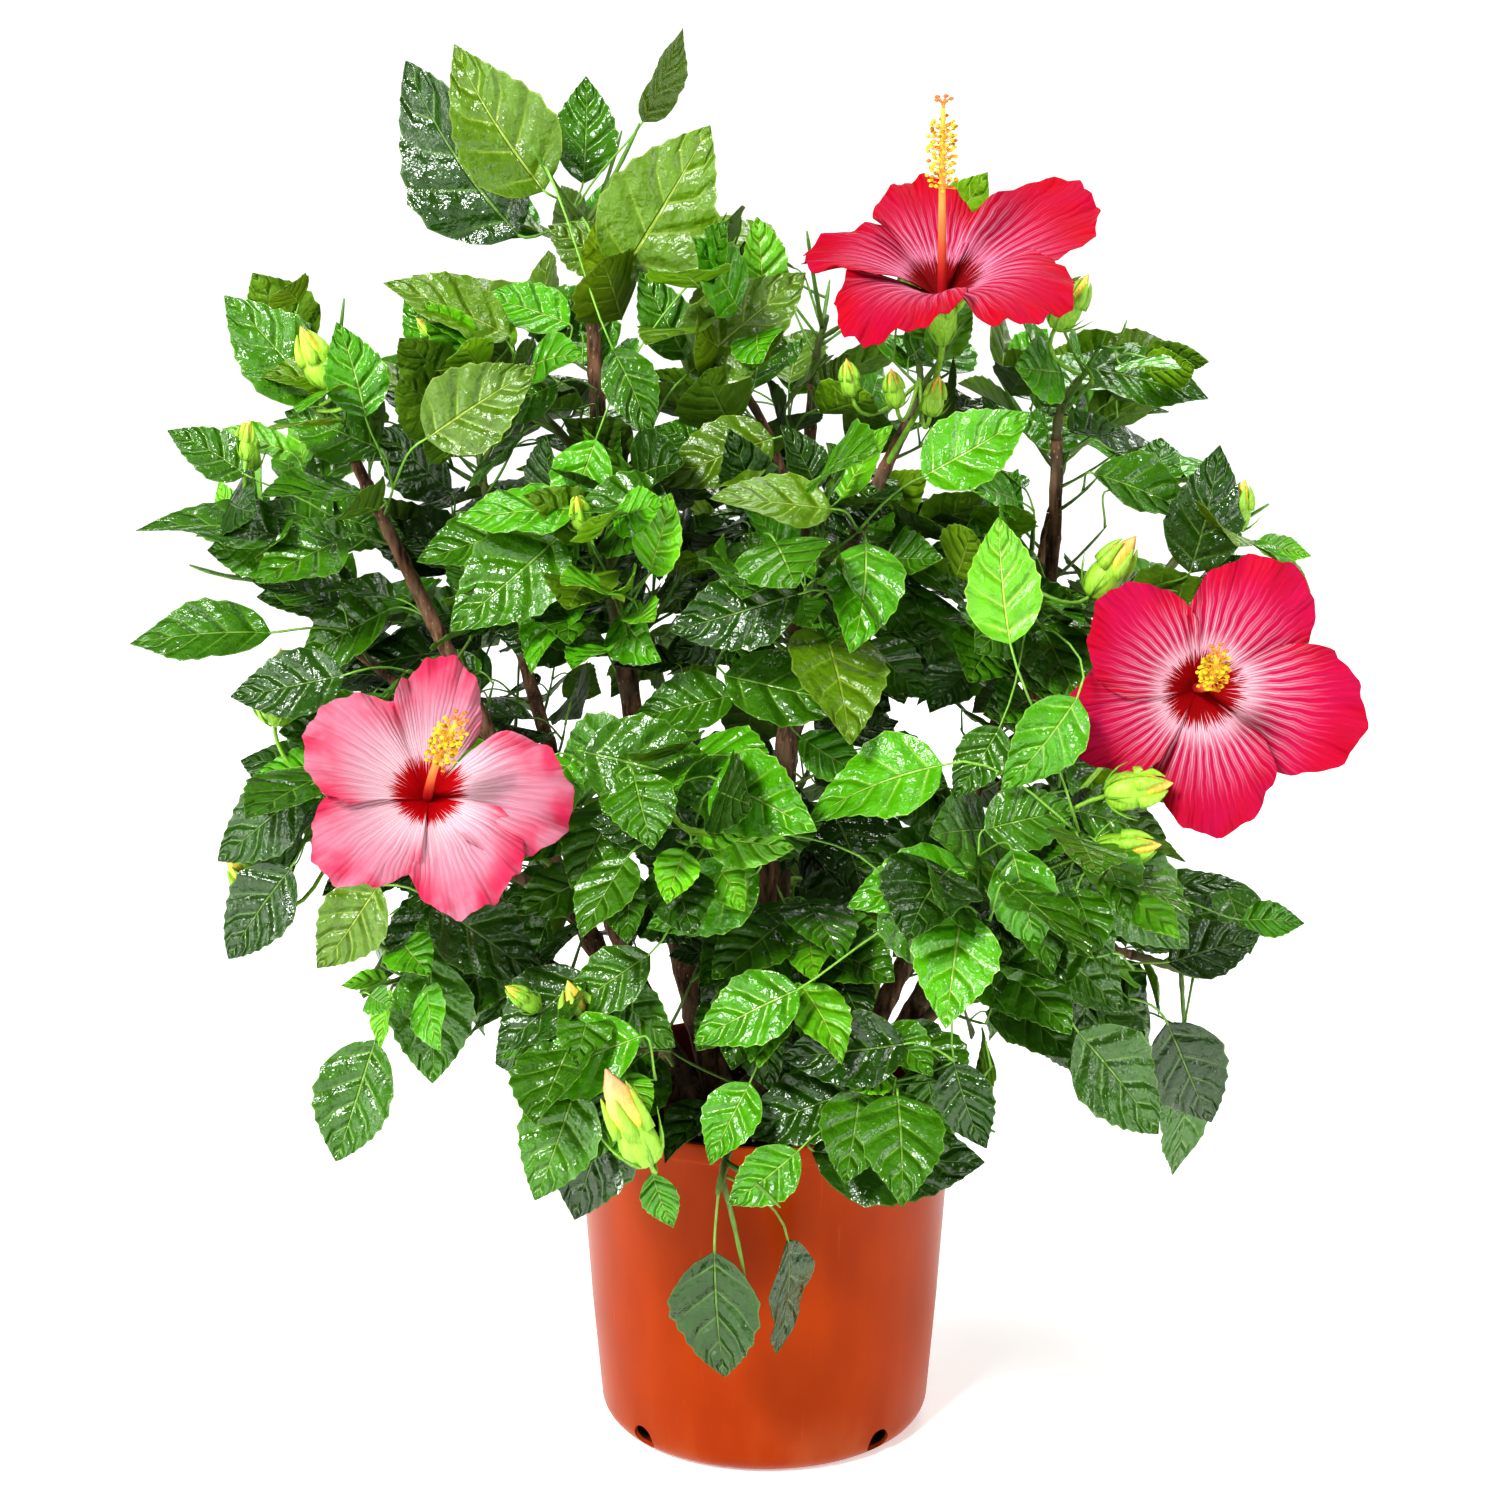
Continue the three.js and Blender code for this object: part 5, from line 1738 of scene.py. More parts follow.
@dataclass(frozen=True)
class PetalFinish:
    """The finish of one bloom's petals: body, edge, the pale flush round the eye, and the eye."""

    name: str
    body: int
    edge: int
    flush: int
    eye: int
    flush_share: float
    flush_reach: float
    through: int

    def material(self) -> Material:
        """Petals with a feathered eye, a pale flush, and pale veins that fan out, fork and fade.

        Returns:
            The material.
        """
        shade = Shade(f"petal_{self.name}")
        u, v = shade.uv()
        edge = shade.attribute("tone")
        place = shade.place()
        fan = shade.vector(shade.times(u, 58), shade.times(v, 2.4))
        rays = shade.grain(fan, 1, 3, 0.6)
        blotch = shade.grain(place, 34)
        feather = shade.plus(v, shade.math("MULTIPLY_ADD", rays, 0.42, -0.21))
        eye = shade.step(feather, 0.262, 0.242)
        wobble = shade.math("MULTIPLY_ADD", shade.grain(place, 60, 2), 0.05, -0.025)
        bent = shade.plus(u, wobble)
        from_vein = self.from_line(shade, bent, 14)
        from_fork = self.from_line(shade, bent, 28)
        vein = shade.times(shade.step(from_vein, 0.17, 0.06), shade.step(v, 0.25, 0.78, 1.0, 0.0))
        fork = shade.times(shade.step(from_fork, 0.2, 0.06), shade.step(v, 0.4, 0.88, 0.36, 0.0))
        patchy = shade.step(rays, 0.3, 0.6, 0.35, 1)
        pale = shade.times(shade.math("MAXIMUM", vein, fork), patchy)
        flush = shade.step(feather, self.flush_reach, 0.26, 0, self.flush_share)
        rim = shade.times(shade.step(edge, 0.5, 1.0), shade.step(blotch, 0.36, 0.6, 0.25, 1))
        colour = shade.blend(rim, tint(self.body), tint(self.edge))
        hairs = shade.times(shade.step(from_fork, 0.36, 0.5), shade.step(v, 0.3, 0.75, 0.05, 0.26))
        colour = shade.blend(hairs, colour, tint(self.edge))
        colour = shade.brighten(colour, shade.step(rays, 0.3, 0.7, 0.9, 1.1))
        colour = shade.blend(shade.math("MAXIMUM", flush, pale), colour, tint(self.flush))
        colour = shade.blend(eye, colour, tint(self.eye))
        height = shade.plus(shade.step(from_fork, 0.0, 0.4), shade.times(rays, 0.8))
        normal = shade.bump(height, 0.6, 0.0008)
        glow = shade.blend(eye, tint(self.through), tint(self.eye))
        return shade.surface(colour, 0.6, normal, 0.12, (0.2, glow))

    @staticmethod
    def from_line(shade: Shade, across_share: Socket, count: int) -> Socket:
        """How far a place lies from the nearest of some even lines: 0 on a line, 0.5 between two."""
        turns = shade.math("FRACT", shade.times(across_share, count))
        return shade.math("ABSOLUTE", shade.math("SUBTRACT", turns, 0.5))


@dataclass(frozen=True)
class GreenFinish:
    """The finish of young wood, stalks and calyces: green, browner or yellower with its tone."""

    name: str
    low: int
    high: int
    roughness: float = 0.5

    def material(self) -> Material:
        """A soft green skin with fine length-wise streaks.

        Returns:
            The material.
        """
        shade = Shade(self.name)
        place = shade.place()
        streaks = shade.grain(shade.stretch(place, (1, 1, 0.25)), 700, 2)
        colour = shade.blend(shade.attribute("tone"), tint(self.low), tint(self.high))
        colour = shade.brighten(colour, shade.step(streaks, 0.25, 0.75, 0.8, 1.2))
        normal = shade.bump(streaks, 0.3, 0.0003)
        return shade.surface(colour, self.roughness, normal)


class BarkFinish:
    """The woody stems' finish: ridged grey-brown bark with pale breathing pores."""

    def material(self) -> Material:
        """Bark in long plates, lighter on its ridges, with scattered pores.

        Returns:
            The material.
        """
        shade = Shade("bark")
        place = shade.place()
        plates = shade.grain(shade.stretch(place, (1, 1, 0.22)), 210, 5, 0.62)
        broad = shade.grain(place, 26)
        colour = shade.blend(shade.step(plates, 0.34, 0.66), tint(0x2E1D12), tint(0x84624A))
        colour = shade.blend(shade.step(broad, 0.45, 0.7, 0, 0.5), colour, tint(0x6E6350))
        cells = shade.node("TexVoronoi", {"Vector": shade.stretch(place, (1, 1, 0.6)), "Scale": 260.0})
        pores = shade.step(cells.outputs["Distance"], 0.2, 0.1, 0, 0.7)
        colour = shade.blend(pores, colour, tint(0xA88A68))
        height = shade.plus(plates, shade.times(pores, 0.35))
        return shade.surface(colour, 0.82, shade.bump(height, 0.8, 0.0012), 0.25)


class PotFinish:
    """The pot's finish: glossy moulded plastic in orange terracotta, faintly clouded and scuffed."""

    def material(self) -> Material:
        """Even plastic with faint clouding, a few upright rub marks and dust near the foot.

        Returns:
            The material.
        """
        shade = Shade("pot_plastic")
        place = shade.place()
        height = shade.node("SeparateXYZ", {0: place}).outputs[2]
        clouds = shade.grain(shade.stretch(place, (1, 1, 0.35)), 22, 4)
        rubs = shade.grain(shade.stretch(place, (1, 1, 0.06)), 260, 3)
        colour = shade.blend(shade.step(clouds, 0.25, 0.75), tint(0x8E3000), tint(0xA03A00))
        marks = shade.step(rubs, 0.66, 0.8, 0, 0.15)
        colour = shade.blend(marks, colour, tint(0xE0703C))
        dust = shade.times(shade.step(height, 0.05, 0.0), shade.step(clouds, 0.4, 0.7, 0, 0.4))
        colour = shade.blend(dust, colour, tint(0x9A6A4A))
        roughness = shade.plus(shade.step(clouds, 0.2, 0.8, 0.27, 0.36), shade.times(marks, 0.5))
        normal = shade.bump(shade.plus(clouds, shade.times(rubs, 0.1)), 0.12, 0.002)
        return shade.surface(colour, roughness, normal, 0.1)


class SoilFinish:
    """The potting mix's finish: dark moist crumbs, and pale perlite and bark chips in it."""

    def crumbs(self) -> Material:
        """The mix itself, from nearly black to dark brown.

        Returns:
            The material.
        """
        shade = Shade("potting_mix")
        place = shade.place()
        coarse = shade.grain(place, 190, 6, 0.7)
        colour = shade.blend(shade.step(coarse, 0.35, 0.7), tint(0x14100C), tint(0x46362A))
        return shade.surface(colour, 0.92, shade.bump(coarse, 1.0, 0.003), 0.2)

    def grains(self, name: str, low: int, high: int) -> Material:
        """Loose grains whose colour goes with their tone.

        Args:
            name: the material's name.
            low: the darkest grain's colour.
            high: the palest grain's colour.

        Returns:
            The material.
        """
        shade = Shade(name)
        colour = shade.blend(shade.attribute("tone"), tint(low), tint(high))
        fine = shade.grain(shade.place(), 900)
        return shade.surface(colour, 0.85, shade.bump(fine, 0.6, 0.0006), 0.2)


class ColumnFinish:
    """The finish of a bloom's column and its anthers."""

    def column(self) -> Material:
        """Red at the root, through orange, to yellow.

        Returns:
            The material.
        """
        shade = Shade("column")
        tone = shade.attribute("tone")
        colour = shade.blend(shade.step(tone, 0.12, 0.5), tint(0xC0182A), tint(0xF0A050))
        colour = shade.blend(shade.step(tone, 0.5, 0.8), colour, tint(0xF2C84A))
        fine = shade.grain(shade.place(), 1200, 2)
        return shade.surface(colour, 0.5, shade.bump(fine, 0.3, 0.0003), 0.4, (0.15, tint(0xF6B060)))

    def anthers(self) -> Material:
        """Powdery grains from ochre to bright yellow.

        Returns:
            The material.
        """
        shade = Shade("anther")
        colour = shade.blend(shade.attribute("tone"), tint(0x9A6A12), tint(0xF8CE30))
        fine = shade.grain(shade.place(), 1500, 2)
        return shade.surface(colour, 0.8, shade.bump(fine, 0.6, 0.0004), 0.2)

    def stigma(self) -> Material:
        """Velvety pads, dull orange-brown.

        Returns:
            The material.
        """
        shade = Shade("stigma")
        fine = shade.grain(shade.place(), 1400, 2)
        colour = shade.blend(fine, tint(0xA8582A), tint(0xD8904A))
        return shade.surface(colour, 0.75, shade.bump(fine, 0.8, 0.0005), 0.2)


# ---------------------------------------------------------------- wood


@dataclass
class Wood:
    """The woody stems and boughs, with bark in relief, and the twigs and leaf stalks."""

    skeleton: Skeleton
    crown: Crown
    ring_step: float = 4.5
    stem_sides: int = 22
    bough_sides: int = 14
    marks: int = 160  # the points of its curve that the bark's relief is measured from
    relief: float = 0.085  # of the limb's radius
    sunk: float = 2  # how far a stem goes on below the soil's level
    knot_every: float = 34
    knot_rise: float = 0.16
    knot_half: float = 3.2  # half a knot's length
    twig_rings: Sequence[int] = (15, 11, 8, 7)  # by how fine the twig is
    twig_sides: Sequence[int] = (8, 6, 5, 5)
    twig_tones: Sequence[float] = (0.05, 0.5, 0.8, 0.4)
    twig_sway: float = 1.6

    def build(self) -> None:
        """Builds every limb, the twigs and the leaf stalks."""
        bark = BarkFinish().material()
        for number, limb in enumerate(self.skeleton.limbs.values()):
            piece = self.limb(limb, number)
            finish_piece(piece, [bark], [limb.name])
        skin = GreenFinish("twig_skin", 0x4A3420, 0x5C8A2C, 0.6).material()
        finish_piece(self.twigs(), [skin], FOLIAGE_NODES)
        stalks = GreenFinish("leaf_stalk_skin", 0x5E8A2A, 0x86BC46, 0.45).material()
        finish_piece(self.leaf_stalks(), [stalks])

    def limb(self, limb: Limb, number: int) -> Piece:
        """One limb: a ring carried along its curve, swollen at knots, with ridged bark.

        Args:
            limb: the stem or bough.
            number: its number.

        Returns:
            The limb's object.
        """
        length = limb.curve.length()
        steps = max(12, round(length / self.ring_step))
        sides = self.stem_sides if limb.is_stem else self.bough_sides
        form = bmesh.new()
        ring = bmesh.ops.create_circle(form, cap_ends=True, radius=1, segments=sides)["verts"]
        edges = [edge for edge in form.edges if len(edge.link_faces) == 1]
        start = 0.0
        if limb.is_stem:
            foot, head = limb.curve.points[0][2], limb.curve.points[-1][2]
            start = (SOIL_TOP - self.sunk - foot) / (head - foot)
        shares = np.linspace(start, 1, steps + 1)
        frame = self.frame_at(limb, shares[0], None)
        bmesh.ops.transform(form, matrix=frame, verts=ring)
        for share in shares[1:]:
            raised = bmesh.ops.extrude_edge_only(form, edges=edges)["geom"]
            edges = [item for item in raised if isinstance(item, bmesh.types.BMEdge)]
            moved = [item for item in raised if isinstance(item, bmesh.types.BMVert)]
            following = self.frame_at(limb, share, frame)
            bmesh.ops.transform(form, matrix=following @ frame.inverted(), verts=moved)
            frame = following
        bmesh.ops.edgeloop_fill(form, edges=edges)
        self.roughen(form, limb, length, number)
        bmesh.ops.recalc_face_normals(form, faces=form.faces)
        return form_piece(f"bark_{limb.name}", form)

    @staticmethod
    def frame_at(limb: Limb, share: float, last: Matrix | None) -> Matrix:
        """The place, turn and size of a limb's ring, in metres, carried on from the last one.

        Args:
            limb: the limb.
            share: the ring's place along it.
            last: the last ring's frame, if there is one.

        Returns:
            The frame.
        """
        way = Vector(limb.curve.way(share))
        aside = last.col[0].to_3d() if last else Vector(across(np.array(way))[0])
        second = way.cross(aside).normalized()
        first = second.cross(way)
        radius = limb.radius_at(share) * MM
        turn = Matrix((first * radius, second * radius, way * radius)).transposed().to_4x4()
        return Matrix.Translation(Vector(limb.curve.at(share)) * MM) @ turn

    def roughen(self, form: Form, limb: Limb, length: float, number: int) -> None:
        """Pushes the bark out in ridges, and swells the limb at its knots.

        Args:
            form: the limb's form, in metres.
            limb: the limb.
            length: its length in millimetres.
            number: its number, which makes its bark its own.
        """
        run = limb.curve.at(np.linspace(0, 1, self.marks)) * MM
        phase = draw(number, 71) * self.knot_every
        for vert in form.verts:
            offsets = run - np.array(vert.co)
            nearest = int((offsets**2).sum(1).argmin())
            share = nearest / (self.marks - 1)
            out = Vector(-offsets[nearest])
            if out.length < 1e-5:
                continue
            around = vert.co * 1000
            ridges = noise.noise(Vector((around.x * 0.33, around.y * 0.33, around.z * 0.05 + number)))
            lumps = noise.noise(vert.co * 110)
            along = (share * length + phase) % self.knot_every
            knot = math.exp(-(((along - self.knot_every / 2) / self.knot_half) ** 2))
            vert.co += out * (self.relief * (ridges * 1.3 + lumps * 0.8) + self.knot_rise * knot)

    def twigs(self) -> Piece:
        """Every twig, joined: swollen at even steps along it, brown at the root and green at the tip.

        Returns:
            The twigs' object.
        """
        batch = Batch()
        for m, grown in enumerate(self.crown.grown):
            for t, twig in enumerate(grown.twigs):
                rings = self.twig_rings[twig.level]
                shares = np.linspace(0, 1, rings)
                radii = twig.radius * (1 - TWIG.taper * shares)
                radii = radii * (1 + 0.14 * np.cos(shares * rings * 2.1 + t))
                radii[-1] *= 0.5
                run = twig.curve.at(shares)
                sway = np.sin(shares * math.pi) * self.twig_sway
                run = run + np.outer(sway, (draw(m, t, 72) - 0.5, draw(m, t, 73) - 0.5, 0))
                tone = np.clip(self.twig_tones[twig.level] + 0.6 * shares, 0, 1)
                batch.tube(run, radii, self.twig_sides[twig.level], tone)
        return batch.mesh("twigs")

    def leaf_stalks(self) -> Piece:
        """Every leaf's stalk, joined: it leaves its twig, bends and meets its blade's base.

        Returns:
            The stalks' object.
        """
        batch = Batch()
        for grown in self.crown.grown:
            for leaf in grown.leaves:
                span = math.dist(leaf.point, leaf.base)
                sag = UP * span * 0.12
                bends = (
                    leaf.point,
                    leaf.point + (leaf.base - leaf.point) * 0.38 + sag,
                    leaf.base - leaf.way * span * 0.28 + sag * 0.4,
                    leaf.base + leaf.way * 1.5,
                )
                radius = 0.95 * (leaf.length / LEAF.length) ** 0.5
                radii = radius * np.array((1.35, 1.05, 1, 0.95, 0.95, 1.0, 0.85))
                batch.strand(bends, radii, 5, 0.2 + 0.7 * draw(*leaf.keys, 74))
        return batch.mesh("leaf_stalks")


# ---------------------------------------------------------------- leaves


class BladeForm:
    """The one form that every blade shares: toothed, folded and pillowed between its side veins."""

    rows = 20
    veins = 5
    sides = (-1.0, -0.5, 0.0, 0.5, 1.0)
    slant = 0.9  # how far the side veins run forward on their way to the rim
    tooth = 0.042

    def __init__(self) -> None:
        """Lays out the corners as shares along and aside, and the faces between them."""
        rows = np.insert(np.arange(1, self.rows) / self.rows, 0, 0.4 / self.rows)
        wide = len(self.sides)
        self.share = np.array((0.0, *np.repeat(rows, wide), 1.0))
        self.aside = np.array((0.0, *np.tile(self.sides, len(rows)), 0.0))
        self.along = self.share + self.slant * np.abs(self.aside) * self.share**0.75 * (1 - self.share)
        edge = np.abs(self.aside) == 1
        odd = np.array((0, *np.repeat(np.arange(len(rows)) % 2, wide), 0)) == 1
        self.teeth = edge * np.where(odd, 1, -1) * ease(0.2, 0.4, self.along)
        ridge = np.cos(2 * np.pi * self.share * self.veins)
        self.pillow = 0.008 * ridge * (np.abs(self.aside) == 0.5) - 0.004 * (self.aside == 0)
        self.faces = self.lay_faces()
        self.map = np.column_stack(((self.aside + 1) / 2, self.share))

    def lay_faces(self) -> list[Face]:
        """A fan at the base, strips up the blade, and a fan at the tip.

        Returns:
            The faces, as numbers of corners.
        """
        wide = len(self.sides)
        faces: list[Face] = [(0, i + 2, i + 1) for i in range(wide - 1)]
        for row in range(self.rows - 1):
            low = 1 + row * wide
            for i in range(wide - 1):
                faces.append((low + i, low + i + 1, low + wide + i + 1, low + wide + i))
        low = 1 + (self.rows - 1) * wide
        tip = low + wide
        faces.extend((low + i, low + i + 1, tip) for i in range(wide - 1))
        return faces

    def corners(self, leaf: Leaf) -> np.ndarray:
        """A leaf's own corners: its outline, fold, arch, twist, lean and wavy rim differ a little.

        Args:
            leaf: the leaf.

        Returns:
            Its corners in millimetres, one a row.
        """

        def d(use: int) -> float:
            """A draw for this leaf, from -0.5 to 0.5."""
            return draw(*leaf.keys, use) - 0.5

        along = np.clip(self.along + 0.008 * self.teeth, 0, 1)
        full = 0.78 + 0.1 * d(88)
        slim = 0.88 if leaf.young or leaf.keys[2] >= CHOSEN_KEY else 1
        width = LEAF.width * (1.0 + 0.14 * d(81)) * slim
        outline = np.abs(np.sin(np.pi * along**full)) ** (0.87 + 0.12 * d(89)) * (1 - 0.06 * along)
        half = 0.5 * width * outline * (1 + self.tooth * self.teeth)
        side = self.aside
        fold = LEAF.fold + 0.34 * d(82)
        rise = fold * np.abs(side) ** 1.3 * half
        rise = rise - (LEAF.arch + 0.2 * d(83)) * along**2
        wave = np.sin(2 * np.pi * (along * (1.5 + 1.4 * d(84)) + d(85) + 0.3 * np.sign(side)))
        rise = rise + 0.034 * side**2 * wave * np.sin(np.pi * along)
        rise = rise + self.pillow * (1 + d(90))
        lean = 0.16 * d(86) * along**2
        twist = 1.0 * d(87) * along
        flat = side * half
        shift = flat * np.cos(twist) - rise * np.sin(twist) + lean
        lift = flat * np.sin(twist) + rise * np.cos(twist)
        return (
            leaf.base
            + leaf.way * (along * leaf.length)[:, None]
            + leaf.aside * (shift * leaf.length)[:, None]
            + leaf.normal * (lift * leaf.length)[:, None]
        )


@dataclass
class Foliage:
    """The leaves of the whole crown, in one piece for each kind."""

    crown: Crown
    thickness: float = 0.5
    high: float = 690  # above this height the leaves are dealt the paler kinds most often, partly as painted light
    middle: float = 430  # below it they are dealt darker kinds again, as painted shade low in the crown
    inside: float = 120  # as near as this to the crown's axis they are dealt the darkest kinds, as painted shade inside the crown,
    behind: float = 60  # and as far back as this

    def build(self) -> None:
        """Deals the leaves out to their kinds and builds each kind's piece."""
        form = BladeForm()
        dealt: dict[LeafKind, list[Leaf]] = {kind: [] for kind in LeafKind}
        for grown in self.crown.grown:
            for leaf in grown.leaves:
                dealt[self.kind_of(leaf)].append(leaf)
        for kind, leaves in dealt.items():
            self.piece(kind, leaves, form)

    def kind_of(self, leaf: Leaf) -> LeafKind:
        """The kind that a leaf's spray is dealt, by its height and how far out it is: darker inside, behind
        and low down as painted shade, paler at the top partly as painted light.

        Args:
            leaf: the leaf.

        Returns:
            The kind.
        """
        if leaf.kind:
            return leaf.kind
        spray = draw(*leaf.keys[:2], 95)
        if leaf.young and draw(*leaf.keys, 96) < 0.4:
            return YOUNG
        height = leaf.base[2]
        out = math.hypot(leaf.base[0], leaf.base[1])
        # dealing by place paints shade inside the crown, at its back and low down, and partly paints light at
        # its top
        if height > self.high:
            shares = (0.05, 0.3, 0.6, 1.0)
        elif out < self.inside or leaf.base[1] > self.behind:
            shares = (0.5, 0.85, 0.97, 1.0)
        elif height > self.middle:
            shares = (0.2, 0.62, 0.9, 1.0)
        else:
            shares = (0.26, 0.72, 1.0, 1.0)
        kinds = (DEEP, GREEN, BRIGHT, OLIVE)
        choice = 0.6 * spray + 0.4 * draw(*leaf.keys, 97)
        return next(kind for kind, share in zip(kinds, shares) if choice <= share)

    def piece(self, kind: LeafKind, leaves: list[Leaf], form: BladeForm) -> None:
        """One kind's leaves as one mesh, given their thickness and a paler underside.

        Args:
            kind: the kind.
            leaves: its leaves.
            form: the blades' form.
        """
        batch = Batch()
        for leaf in leaves:
            batch.add(form.corners(leaf), form.faces, 0.5 + 0.36 * (draw(*leaf.keys, 98) - 0.5))
        name = f"leaves_{kind.value}"
        piece = batch.mesh(name)
        layer = piece.data.uv_layers.new(name="blade")
        corners = np.array([i for face in form.faces for i in face])
        layer.uv.foreach_set("vector", np.tile(form.map[corners], (len(leaves), 1)).ravel())
        thicken(piece, self.thickness, 1)
        finish = LEAF_FINISHES[kind]
        finish_piece(piece, [finish.upper(), finish.lower()], FOLIAGE_NODES)


# ---------------------------------------------------------------- blooms


@dataclass(frozen=True)
class Petal:
    """One petal: the way it points in its bloom, its length, and how it curls and ruffles."""

    turn: float  # degrees from the right, seen from in front
    length: float = 1.0
    curl: float = 0.0  # how far the tip bends back, in millimetres
    ruffle: float = 1.0
    width: float = 1.0
    rounding: float = 0.42


@dataclass
class Bloom:
    """An open bloom: five petals, a column with anthers and stigmas, a calyx and a stalk."""

    plan: BloomPlan
    petals: tuple[Petal, ...]
    finish: PetalFinish
    slot: str
    column_bend: Pair  # how far its tip is bent to the right and up
    seed: int
    column: float = 72
    cells_wide: int = 44
    cells_long: int = 26
    fan: float = 42  # degrees from a petal's middle to its side
    thickness: float = 0.35
    anthers: int = 100
    anthers_from: float = 0.54  # the share of the column where the anthers start
    anthers_over: float = 0.36

    def __post_init__(self) -> None:
        """Sets up the bloom's own directions: right, up and the way it faces."""
        self.faces = unit(vec(self.plan.faces))
        right = np.array((1.0, 0.0, 0.0))
        self.right = unit(right - self.faces * (right @ self.faces))
        self.up = cross(self.faces, self.right)
        self.throat = vec(self.plan.throat)

    def to_world(self, local: np.ndarray) -> np.ndarray:
        """Points given as right, up and forward of the throat, in the plant's place."""
        return self.throat + local @ np.array((self.right, self.up, self.faces))

    def petal_form(
        self, petal: Petal, number: int, u: np.ndarray, v: np.ndarray
    ) -> tuple[np.ndarray, np.ndarray]:
        """The surface of a petal: rays that fan out from its claw to a rounded, ragged, ruffled margin.

        Args:
            petal: the petal.
            number: which of the five it is.
            u: the shares aside, from -1 to 1.
            v: the shares along a ray, from 0 to 1.

        Returns:
            The points, right, up and forward of the throat, and how far out they lie, as shares.
        """

        def wave(waves: float, use: int) -> np.ndarray:
            """Waves along the margin, from -1 to 1."""
            return np.sin(waves * u + draw(self.seed, number, use) * 2 * math.pi)

        reach = BLOOM.reach * 0.97 * petal.length
        ray = u * math.radians(self.fan) * petal.width
        margin = 1 - petal.rounding * np.abs(u) ** 2.3
        margin = margin * (1 + 0.024 * wave(6, 1) + 0.014 * wave(17, 2) + 0.007 * wave(37, 3))
        side = (1 - v) * 3.0 * u + v * margin * reach * np.sin(ray)
        out = 1.5 + v * margin * reach * np.cos(ray)
        far = np.hypot(side, out) / reach
        h = -BLOOM.depth * np.abs(1 - np.minimum(far, 1)) ** 2.3 + 3
        h = h - petal.curl * np.clip(far - 0.45, 0, 1) ** 2 / 0.3
        h = h + 4.6 * u * v**1.2 + 5.0 * u * u * v * (1 - 0.7 * v)
        strength = petal.ruffle * v**2.2 * (0.35 + 0.65 * np.abs(u))
        h = h + strength * 4.4 * np.sin(4.6 * u + 1.8 * v + draw(self.seed, number, 4) * 6.3)
        h = h + strength * 2.6 * np.sin(10.5 * u - 2.5 * v + draw(self.seed, number, 5) * 6.3)
        h = h + petal.ruffle * ease(0.72, 1, v) * (1.9 * wave(17, 6) + 1.0 * wave(34, 7))
        h = h + 0.3 * wave(40, 8) * np.sin(np.pi * v) * (1 - u * u)
        angle = math.radians(petal.turn)
        points = np.column_stack(
            (
                out * math.cos(angle) - side * math.sin(angle),
                out * math.sin(angle) + side * math.cos(angle),
                h,
            )
        )
        return points, far

    def petal_mesh(self) -> Piece:
        """The five petals: a grid for each, shaped and joined.

        Returns:
            The petals' object.
        """
        form = bmesh.new()
        layer = form.loops.layers.uv.new("blade")
        edge = form.verts.layers.float.new("tone")
        for number, petal in enumerate(self.petals):
            grid = bmesh.ops.create_grid(
                form, x_segments=self.cells_wide, y_segments=self.cells_long, size=1, calc_uvs=True
            )["verts"]
            flat = np.array([tuple(vert.co) for vert in grid])
            u, v = flat[:, 0], (flat[:, 1] + 1) / 2
            local, far = self.petal_form(petal, number, u, v)
            shaped = self.to_world(local) * MM
            for vert, co, across_share, along_share, far_share in zip(grid, shaped, u, v, far):
                vert.co = co
                vert[edge] = along_share
                for loop in vert.link_loops:
                    loop[layer].uv = ((across_share + 1) / 2, far_share)
        piece = form_piece(f"petals_{self.finish.name}", form)
        thicken(piece, self.thickness, 0)
        return piece

    def column_curve(self) -> Curve:
        """The column's own line, from the throat's bottom to its tip.

        Returns:
            The curve.
        """
        bend_right, bend_up = self.column_bend
        tip = (bend_right, bend_up, self.column - 7)
        middle = (0.15 * bend_right, 0.15 * bend_up, self.column * 0.45)
        return Curve(self.to_world(np.array(((0, 0, -BLOOM.depth), middle, tip), float)))

    def add_column(self, columns: Batch, anthers: Batch, stigmas: Batch) -> None:
        """Adds the column, its filaments and anthers, and its five stigmas.

        Args:
            columns: takes the column, filaments and styles.
            anthers: takes the anthers.
            stigmas: takes the stigmas.
        """
        curve = self.column_curve()
        shares = np.linspace(0, 1, 16)
        radii = BLOOM.column_radius * (1.25 - 0.75 * shares)
        columns.tube(curve.at(shares), radii, 10, 0.05 + 0.8 * shares)
        ball, faces = small_ball(0.8)
        for i in range(self.anthers):
            share = self.anthers_from + self.anthers_over * (i / self.anthers)
            start, way = curve.at(share), curve.way(share)
            radial = square_to(way, GOLDEN * i)
            length = (6.0 + 3.6 * draw(self.seed, i, 11)) * (1 - 0.25 * (share - self.anthers_from))
            bend = start + radial * length * 0.6 + way * 0.6
            end = start + radial * length + way * (1.5 + 2.5 * draw(self.seed, i, 12))
            columns.strand((start, bend, end), np.array((0.36, 0.28, 0.25, 0.22)), 3, 0.8)
            tone = 0.15 if draw(self.seed, i, 13) < 0.3 else 0.6 + 0.4 * draw(self.seed, i, 14)
            size = 1.3 + 0.4 * draw(self.seed, i, 15)
            anthers.add(end + ball * size, faces, tone)
        top, way = curve.at(1.0), curve.way(1.0)
        for i in range(5):
            end = top + square_to(way, 2 * math.pi * i / 5 + self.seed) * 4.6 + way * 5.5
            radii = np.array((0.8, 0.7, 0.62, 0.6, 0.6))
            columns.strand((top - way * 2, top + way * 4.5, end), radii, 5, 0.45)
            stigmas.add(end + ball * (1.9, 1.9, 1.6), faces, 0.5)

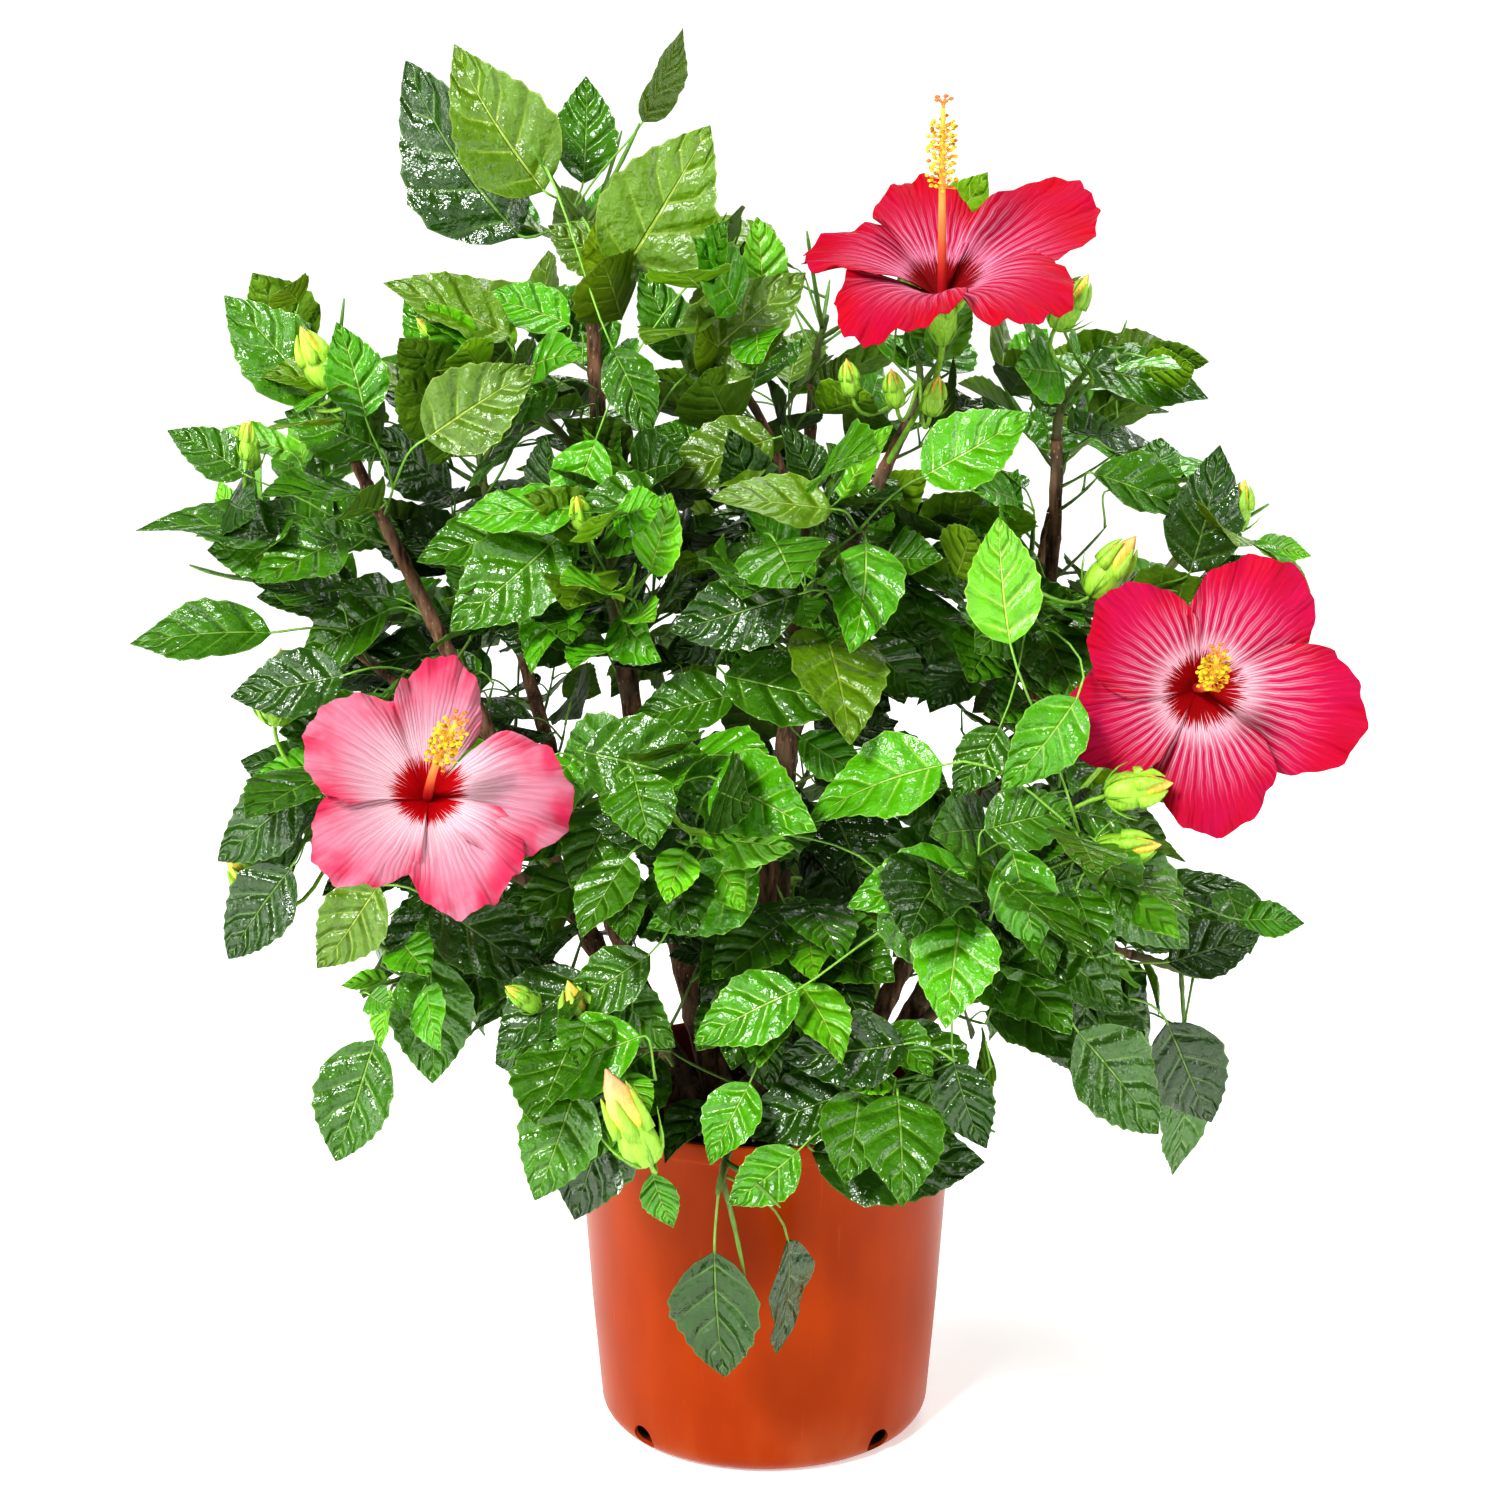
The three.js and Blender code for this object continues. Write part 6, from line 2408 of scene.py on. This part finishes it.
    def add_calyx(self, greens: Batch, stalk: Curve) -> None:
        """Adds the calyx cup with its five points, the bracts under it and the stalk.

        Args:
            greens: takes the green parts.
            stalk: the stalk's curve.
        """
        foot = -BLOOM.depth - BLOOM.calyx_length
        heights = foot + np.array((0, 3, 9, 16, 22, 27, 30))
        run = self.to_world(np.column_stack((0 * heights, 0 * heights, heights)))
        radii = np.array((2.2, 5.2, 7.6, 8.6, 9.0, 8.2, 3.6))
        greens.tube(run, radii, 20, 0.6, lambda share, turn: 1 + 0.05 * np.cos(5 * turn) * (1 + share))
        for i in range(5):
            self.add_bract(greens, 2 * math.pi * i / 5, foot + 24, 8.2, 20, 3.2, 0.75)
        for i in range(7):
            self.add_bract(greens, 2 * math.pi * i / 7 + 0.3, foot + 1, 3.4, 17, 1.1, 0.35)
        shares = np.linspace(0, 1, 16)
        radii = BLOOM.stalk_radius * (1.15 - 0.25 * np.sin(np.pi * shares))
        greens.tube(stalk.at(shares), radii, 8, 0.25 + 0.4 * shares)

    def add_bract(
        self,
        greens: Batch,
        turn: float,
        height: float,
        radius: float,
        length: float,
        wide: float,
        tone: float,
    ) -> None:
        """Adds one pointed green strip that leans out from the bloom's axis.

        Args:
            greens: takes the strip.
            turn: its turn round the axis.
            height: its root's height along the axis.
            radius: its root's distance from the axis.
            length: its length along the axis.
            wide: half its width.
            tone: its tone.
        """
        out = np.array((math.cos(turn), math.sin(turn), 0.0))
        ahead = np.array((0.0, 0.0, 1.0))
        start = out * radius + ahead * height
        bend = start + out * length * 0.3 + ahead * length * 0.5
        end = start + out * length * 0.6 + ahead * length
        run = self.to_world(Curve(np.array((start, bend, end))).at(np.linspace(0, 1, 6)))
        radii = wide * np.array((0.8, 1.0, 0.85, 0.6, 0.35, 0.06))
        greens.tube(run, radii, 6, tone, lambda share, angle: 0.35 + 0.65 * np.abs(np.sin(angle)))

    def build(self, columns: Batch, anthers: Batch, stigmas: Batch, greens: Batch, stalk: Curve) -> None:
        """Builds the petals, and adds the rest to the batches that all blooms share.

        Args:
            columns: takes the column, filaments and styles.
            anthers: takes the anthers.
            stigmas: takes the stigmas.
            greens: takes the green parts.
            stalk: the stalk's curve.
        """
        piece = self.petal_mesh()
        finish_piece(piece, [self.finish.material()], [self.plan.name])
        self.add_column(columns, anthers, stigmas)
        self.add_calyx(greens, stalk)


class BloomKind(Enum):
    """The three blooms' colourings."""

    SALMON = PetalFinish("salmon", 0xC08698, 0xC82C54, 0xF4D4DC, 0xB8000C, 0.7, 0.62, 0xE692A2)
    CRIMSON = PetalFinish("crimson", 0xAE003A, 0xB40020, 0xF2A8C8, 0x8C0008, 0.5, 0.42, 0xD8143E)
    ROSE = PetalFinish("rose", 0xB80E4E, 0xB80430, 0xF8CEDC, 0xA00008, 0.8, 0.46, 0xD82E60)


@dataclass
class Blooms:
    """All the open blooms and the buds."""

    skeleton: Skeleton
    crown: Crown

    def open_blooms(self) -> list[Bloom]:
        """The three open blooms, petal by petal.

        Returns:
            The blooms, in the order of their stalks.
        """
        left, top, right = BLOOMS
        salmon = (
            Petal(154, 0.86, 5, 1.2, 1.1, 0.4),
            Petal(84, 0.82, -6, 1.7, 0.88, 0.46),
            Petal(352, 0.94, 6, 1.5, 1.2, 0.54),
            Petal(298, 0.9, 8, 1.6, 1.08, 0.44),
            Petal(224, 0.88, 5, 1.2, 1.06, 0.44),
        )
        crimson = (
            Petal(168, 0.97, 8, 1.0, 1.05, 0.46),
            Petal(98, 0.94, -6, 1.0, 0.96, 0.46),
            Petal(28, 1.2, -8, 0.9, 1.04, 0.58),
            Petal(318, 1.02, 10, 1.1, 1.04, 0.48),
            Petal(240, 1.04, 12, 1.3, 1.08, 0.44),
        )
        rose = (
            Petal(58, 1.0, 6, 1.3, 1.14, 0.5),
            Petal(140, 0.92, 5, 1.1, 1.08, 0.48),
            Petal(196, 0.95, 6, 1.1, 0.98, 0.46),
            Petal(278, 0.94, 4, 1.2, 1.12, 0.5),
            Petal(350, 1.08, 3, 1.1, 1.1, 0.5),
        )
        return [
            Bloom(left, salmon, BloomKind.SALMON.value, "petals_pale", (16, 16), 3),
            Bloom(top, crimson, BloomKind.CRIMSON.value, "petals_deep", (2, 4), 4, 104),
            Bloom(right, rose, BloomKind.ROSE.value, "petals_deep", (-4, 30), 5),
        ]

    def build(self) -> None:
        """Builds the blooms, their shared columns, anthers, stigmas and greens, and the buds."""
        columns, anthers, stigmas, greens = Batch(), Batch(), Batch(), Batch()
        for bloom, stalk in zip(self.open_blooms(), self.skeleton.stalks):
            bloom.build(columns, anthers, stigmas, greens, stalk)
        inner = Batch()
        for m, grown in enumerate(self.crown.grown):
            for b, bud in enumerate(grown.buds):
                self.add_bud(bud, greens, inner, m * 10 + b)
        finish = ColumnFinish()
        finish_piece(columns.mesh("columns"), [finish.column()])
        finish_piece(anthers.mesh("anthers"), [finish.anthers()])
        finish_piece(stigmas.mesh("stigmas"), [finish.stigma()])
        skin = GreenFinish("calyx_skin", 0x4F8A22, 0xA6D640, 0.5).material()
        finish_piece(greens.mesh("calyces_and_bud_stalks"), [skin])
        tips = GreenFinish("bud_tip_skin", 0xE0D23C, 0xF29C7C, 0.5).material()
        finish_piece(inner.mesh("bud_tips"), [tips])

    @staticmethod
    def add_bud(bud: Bud, greens: Batch, inner: Batch, key: int) -> None:
        """Adds a bud: its stalk, ribbed calyx with five points, thin bracts and furled tip.

        Args:
            bud: the bud.
            greens: takes the green parts.
            inner: takes the furled tip.
            key: what its small differences are drawn for.
        """
        way = unit(bud.tip - bud.base)
        length = math.dist(bud.base, bud.tip)
        radius = BUD.radius * bud.girth * length / BUD.length
        span = math.dist(bud.point, bud.base)
        bends = (bud.point, bud.base - way * span * 0.4, bud.base + way * 2)
        greens.strand(bends, np.linspace(1.3, 1.5, 8), 6, 0.5)
        shares = np.array((0.0, 0.06, 0.2, 0.38, 0.55, 0.68, 0.8)) * (1 - 0.2 * bud.open)
        radii = radius * np.array((0.35, 0.75, 0.98, 1.0, 0.86, 0.7, 0.35))
        run = bud.base + np.outer(shares * length, way)
        tone = 0.55 + 0.4 * draw(key, 51)
        greens.tube(run, radii, 15, tone, lambda share, turn: 1 + 0.07 * np.cos(5 * turn))
        for i in range(5):
            radial = square_to(way, 2 * math.pi * i / 5)
            start = bud.base + way * length * (0.5 - 0.08 * bud.open) + radial * radius * 0.82
            end = bud.base + way * length * (0.94 - 0.1 * bud.open)
            end = end + radial * radius * (0.3 + 0.35 * bud.open)
            bend = bud.base + way * length * (0.76 - 0.08 * bud.open) + radial * radius * 0.92
            greens.strand((start, bend, end), radius * np.array((0.42, 0.36, 0.26, 0.14, 0.03)), 5, tone)
        for i in range(7):
            radial = square_to(way, 2 * math.pi * i / 7 + 0.4)
            start = bud.base + radial * radius * 0.3
            bend = start + radial * radius * 1.0 + way * length * 0.1
            end = start + radial * radius * (1.1 + 0.6 * draw(key, i, 52)) + way * length * 0.42
            greens.strand((start, bend, end), length * np.array((0.02, 0.022, 0.018, 0.012, 0.003)), 4, 0.35)
        shares = np.linspace(0.4, 1.0 + 0.02 * bud.open, 9)
        furl = radius * (0.85 + 0.2 * bud.open)
        furl = furl * np.array((0.6, 0.72, 0.76, 0.72, 0.64, 0.52, 0.37, 0.2, 0.03))
        run = bud.base + np.outer(shares * length, way)
        tones = np.linspace(0, 1, 9) * min(1.0, 0.2 + 0.6 * bud.open)
        inner.tube(run, furl, 15, tones, lambda share, turn: 1 + 0.16 * np.cos(5 * (turn + 1.6 * share)))


# ---------------------------------------------------------------- pot and soil


@dataclass(frozen=True)
class PotPlan:
    """The pot's sizes, as in the solids."""

    height: float = 240
    base_radius: float = 113
    top_radius: float = 129
    wall: float = 2.6
    foot: float = 17
    rim_height: float = 15
    rim_out: float = 4.5
    holes: int = 4
    hole_radius: float = 9
    hole_rise: float = 13
    hole_tip: float = 32
    hole_turn: float = 43
    hole_length: float = 34
    hole_segments: int = 28
    segments: int = 128
    sharp: float = 38  # from this angle on, in degrees, an edge is drawn sharp

    @property
    def reach(self) -> float:
        """The rim's outer radius."""
        return self.top_radius + self.rim_out

    def radius_at(self, z: float) -> float:
        """The wall's outer radius at a height."""
        return mix(self.base_radius, self.top_radius, z / self.height)


POT = PotPlan()


@dataclass
class Pot:
    """The moulded pot, turned from its profile, with drain holes cut through its foot."""

    plan: PotPlan = POT

    def profile(self) -> list[Pair]:
        """The wall's section, from the middle of the underside, out, up, over the rim and back in.

        Returns:
            The radii and heights of its points.
        """
        p = self.plan
        points = [(0.0, 1.2), (38.0, 1.2), (40.0, 0.0), (p.base_radius - p.foot - 6, 0.0)]
        for i in range(9):
            a = i / 8 * math.pi / 2
            points.append((p.base_radius - p.foot + p.foot * math.sin(a), p.foot * (1 - math.cos(a))))
        under = p.height - p.rim_height
        wall = p.radius_at(under)
        points += [
            (p.radius_at(90), 90.0),
            (wall - 0.1, under - 1.2),
            (wall + 0.6, under),
            (wall + p.rim_out - 0.8, under + 1.6),
            (wall + p.rim_out, under + 3.2),
            (p.reach, p.height - 2.0),
            (p.reach - 0.7, p.height - 0.4),
            (p.reach - 2.2, p.height),
            (p.reach - 4.2, p.height - 0.5),
            (p.top_radius - p.wall + 0.6, p.height - 2.4),
            (wall - p.wall, under),
            (p.radius_at(60) - p.wall, 60.0),
        ]
        for i in range(5):
            a = math.pi / 2 - i / 4 * math.pi / 2
            run = p.foot - p.wall
            points.append((p.base_radius - p.foot + run * math.sin(a), p.foot - run * math.cos(a)))
        points.append((0.0, p.wall + 1.2))
        return points

    def build(self) -> None:
        """Turns the profile, cuts the holes and dresses the pot."""
        piece = form_piece("pot_shell", turned(self.profile(), self.plan.segments), smooth=False)
        cutter = self.cutter()
        cut = piece.modifiers.new("holes", "BOOLEAN")
        cut.operation = "DIFFERENCE"
        cut.solver = "EXACT"
        cut.object = cutter
        graph = bpy.context.evaluated_depsgraph_get()
        piece.data = bpy.data.meshes.new_from_object(piece.evaluated_get(graph))
        piece.data.name = piece.name
        piece.modifiers.clear()
        bpy.data.objects.remove(cutter)
        piece.data.shade_smooth()
        piece.data.set_sharp_from_angle(angle=math.radians(self.plan.sharp))
        finish_piece(piece, [PotFinish().material()], ["pot"])

    def cutter(self) -> Piece:
        """The four round cutters, tipped to go down and out through the foot.

        Returns:
            The cutters, in one object.
        """
        p = self.plan
        form = bmesh.new()
        for i in range(p.holes):
            made = bmesh.ops.create_cone(
                form,
                cap_ends=True,
                segments=p.hole_segments,
                radius1=p.hole_radius * MM,
                radius2=p.hole_radius * MM,
                depth=p.hole_length * MM,
            )["verts"]
            turn = Matrix.Rotation(math.radians(p.hole_turn + 360 / p.holes * i), 4, "Z")
            place = Matrix.Translation(((p.base_radius - 5) * MM, 0, p.hole_rise * MM))
            tip = Matrix.Rotation(math.radians(90 + p.hole_tip), 4, "Y")
            bmesh.ops.transform(form, matrix=turn @ place @ tip, verts=made)
        return form_piece("hole_cutter", form, smooth=False)


@dataclass
class Soil:
    """The potting mix: a crumbly surface in the pot, with perlite and bark chips on it."""

    rings: int = 34
    segments: int = 96
    rise: float = 3.2
    perlite: int = 240
    chips: int = 150

    def height_at(self, x: float, y: float) -> float:
        """The surface's height in millimetres: broad mounds and crumbs.

        Args:
            x: how far to the right.
            y: how far back.

        Returns:
            The height.
        """
        mounds = noise.noise(Vector((x * 0.02, y * 0.02, 3.1)))
        crumbs = noise.noise(Vector((x * 0.16, y * 0.16, 7.7)))
        return SOIL_TOP + self.rise * (mounds + 0.55 * crumbs - 0.4)

    def build(self) -> None:
        """Builds the mix's body and scatters the grains on it."""
        finish = SoilFinish()
        finish_piece(self.body(), [finish.crumbs()], ["soil"])
        finish_piece(
            self.scatter("perlite", self.perlite, (0.8, 2.1), 0.8, 81),
            [finish.grains("perlite_grain", 0xC9C5BA, 0xF2F0EA)],
        )
        finish_piece(
            self.scatter("bark_chips", self.chips, (1.6, 4.2), 0.35, 82),
            [finish.grains("bark_chip", 0x2C1C12, 0x7A5436)],
        )

    def body(self) -> Piece:
        """A plug with a crumbly top that fills the pot up to the soil's level.

        Returns:
            The plug.
        """
        radius = POT.radius_at(SOIL_TOP) - POT.wall - CLEAR
        top = [(radius * (1 - i / self.rings), SOIL_TOP) for i in range(self.rings + 1)]
        form = turned([(0, 8), (POT.base_radius - POT.wall - 4, 30), *top], self.segments)
        for vert in form.verts:
            if vert.co.z > (SOIL_TOP - 1) * MM:
                vert.co.z = self.height_at(vert.co.x / MM, vert.co.y / MM) * MM
        return form_piece("potting_mix", form)

    def scatter(
        self, name: str, count: int, sizes: Pair, flat: float, key: int
    ) -> Piece:
        """Scatters grains over the surface.

        Args:
            name: the piece's name.
            count: how many grains.
            sizes: the smallest and the largest radius.
            flat: how flat they are.
            key: what their places are drawn for.

        Returns:
            The joined piece.
        """
        batch = Batch()
        ball, faces = small_ball(flat)
        limit = POT.radius_at(SOIL_TOP) - POT.wall - 6
        for i in range(count):
            far = limit * math.sqrt(draw(key, i, 1))
            turn = 2 * math.pi * draw(key, i, 2)
            x, y = far * math.cos(turn), far * math.sin(turn)
            size = mix(*sizes, draw(key, i, 3) ** 2)
            shape = ball * (1, 0.6 + 0.5 * draw(key, i, 4), 1) * size
            spin = 2 * math.pi * draw(key, i, 5)
            lean = 0.5 * (draw(key, i, 6) - 0.5)
            c, s = math.cos(spin), math.sin(spin)
            shape = shape @ np.array(((c, s, lean), (-s, c, 0), (0, 0, 1)))
            centre = np.array((x, y, self.height_at(x, y) + size * flat * 0.4))
            batch.add(centre + shape, faces, draw(key, i, 7))
        piece = batch.mesh(name)
        piece.data.shade_flat()
        return piece


# ---------------------------------------------------------------- stage


@dataclass(frozen=True)
class LampPlan:
    """A soft rectangular light: its place, its two sizes and its power."""

    name: str
    place: Triple
    size: Pair
    power: float


LAMPS = (
    LampPlan("key", (-1.2, -2.2, 2.3), (0.6, 0.6), 98),
    LampPlan("left_strip", (-1.9, -0.9, 0.8), (0.4, 1.8), 16),
    LampPlan("right_strip", (1.9, -1.1, 0.8), (0.4, 1.8), 16),
    LampPlan("top", (0.3, 0.5, 2.4), (1.0, 1.0), 24),
    LampPlan("back", (0.9, 3.0, 2.3), (1.2, 1.2), 34),
)


@dataclass
class Stage:
    """The plain pale floor, the soft light and the camera."""

    camera_at: Triple = (-0.010, -2.0, 0.95)
    pitch: float = 13.5
    lens: float = 74.4
    sensor: float = 36.0
    floor_half: float = 3.4
    floor_lift: float = 0.36  # the strength of the floor's own light
    crown_middle: Triple = (0, 0, 0.45)  # where the lights look
    sky_from: float = 0.02  # how far up the sky starts to dim,
    sky_to: float = 0.14  # how far up it has dimmed,
    sky_dim: float = 0.24  # and what is left there

    def build(self) -> None:
        """Builds the camera, the floor and the lights."""
        scene = bpy.context.scene
        scene.view_settings.view_transform = "Standard"
        scene.view_settings.look = "Medium High Contrast"
        camera = bpy.data.cameras.new("camera")
        camera.lens = self.lens
        camera.sensor_width = self.sensor
        holder = link("camera", camera)
        holder.location = self.camera_at
        holder.rotation_euler = (math.radians(90 - self.pitch), 0, 0)
        scene.camera = holder
        self.floor()
        self.sky()
        for plan in LAMPS:
            self.lamp(plan)

    def floor(self) -> None:
        """A pale floor with a little light of its own."""
        form = bmesh.new()
        bmesh.ops.create_grid(form, x_segments=2, y_segments=2, size=self.floor_half)
        piece = form_piece("floor", form, smooth=False)
        shade = Shade("pale_floor")
        piece.data.materials.append(shade.surface(tint(0xFCFCFC), 0.9, None, 0.1))
        body = shade.material.node_tree.nodes["Principled BSDF"]
        body.inputs["Emission Color"].default_value = (1, 1, 1, 1)
        body.inputs["Emission Strength"].default_value = self.floor_lift

    def sky(self) -> None:
        """A surrounding that is white at the horizon and dims on the way up."""
        world = bpy.data.worlds.new("studio")
        bpy.context.scene.world = world
        world.use_nodes = True
        tree = world.node_tree
        split = tree.nodes.new("ShaderNodeSeparateXYZ")
        tree.links.new(tree.nodes.new("ShaderNodeTexCoord").outputs["Generated"], split.inputs[0])
        dim = tree.nodes.new("ShaderNodeMapRange")
        dim.interpolation_type = "SMOOTHSTEP"
        dim.inputs["From Min"].default_value = self.sky_from
        dim.inputs["From Max"].default_value = self.sky_to
        dim.inputs["To Min"].default_value = 1.0
        dim.inputs["To Max"].default_value = self.sky_dim
        tree.links.new(split.outputs[2], dim.inputs["Value"])
        back = tree.nodes["Background"]
        back.inputs["Color"].default_value = (1, 1, 1, 1)
        tree.links.new(dim.outputs["Result"], back.inputs["Strength"])

    def lamp(self, plan: LampPlan) -> None:
        """A light that looks at the crown's middle.

        Args:
            plan: the light's place, sizes and power.
        """
        light = bpy.data.lights.new(plan.name, "AREA")
        light.shape = "RECTANGLE"
        light.size, light.size_y = plan.size
        light.energy = plan.power
        holder = link(plan.name, light)
        holder.location = plan.place
        way = Vector(self.crown_middle) - Vector(plan.place)
        holder.rotation_euler = way.to_track_quat("-Z", "Y").to_euler()


def main() -> None:
    """Loads the frame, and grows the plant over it."""
    logging.basicConfig(level=logging.INFO, format="%(name)s: %(message)s")
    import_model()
    Stage().build()
    skeleton = Skeleton()
    crown = Crown(skeleton)
    crown.grow()
    for part in ("twigs", "leaves", "buds"):
        LOG.info("%s grown: %d", part, sum(len(getattr(grown, part)) for grown in crown.grown))
    Pot().build()
    Soil().build()
    Wood(skeleton, crown).build()
    Foliage(crown).build()
    Blooms(skeleton, crown).build()
    bpy.context.view_layer.update()


if __name__ == "__main__":
    main()
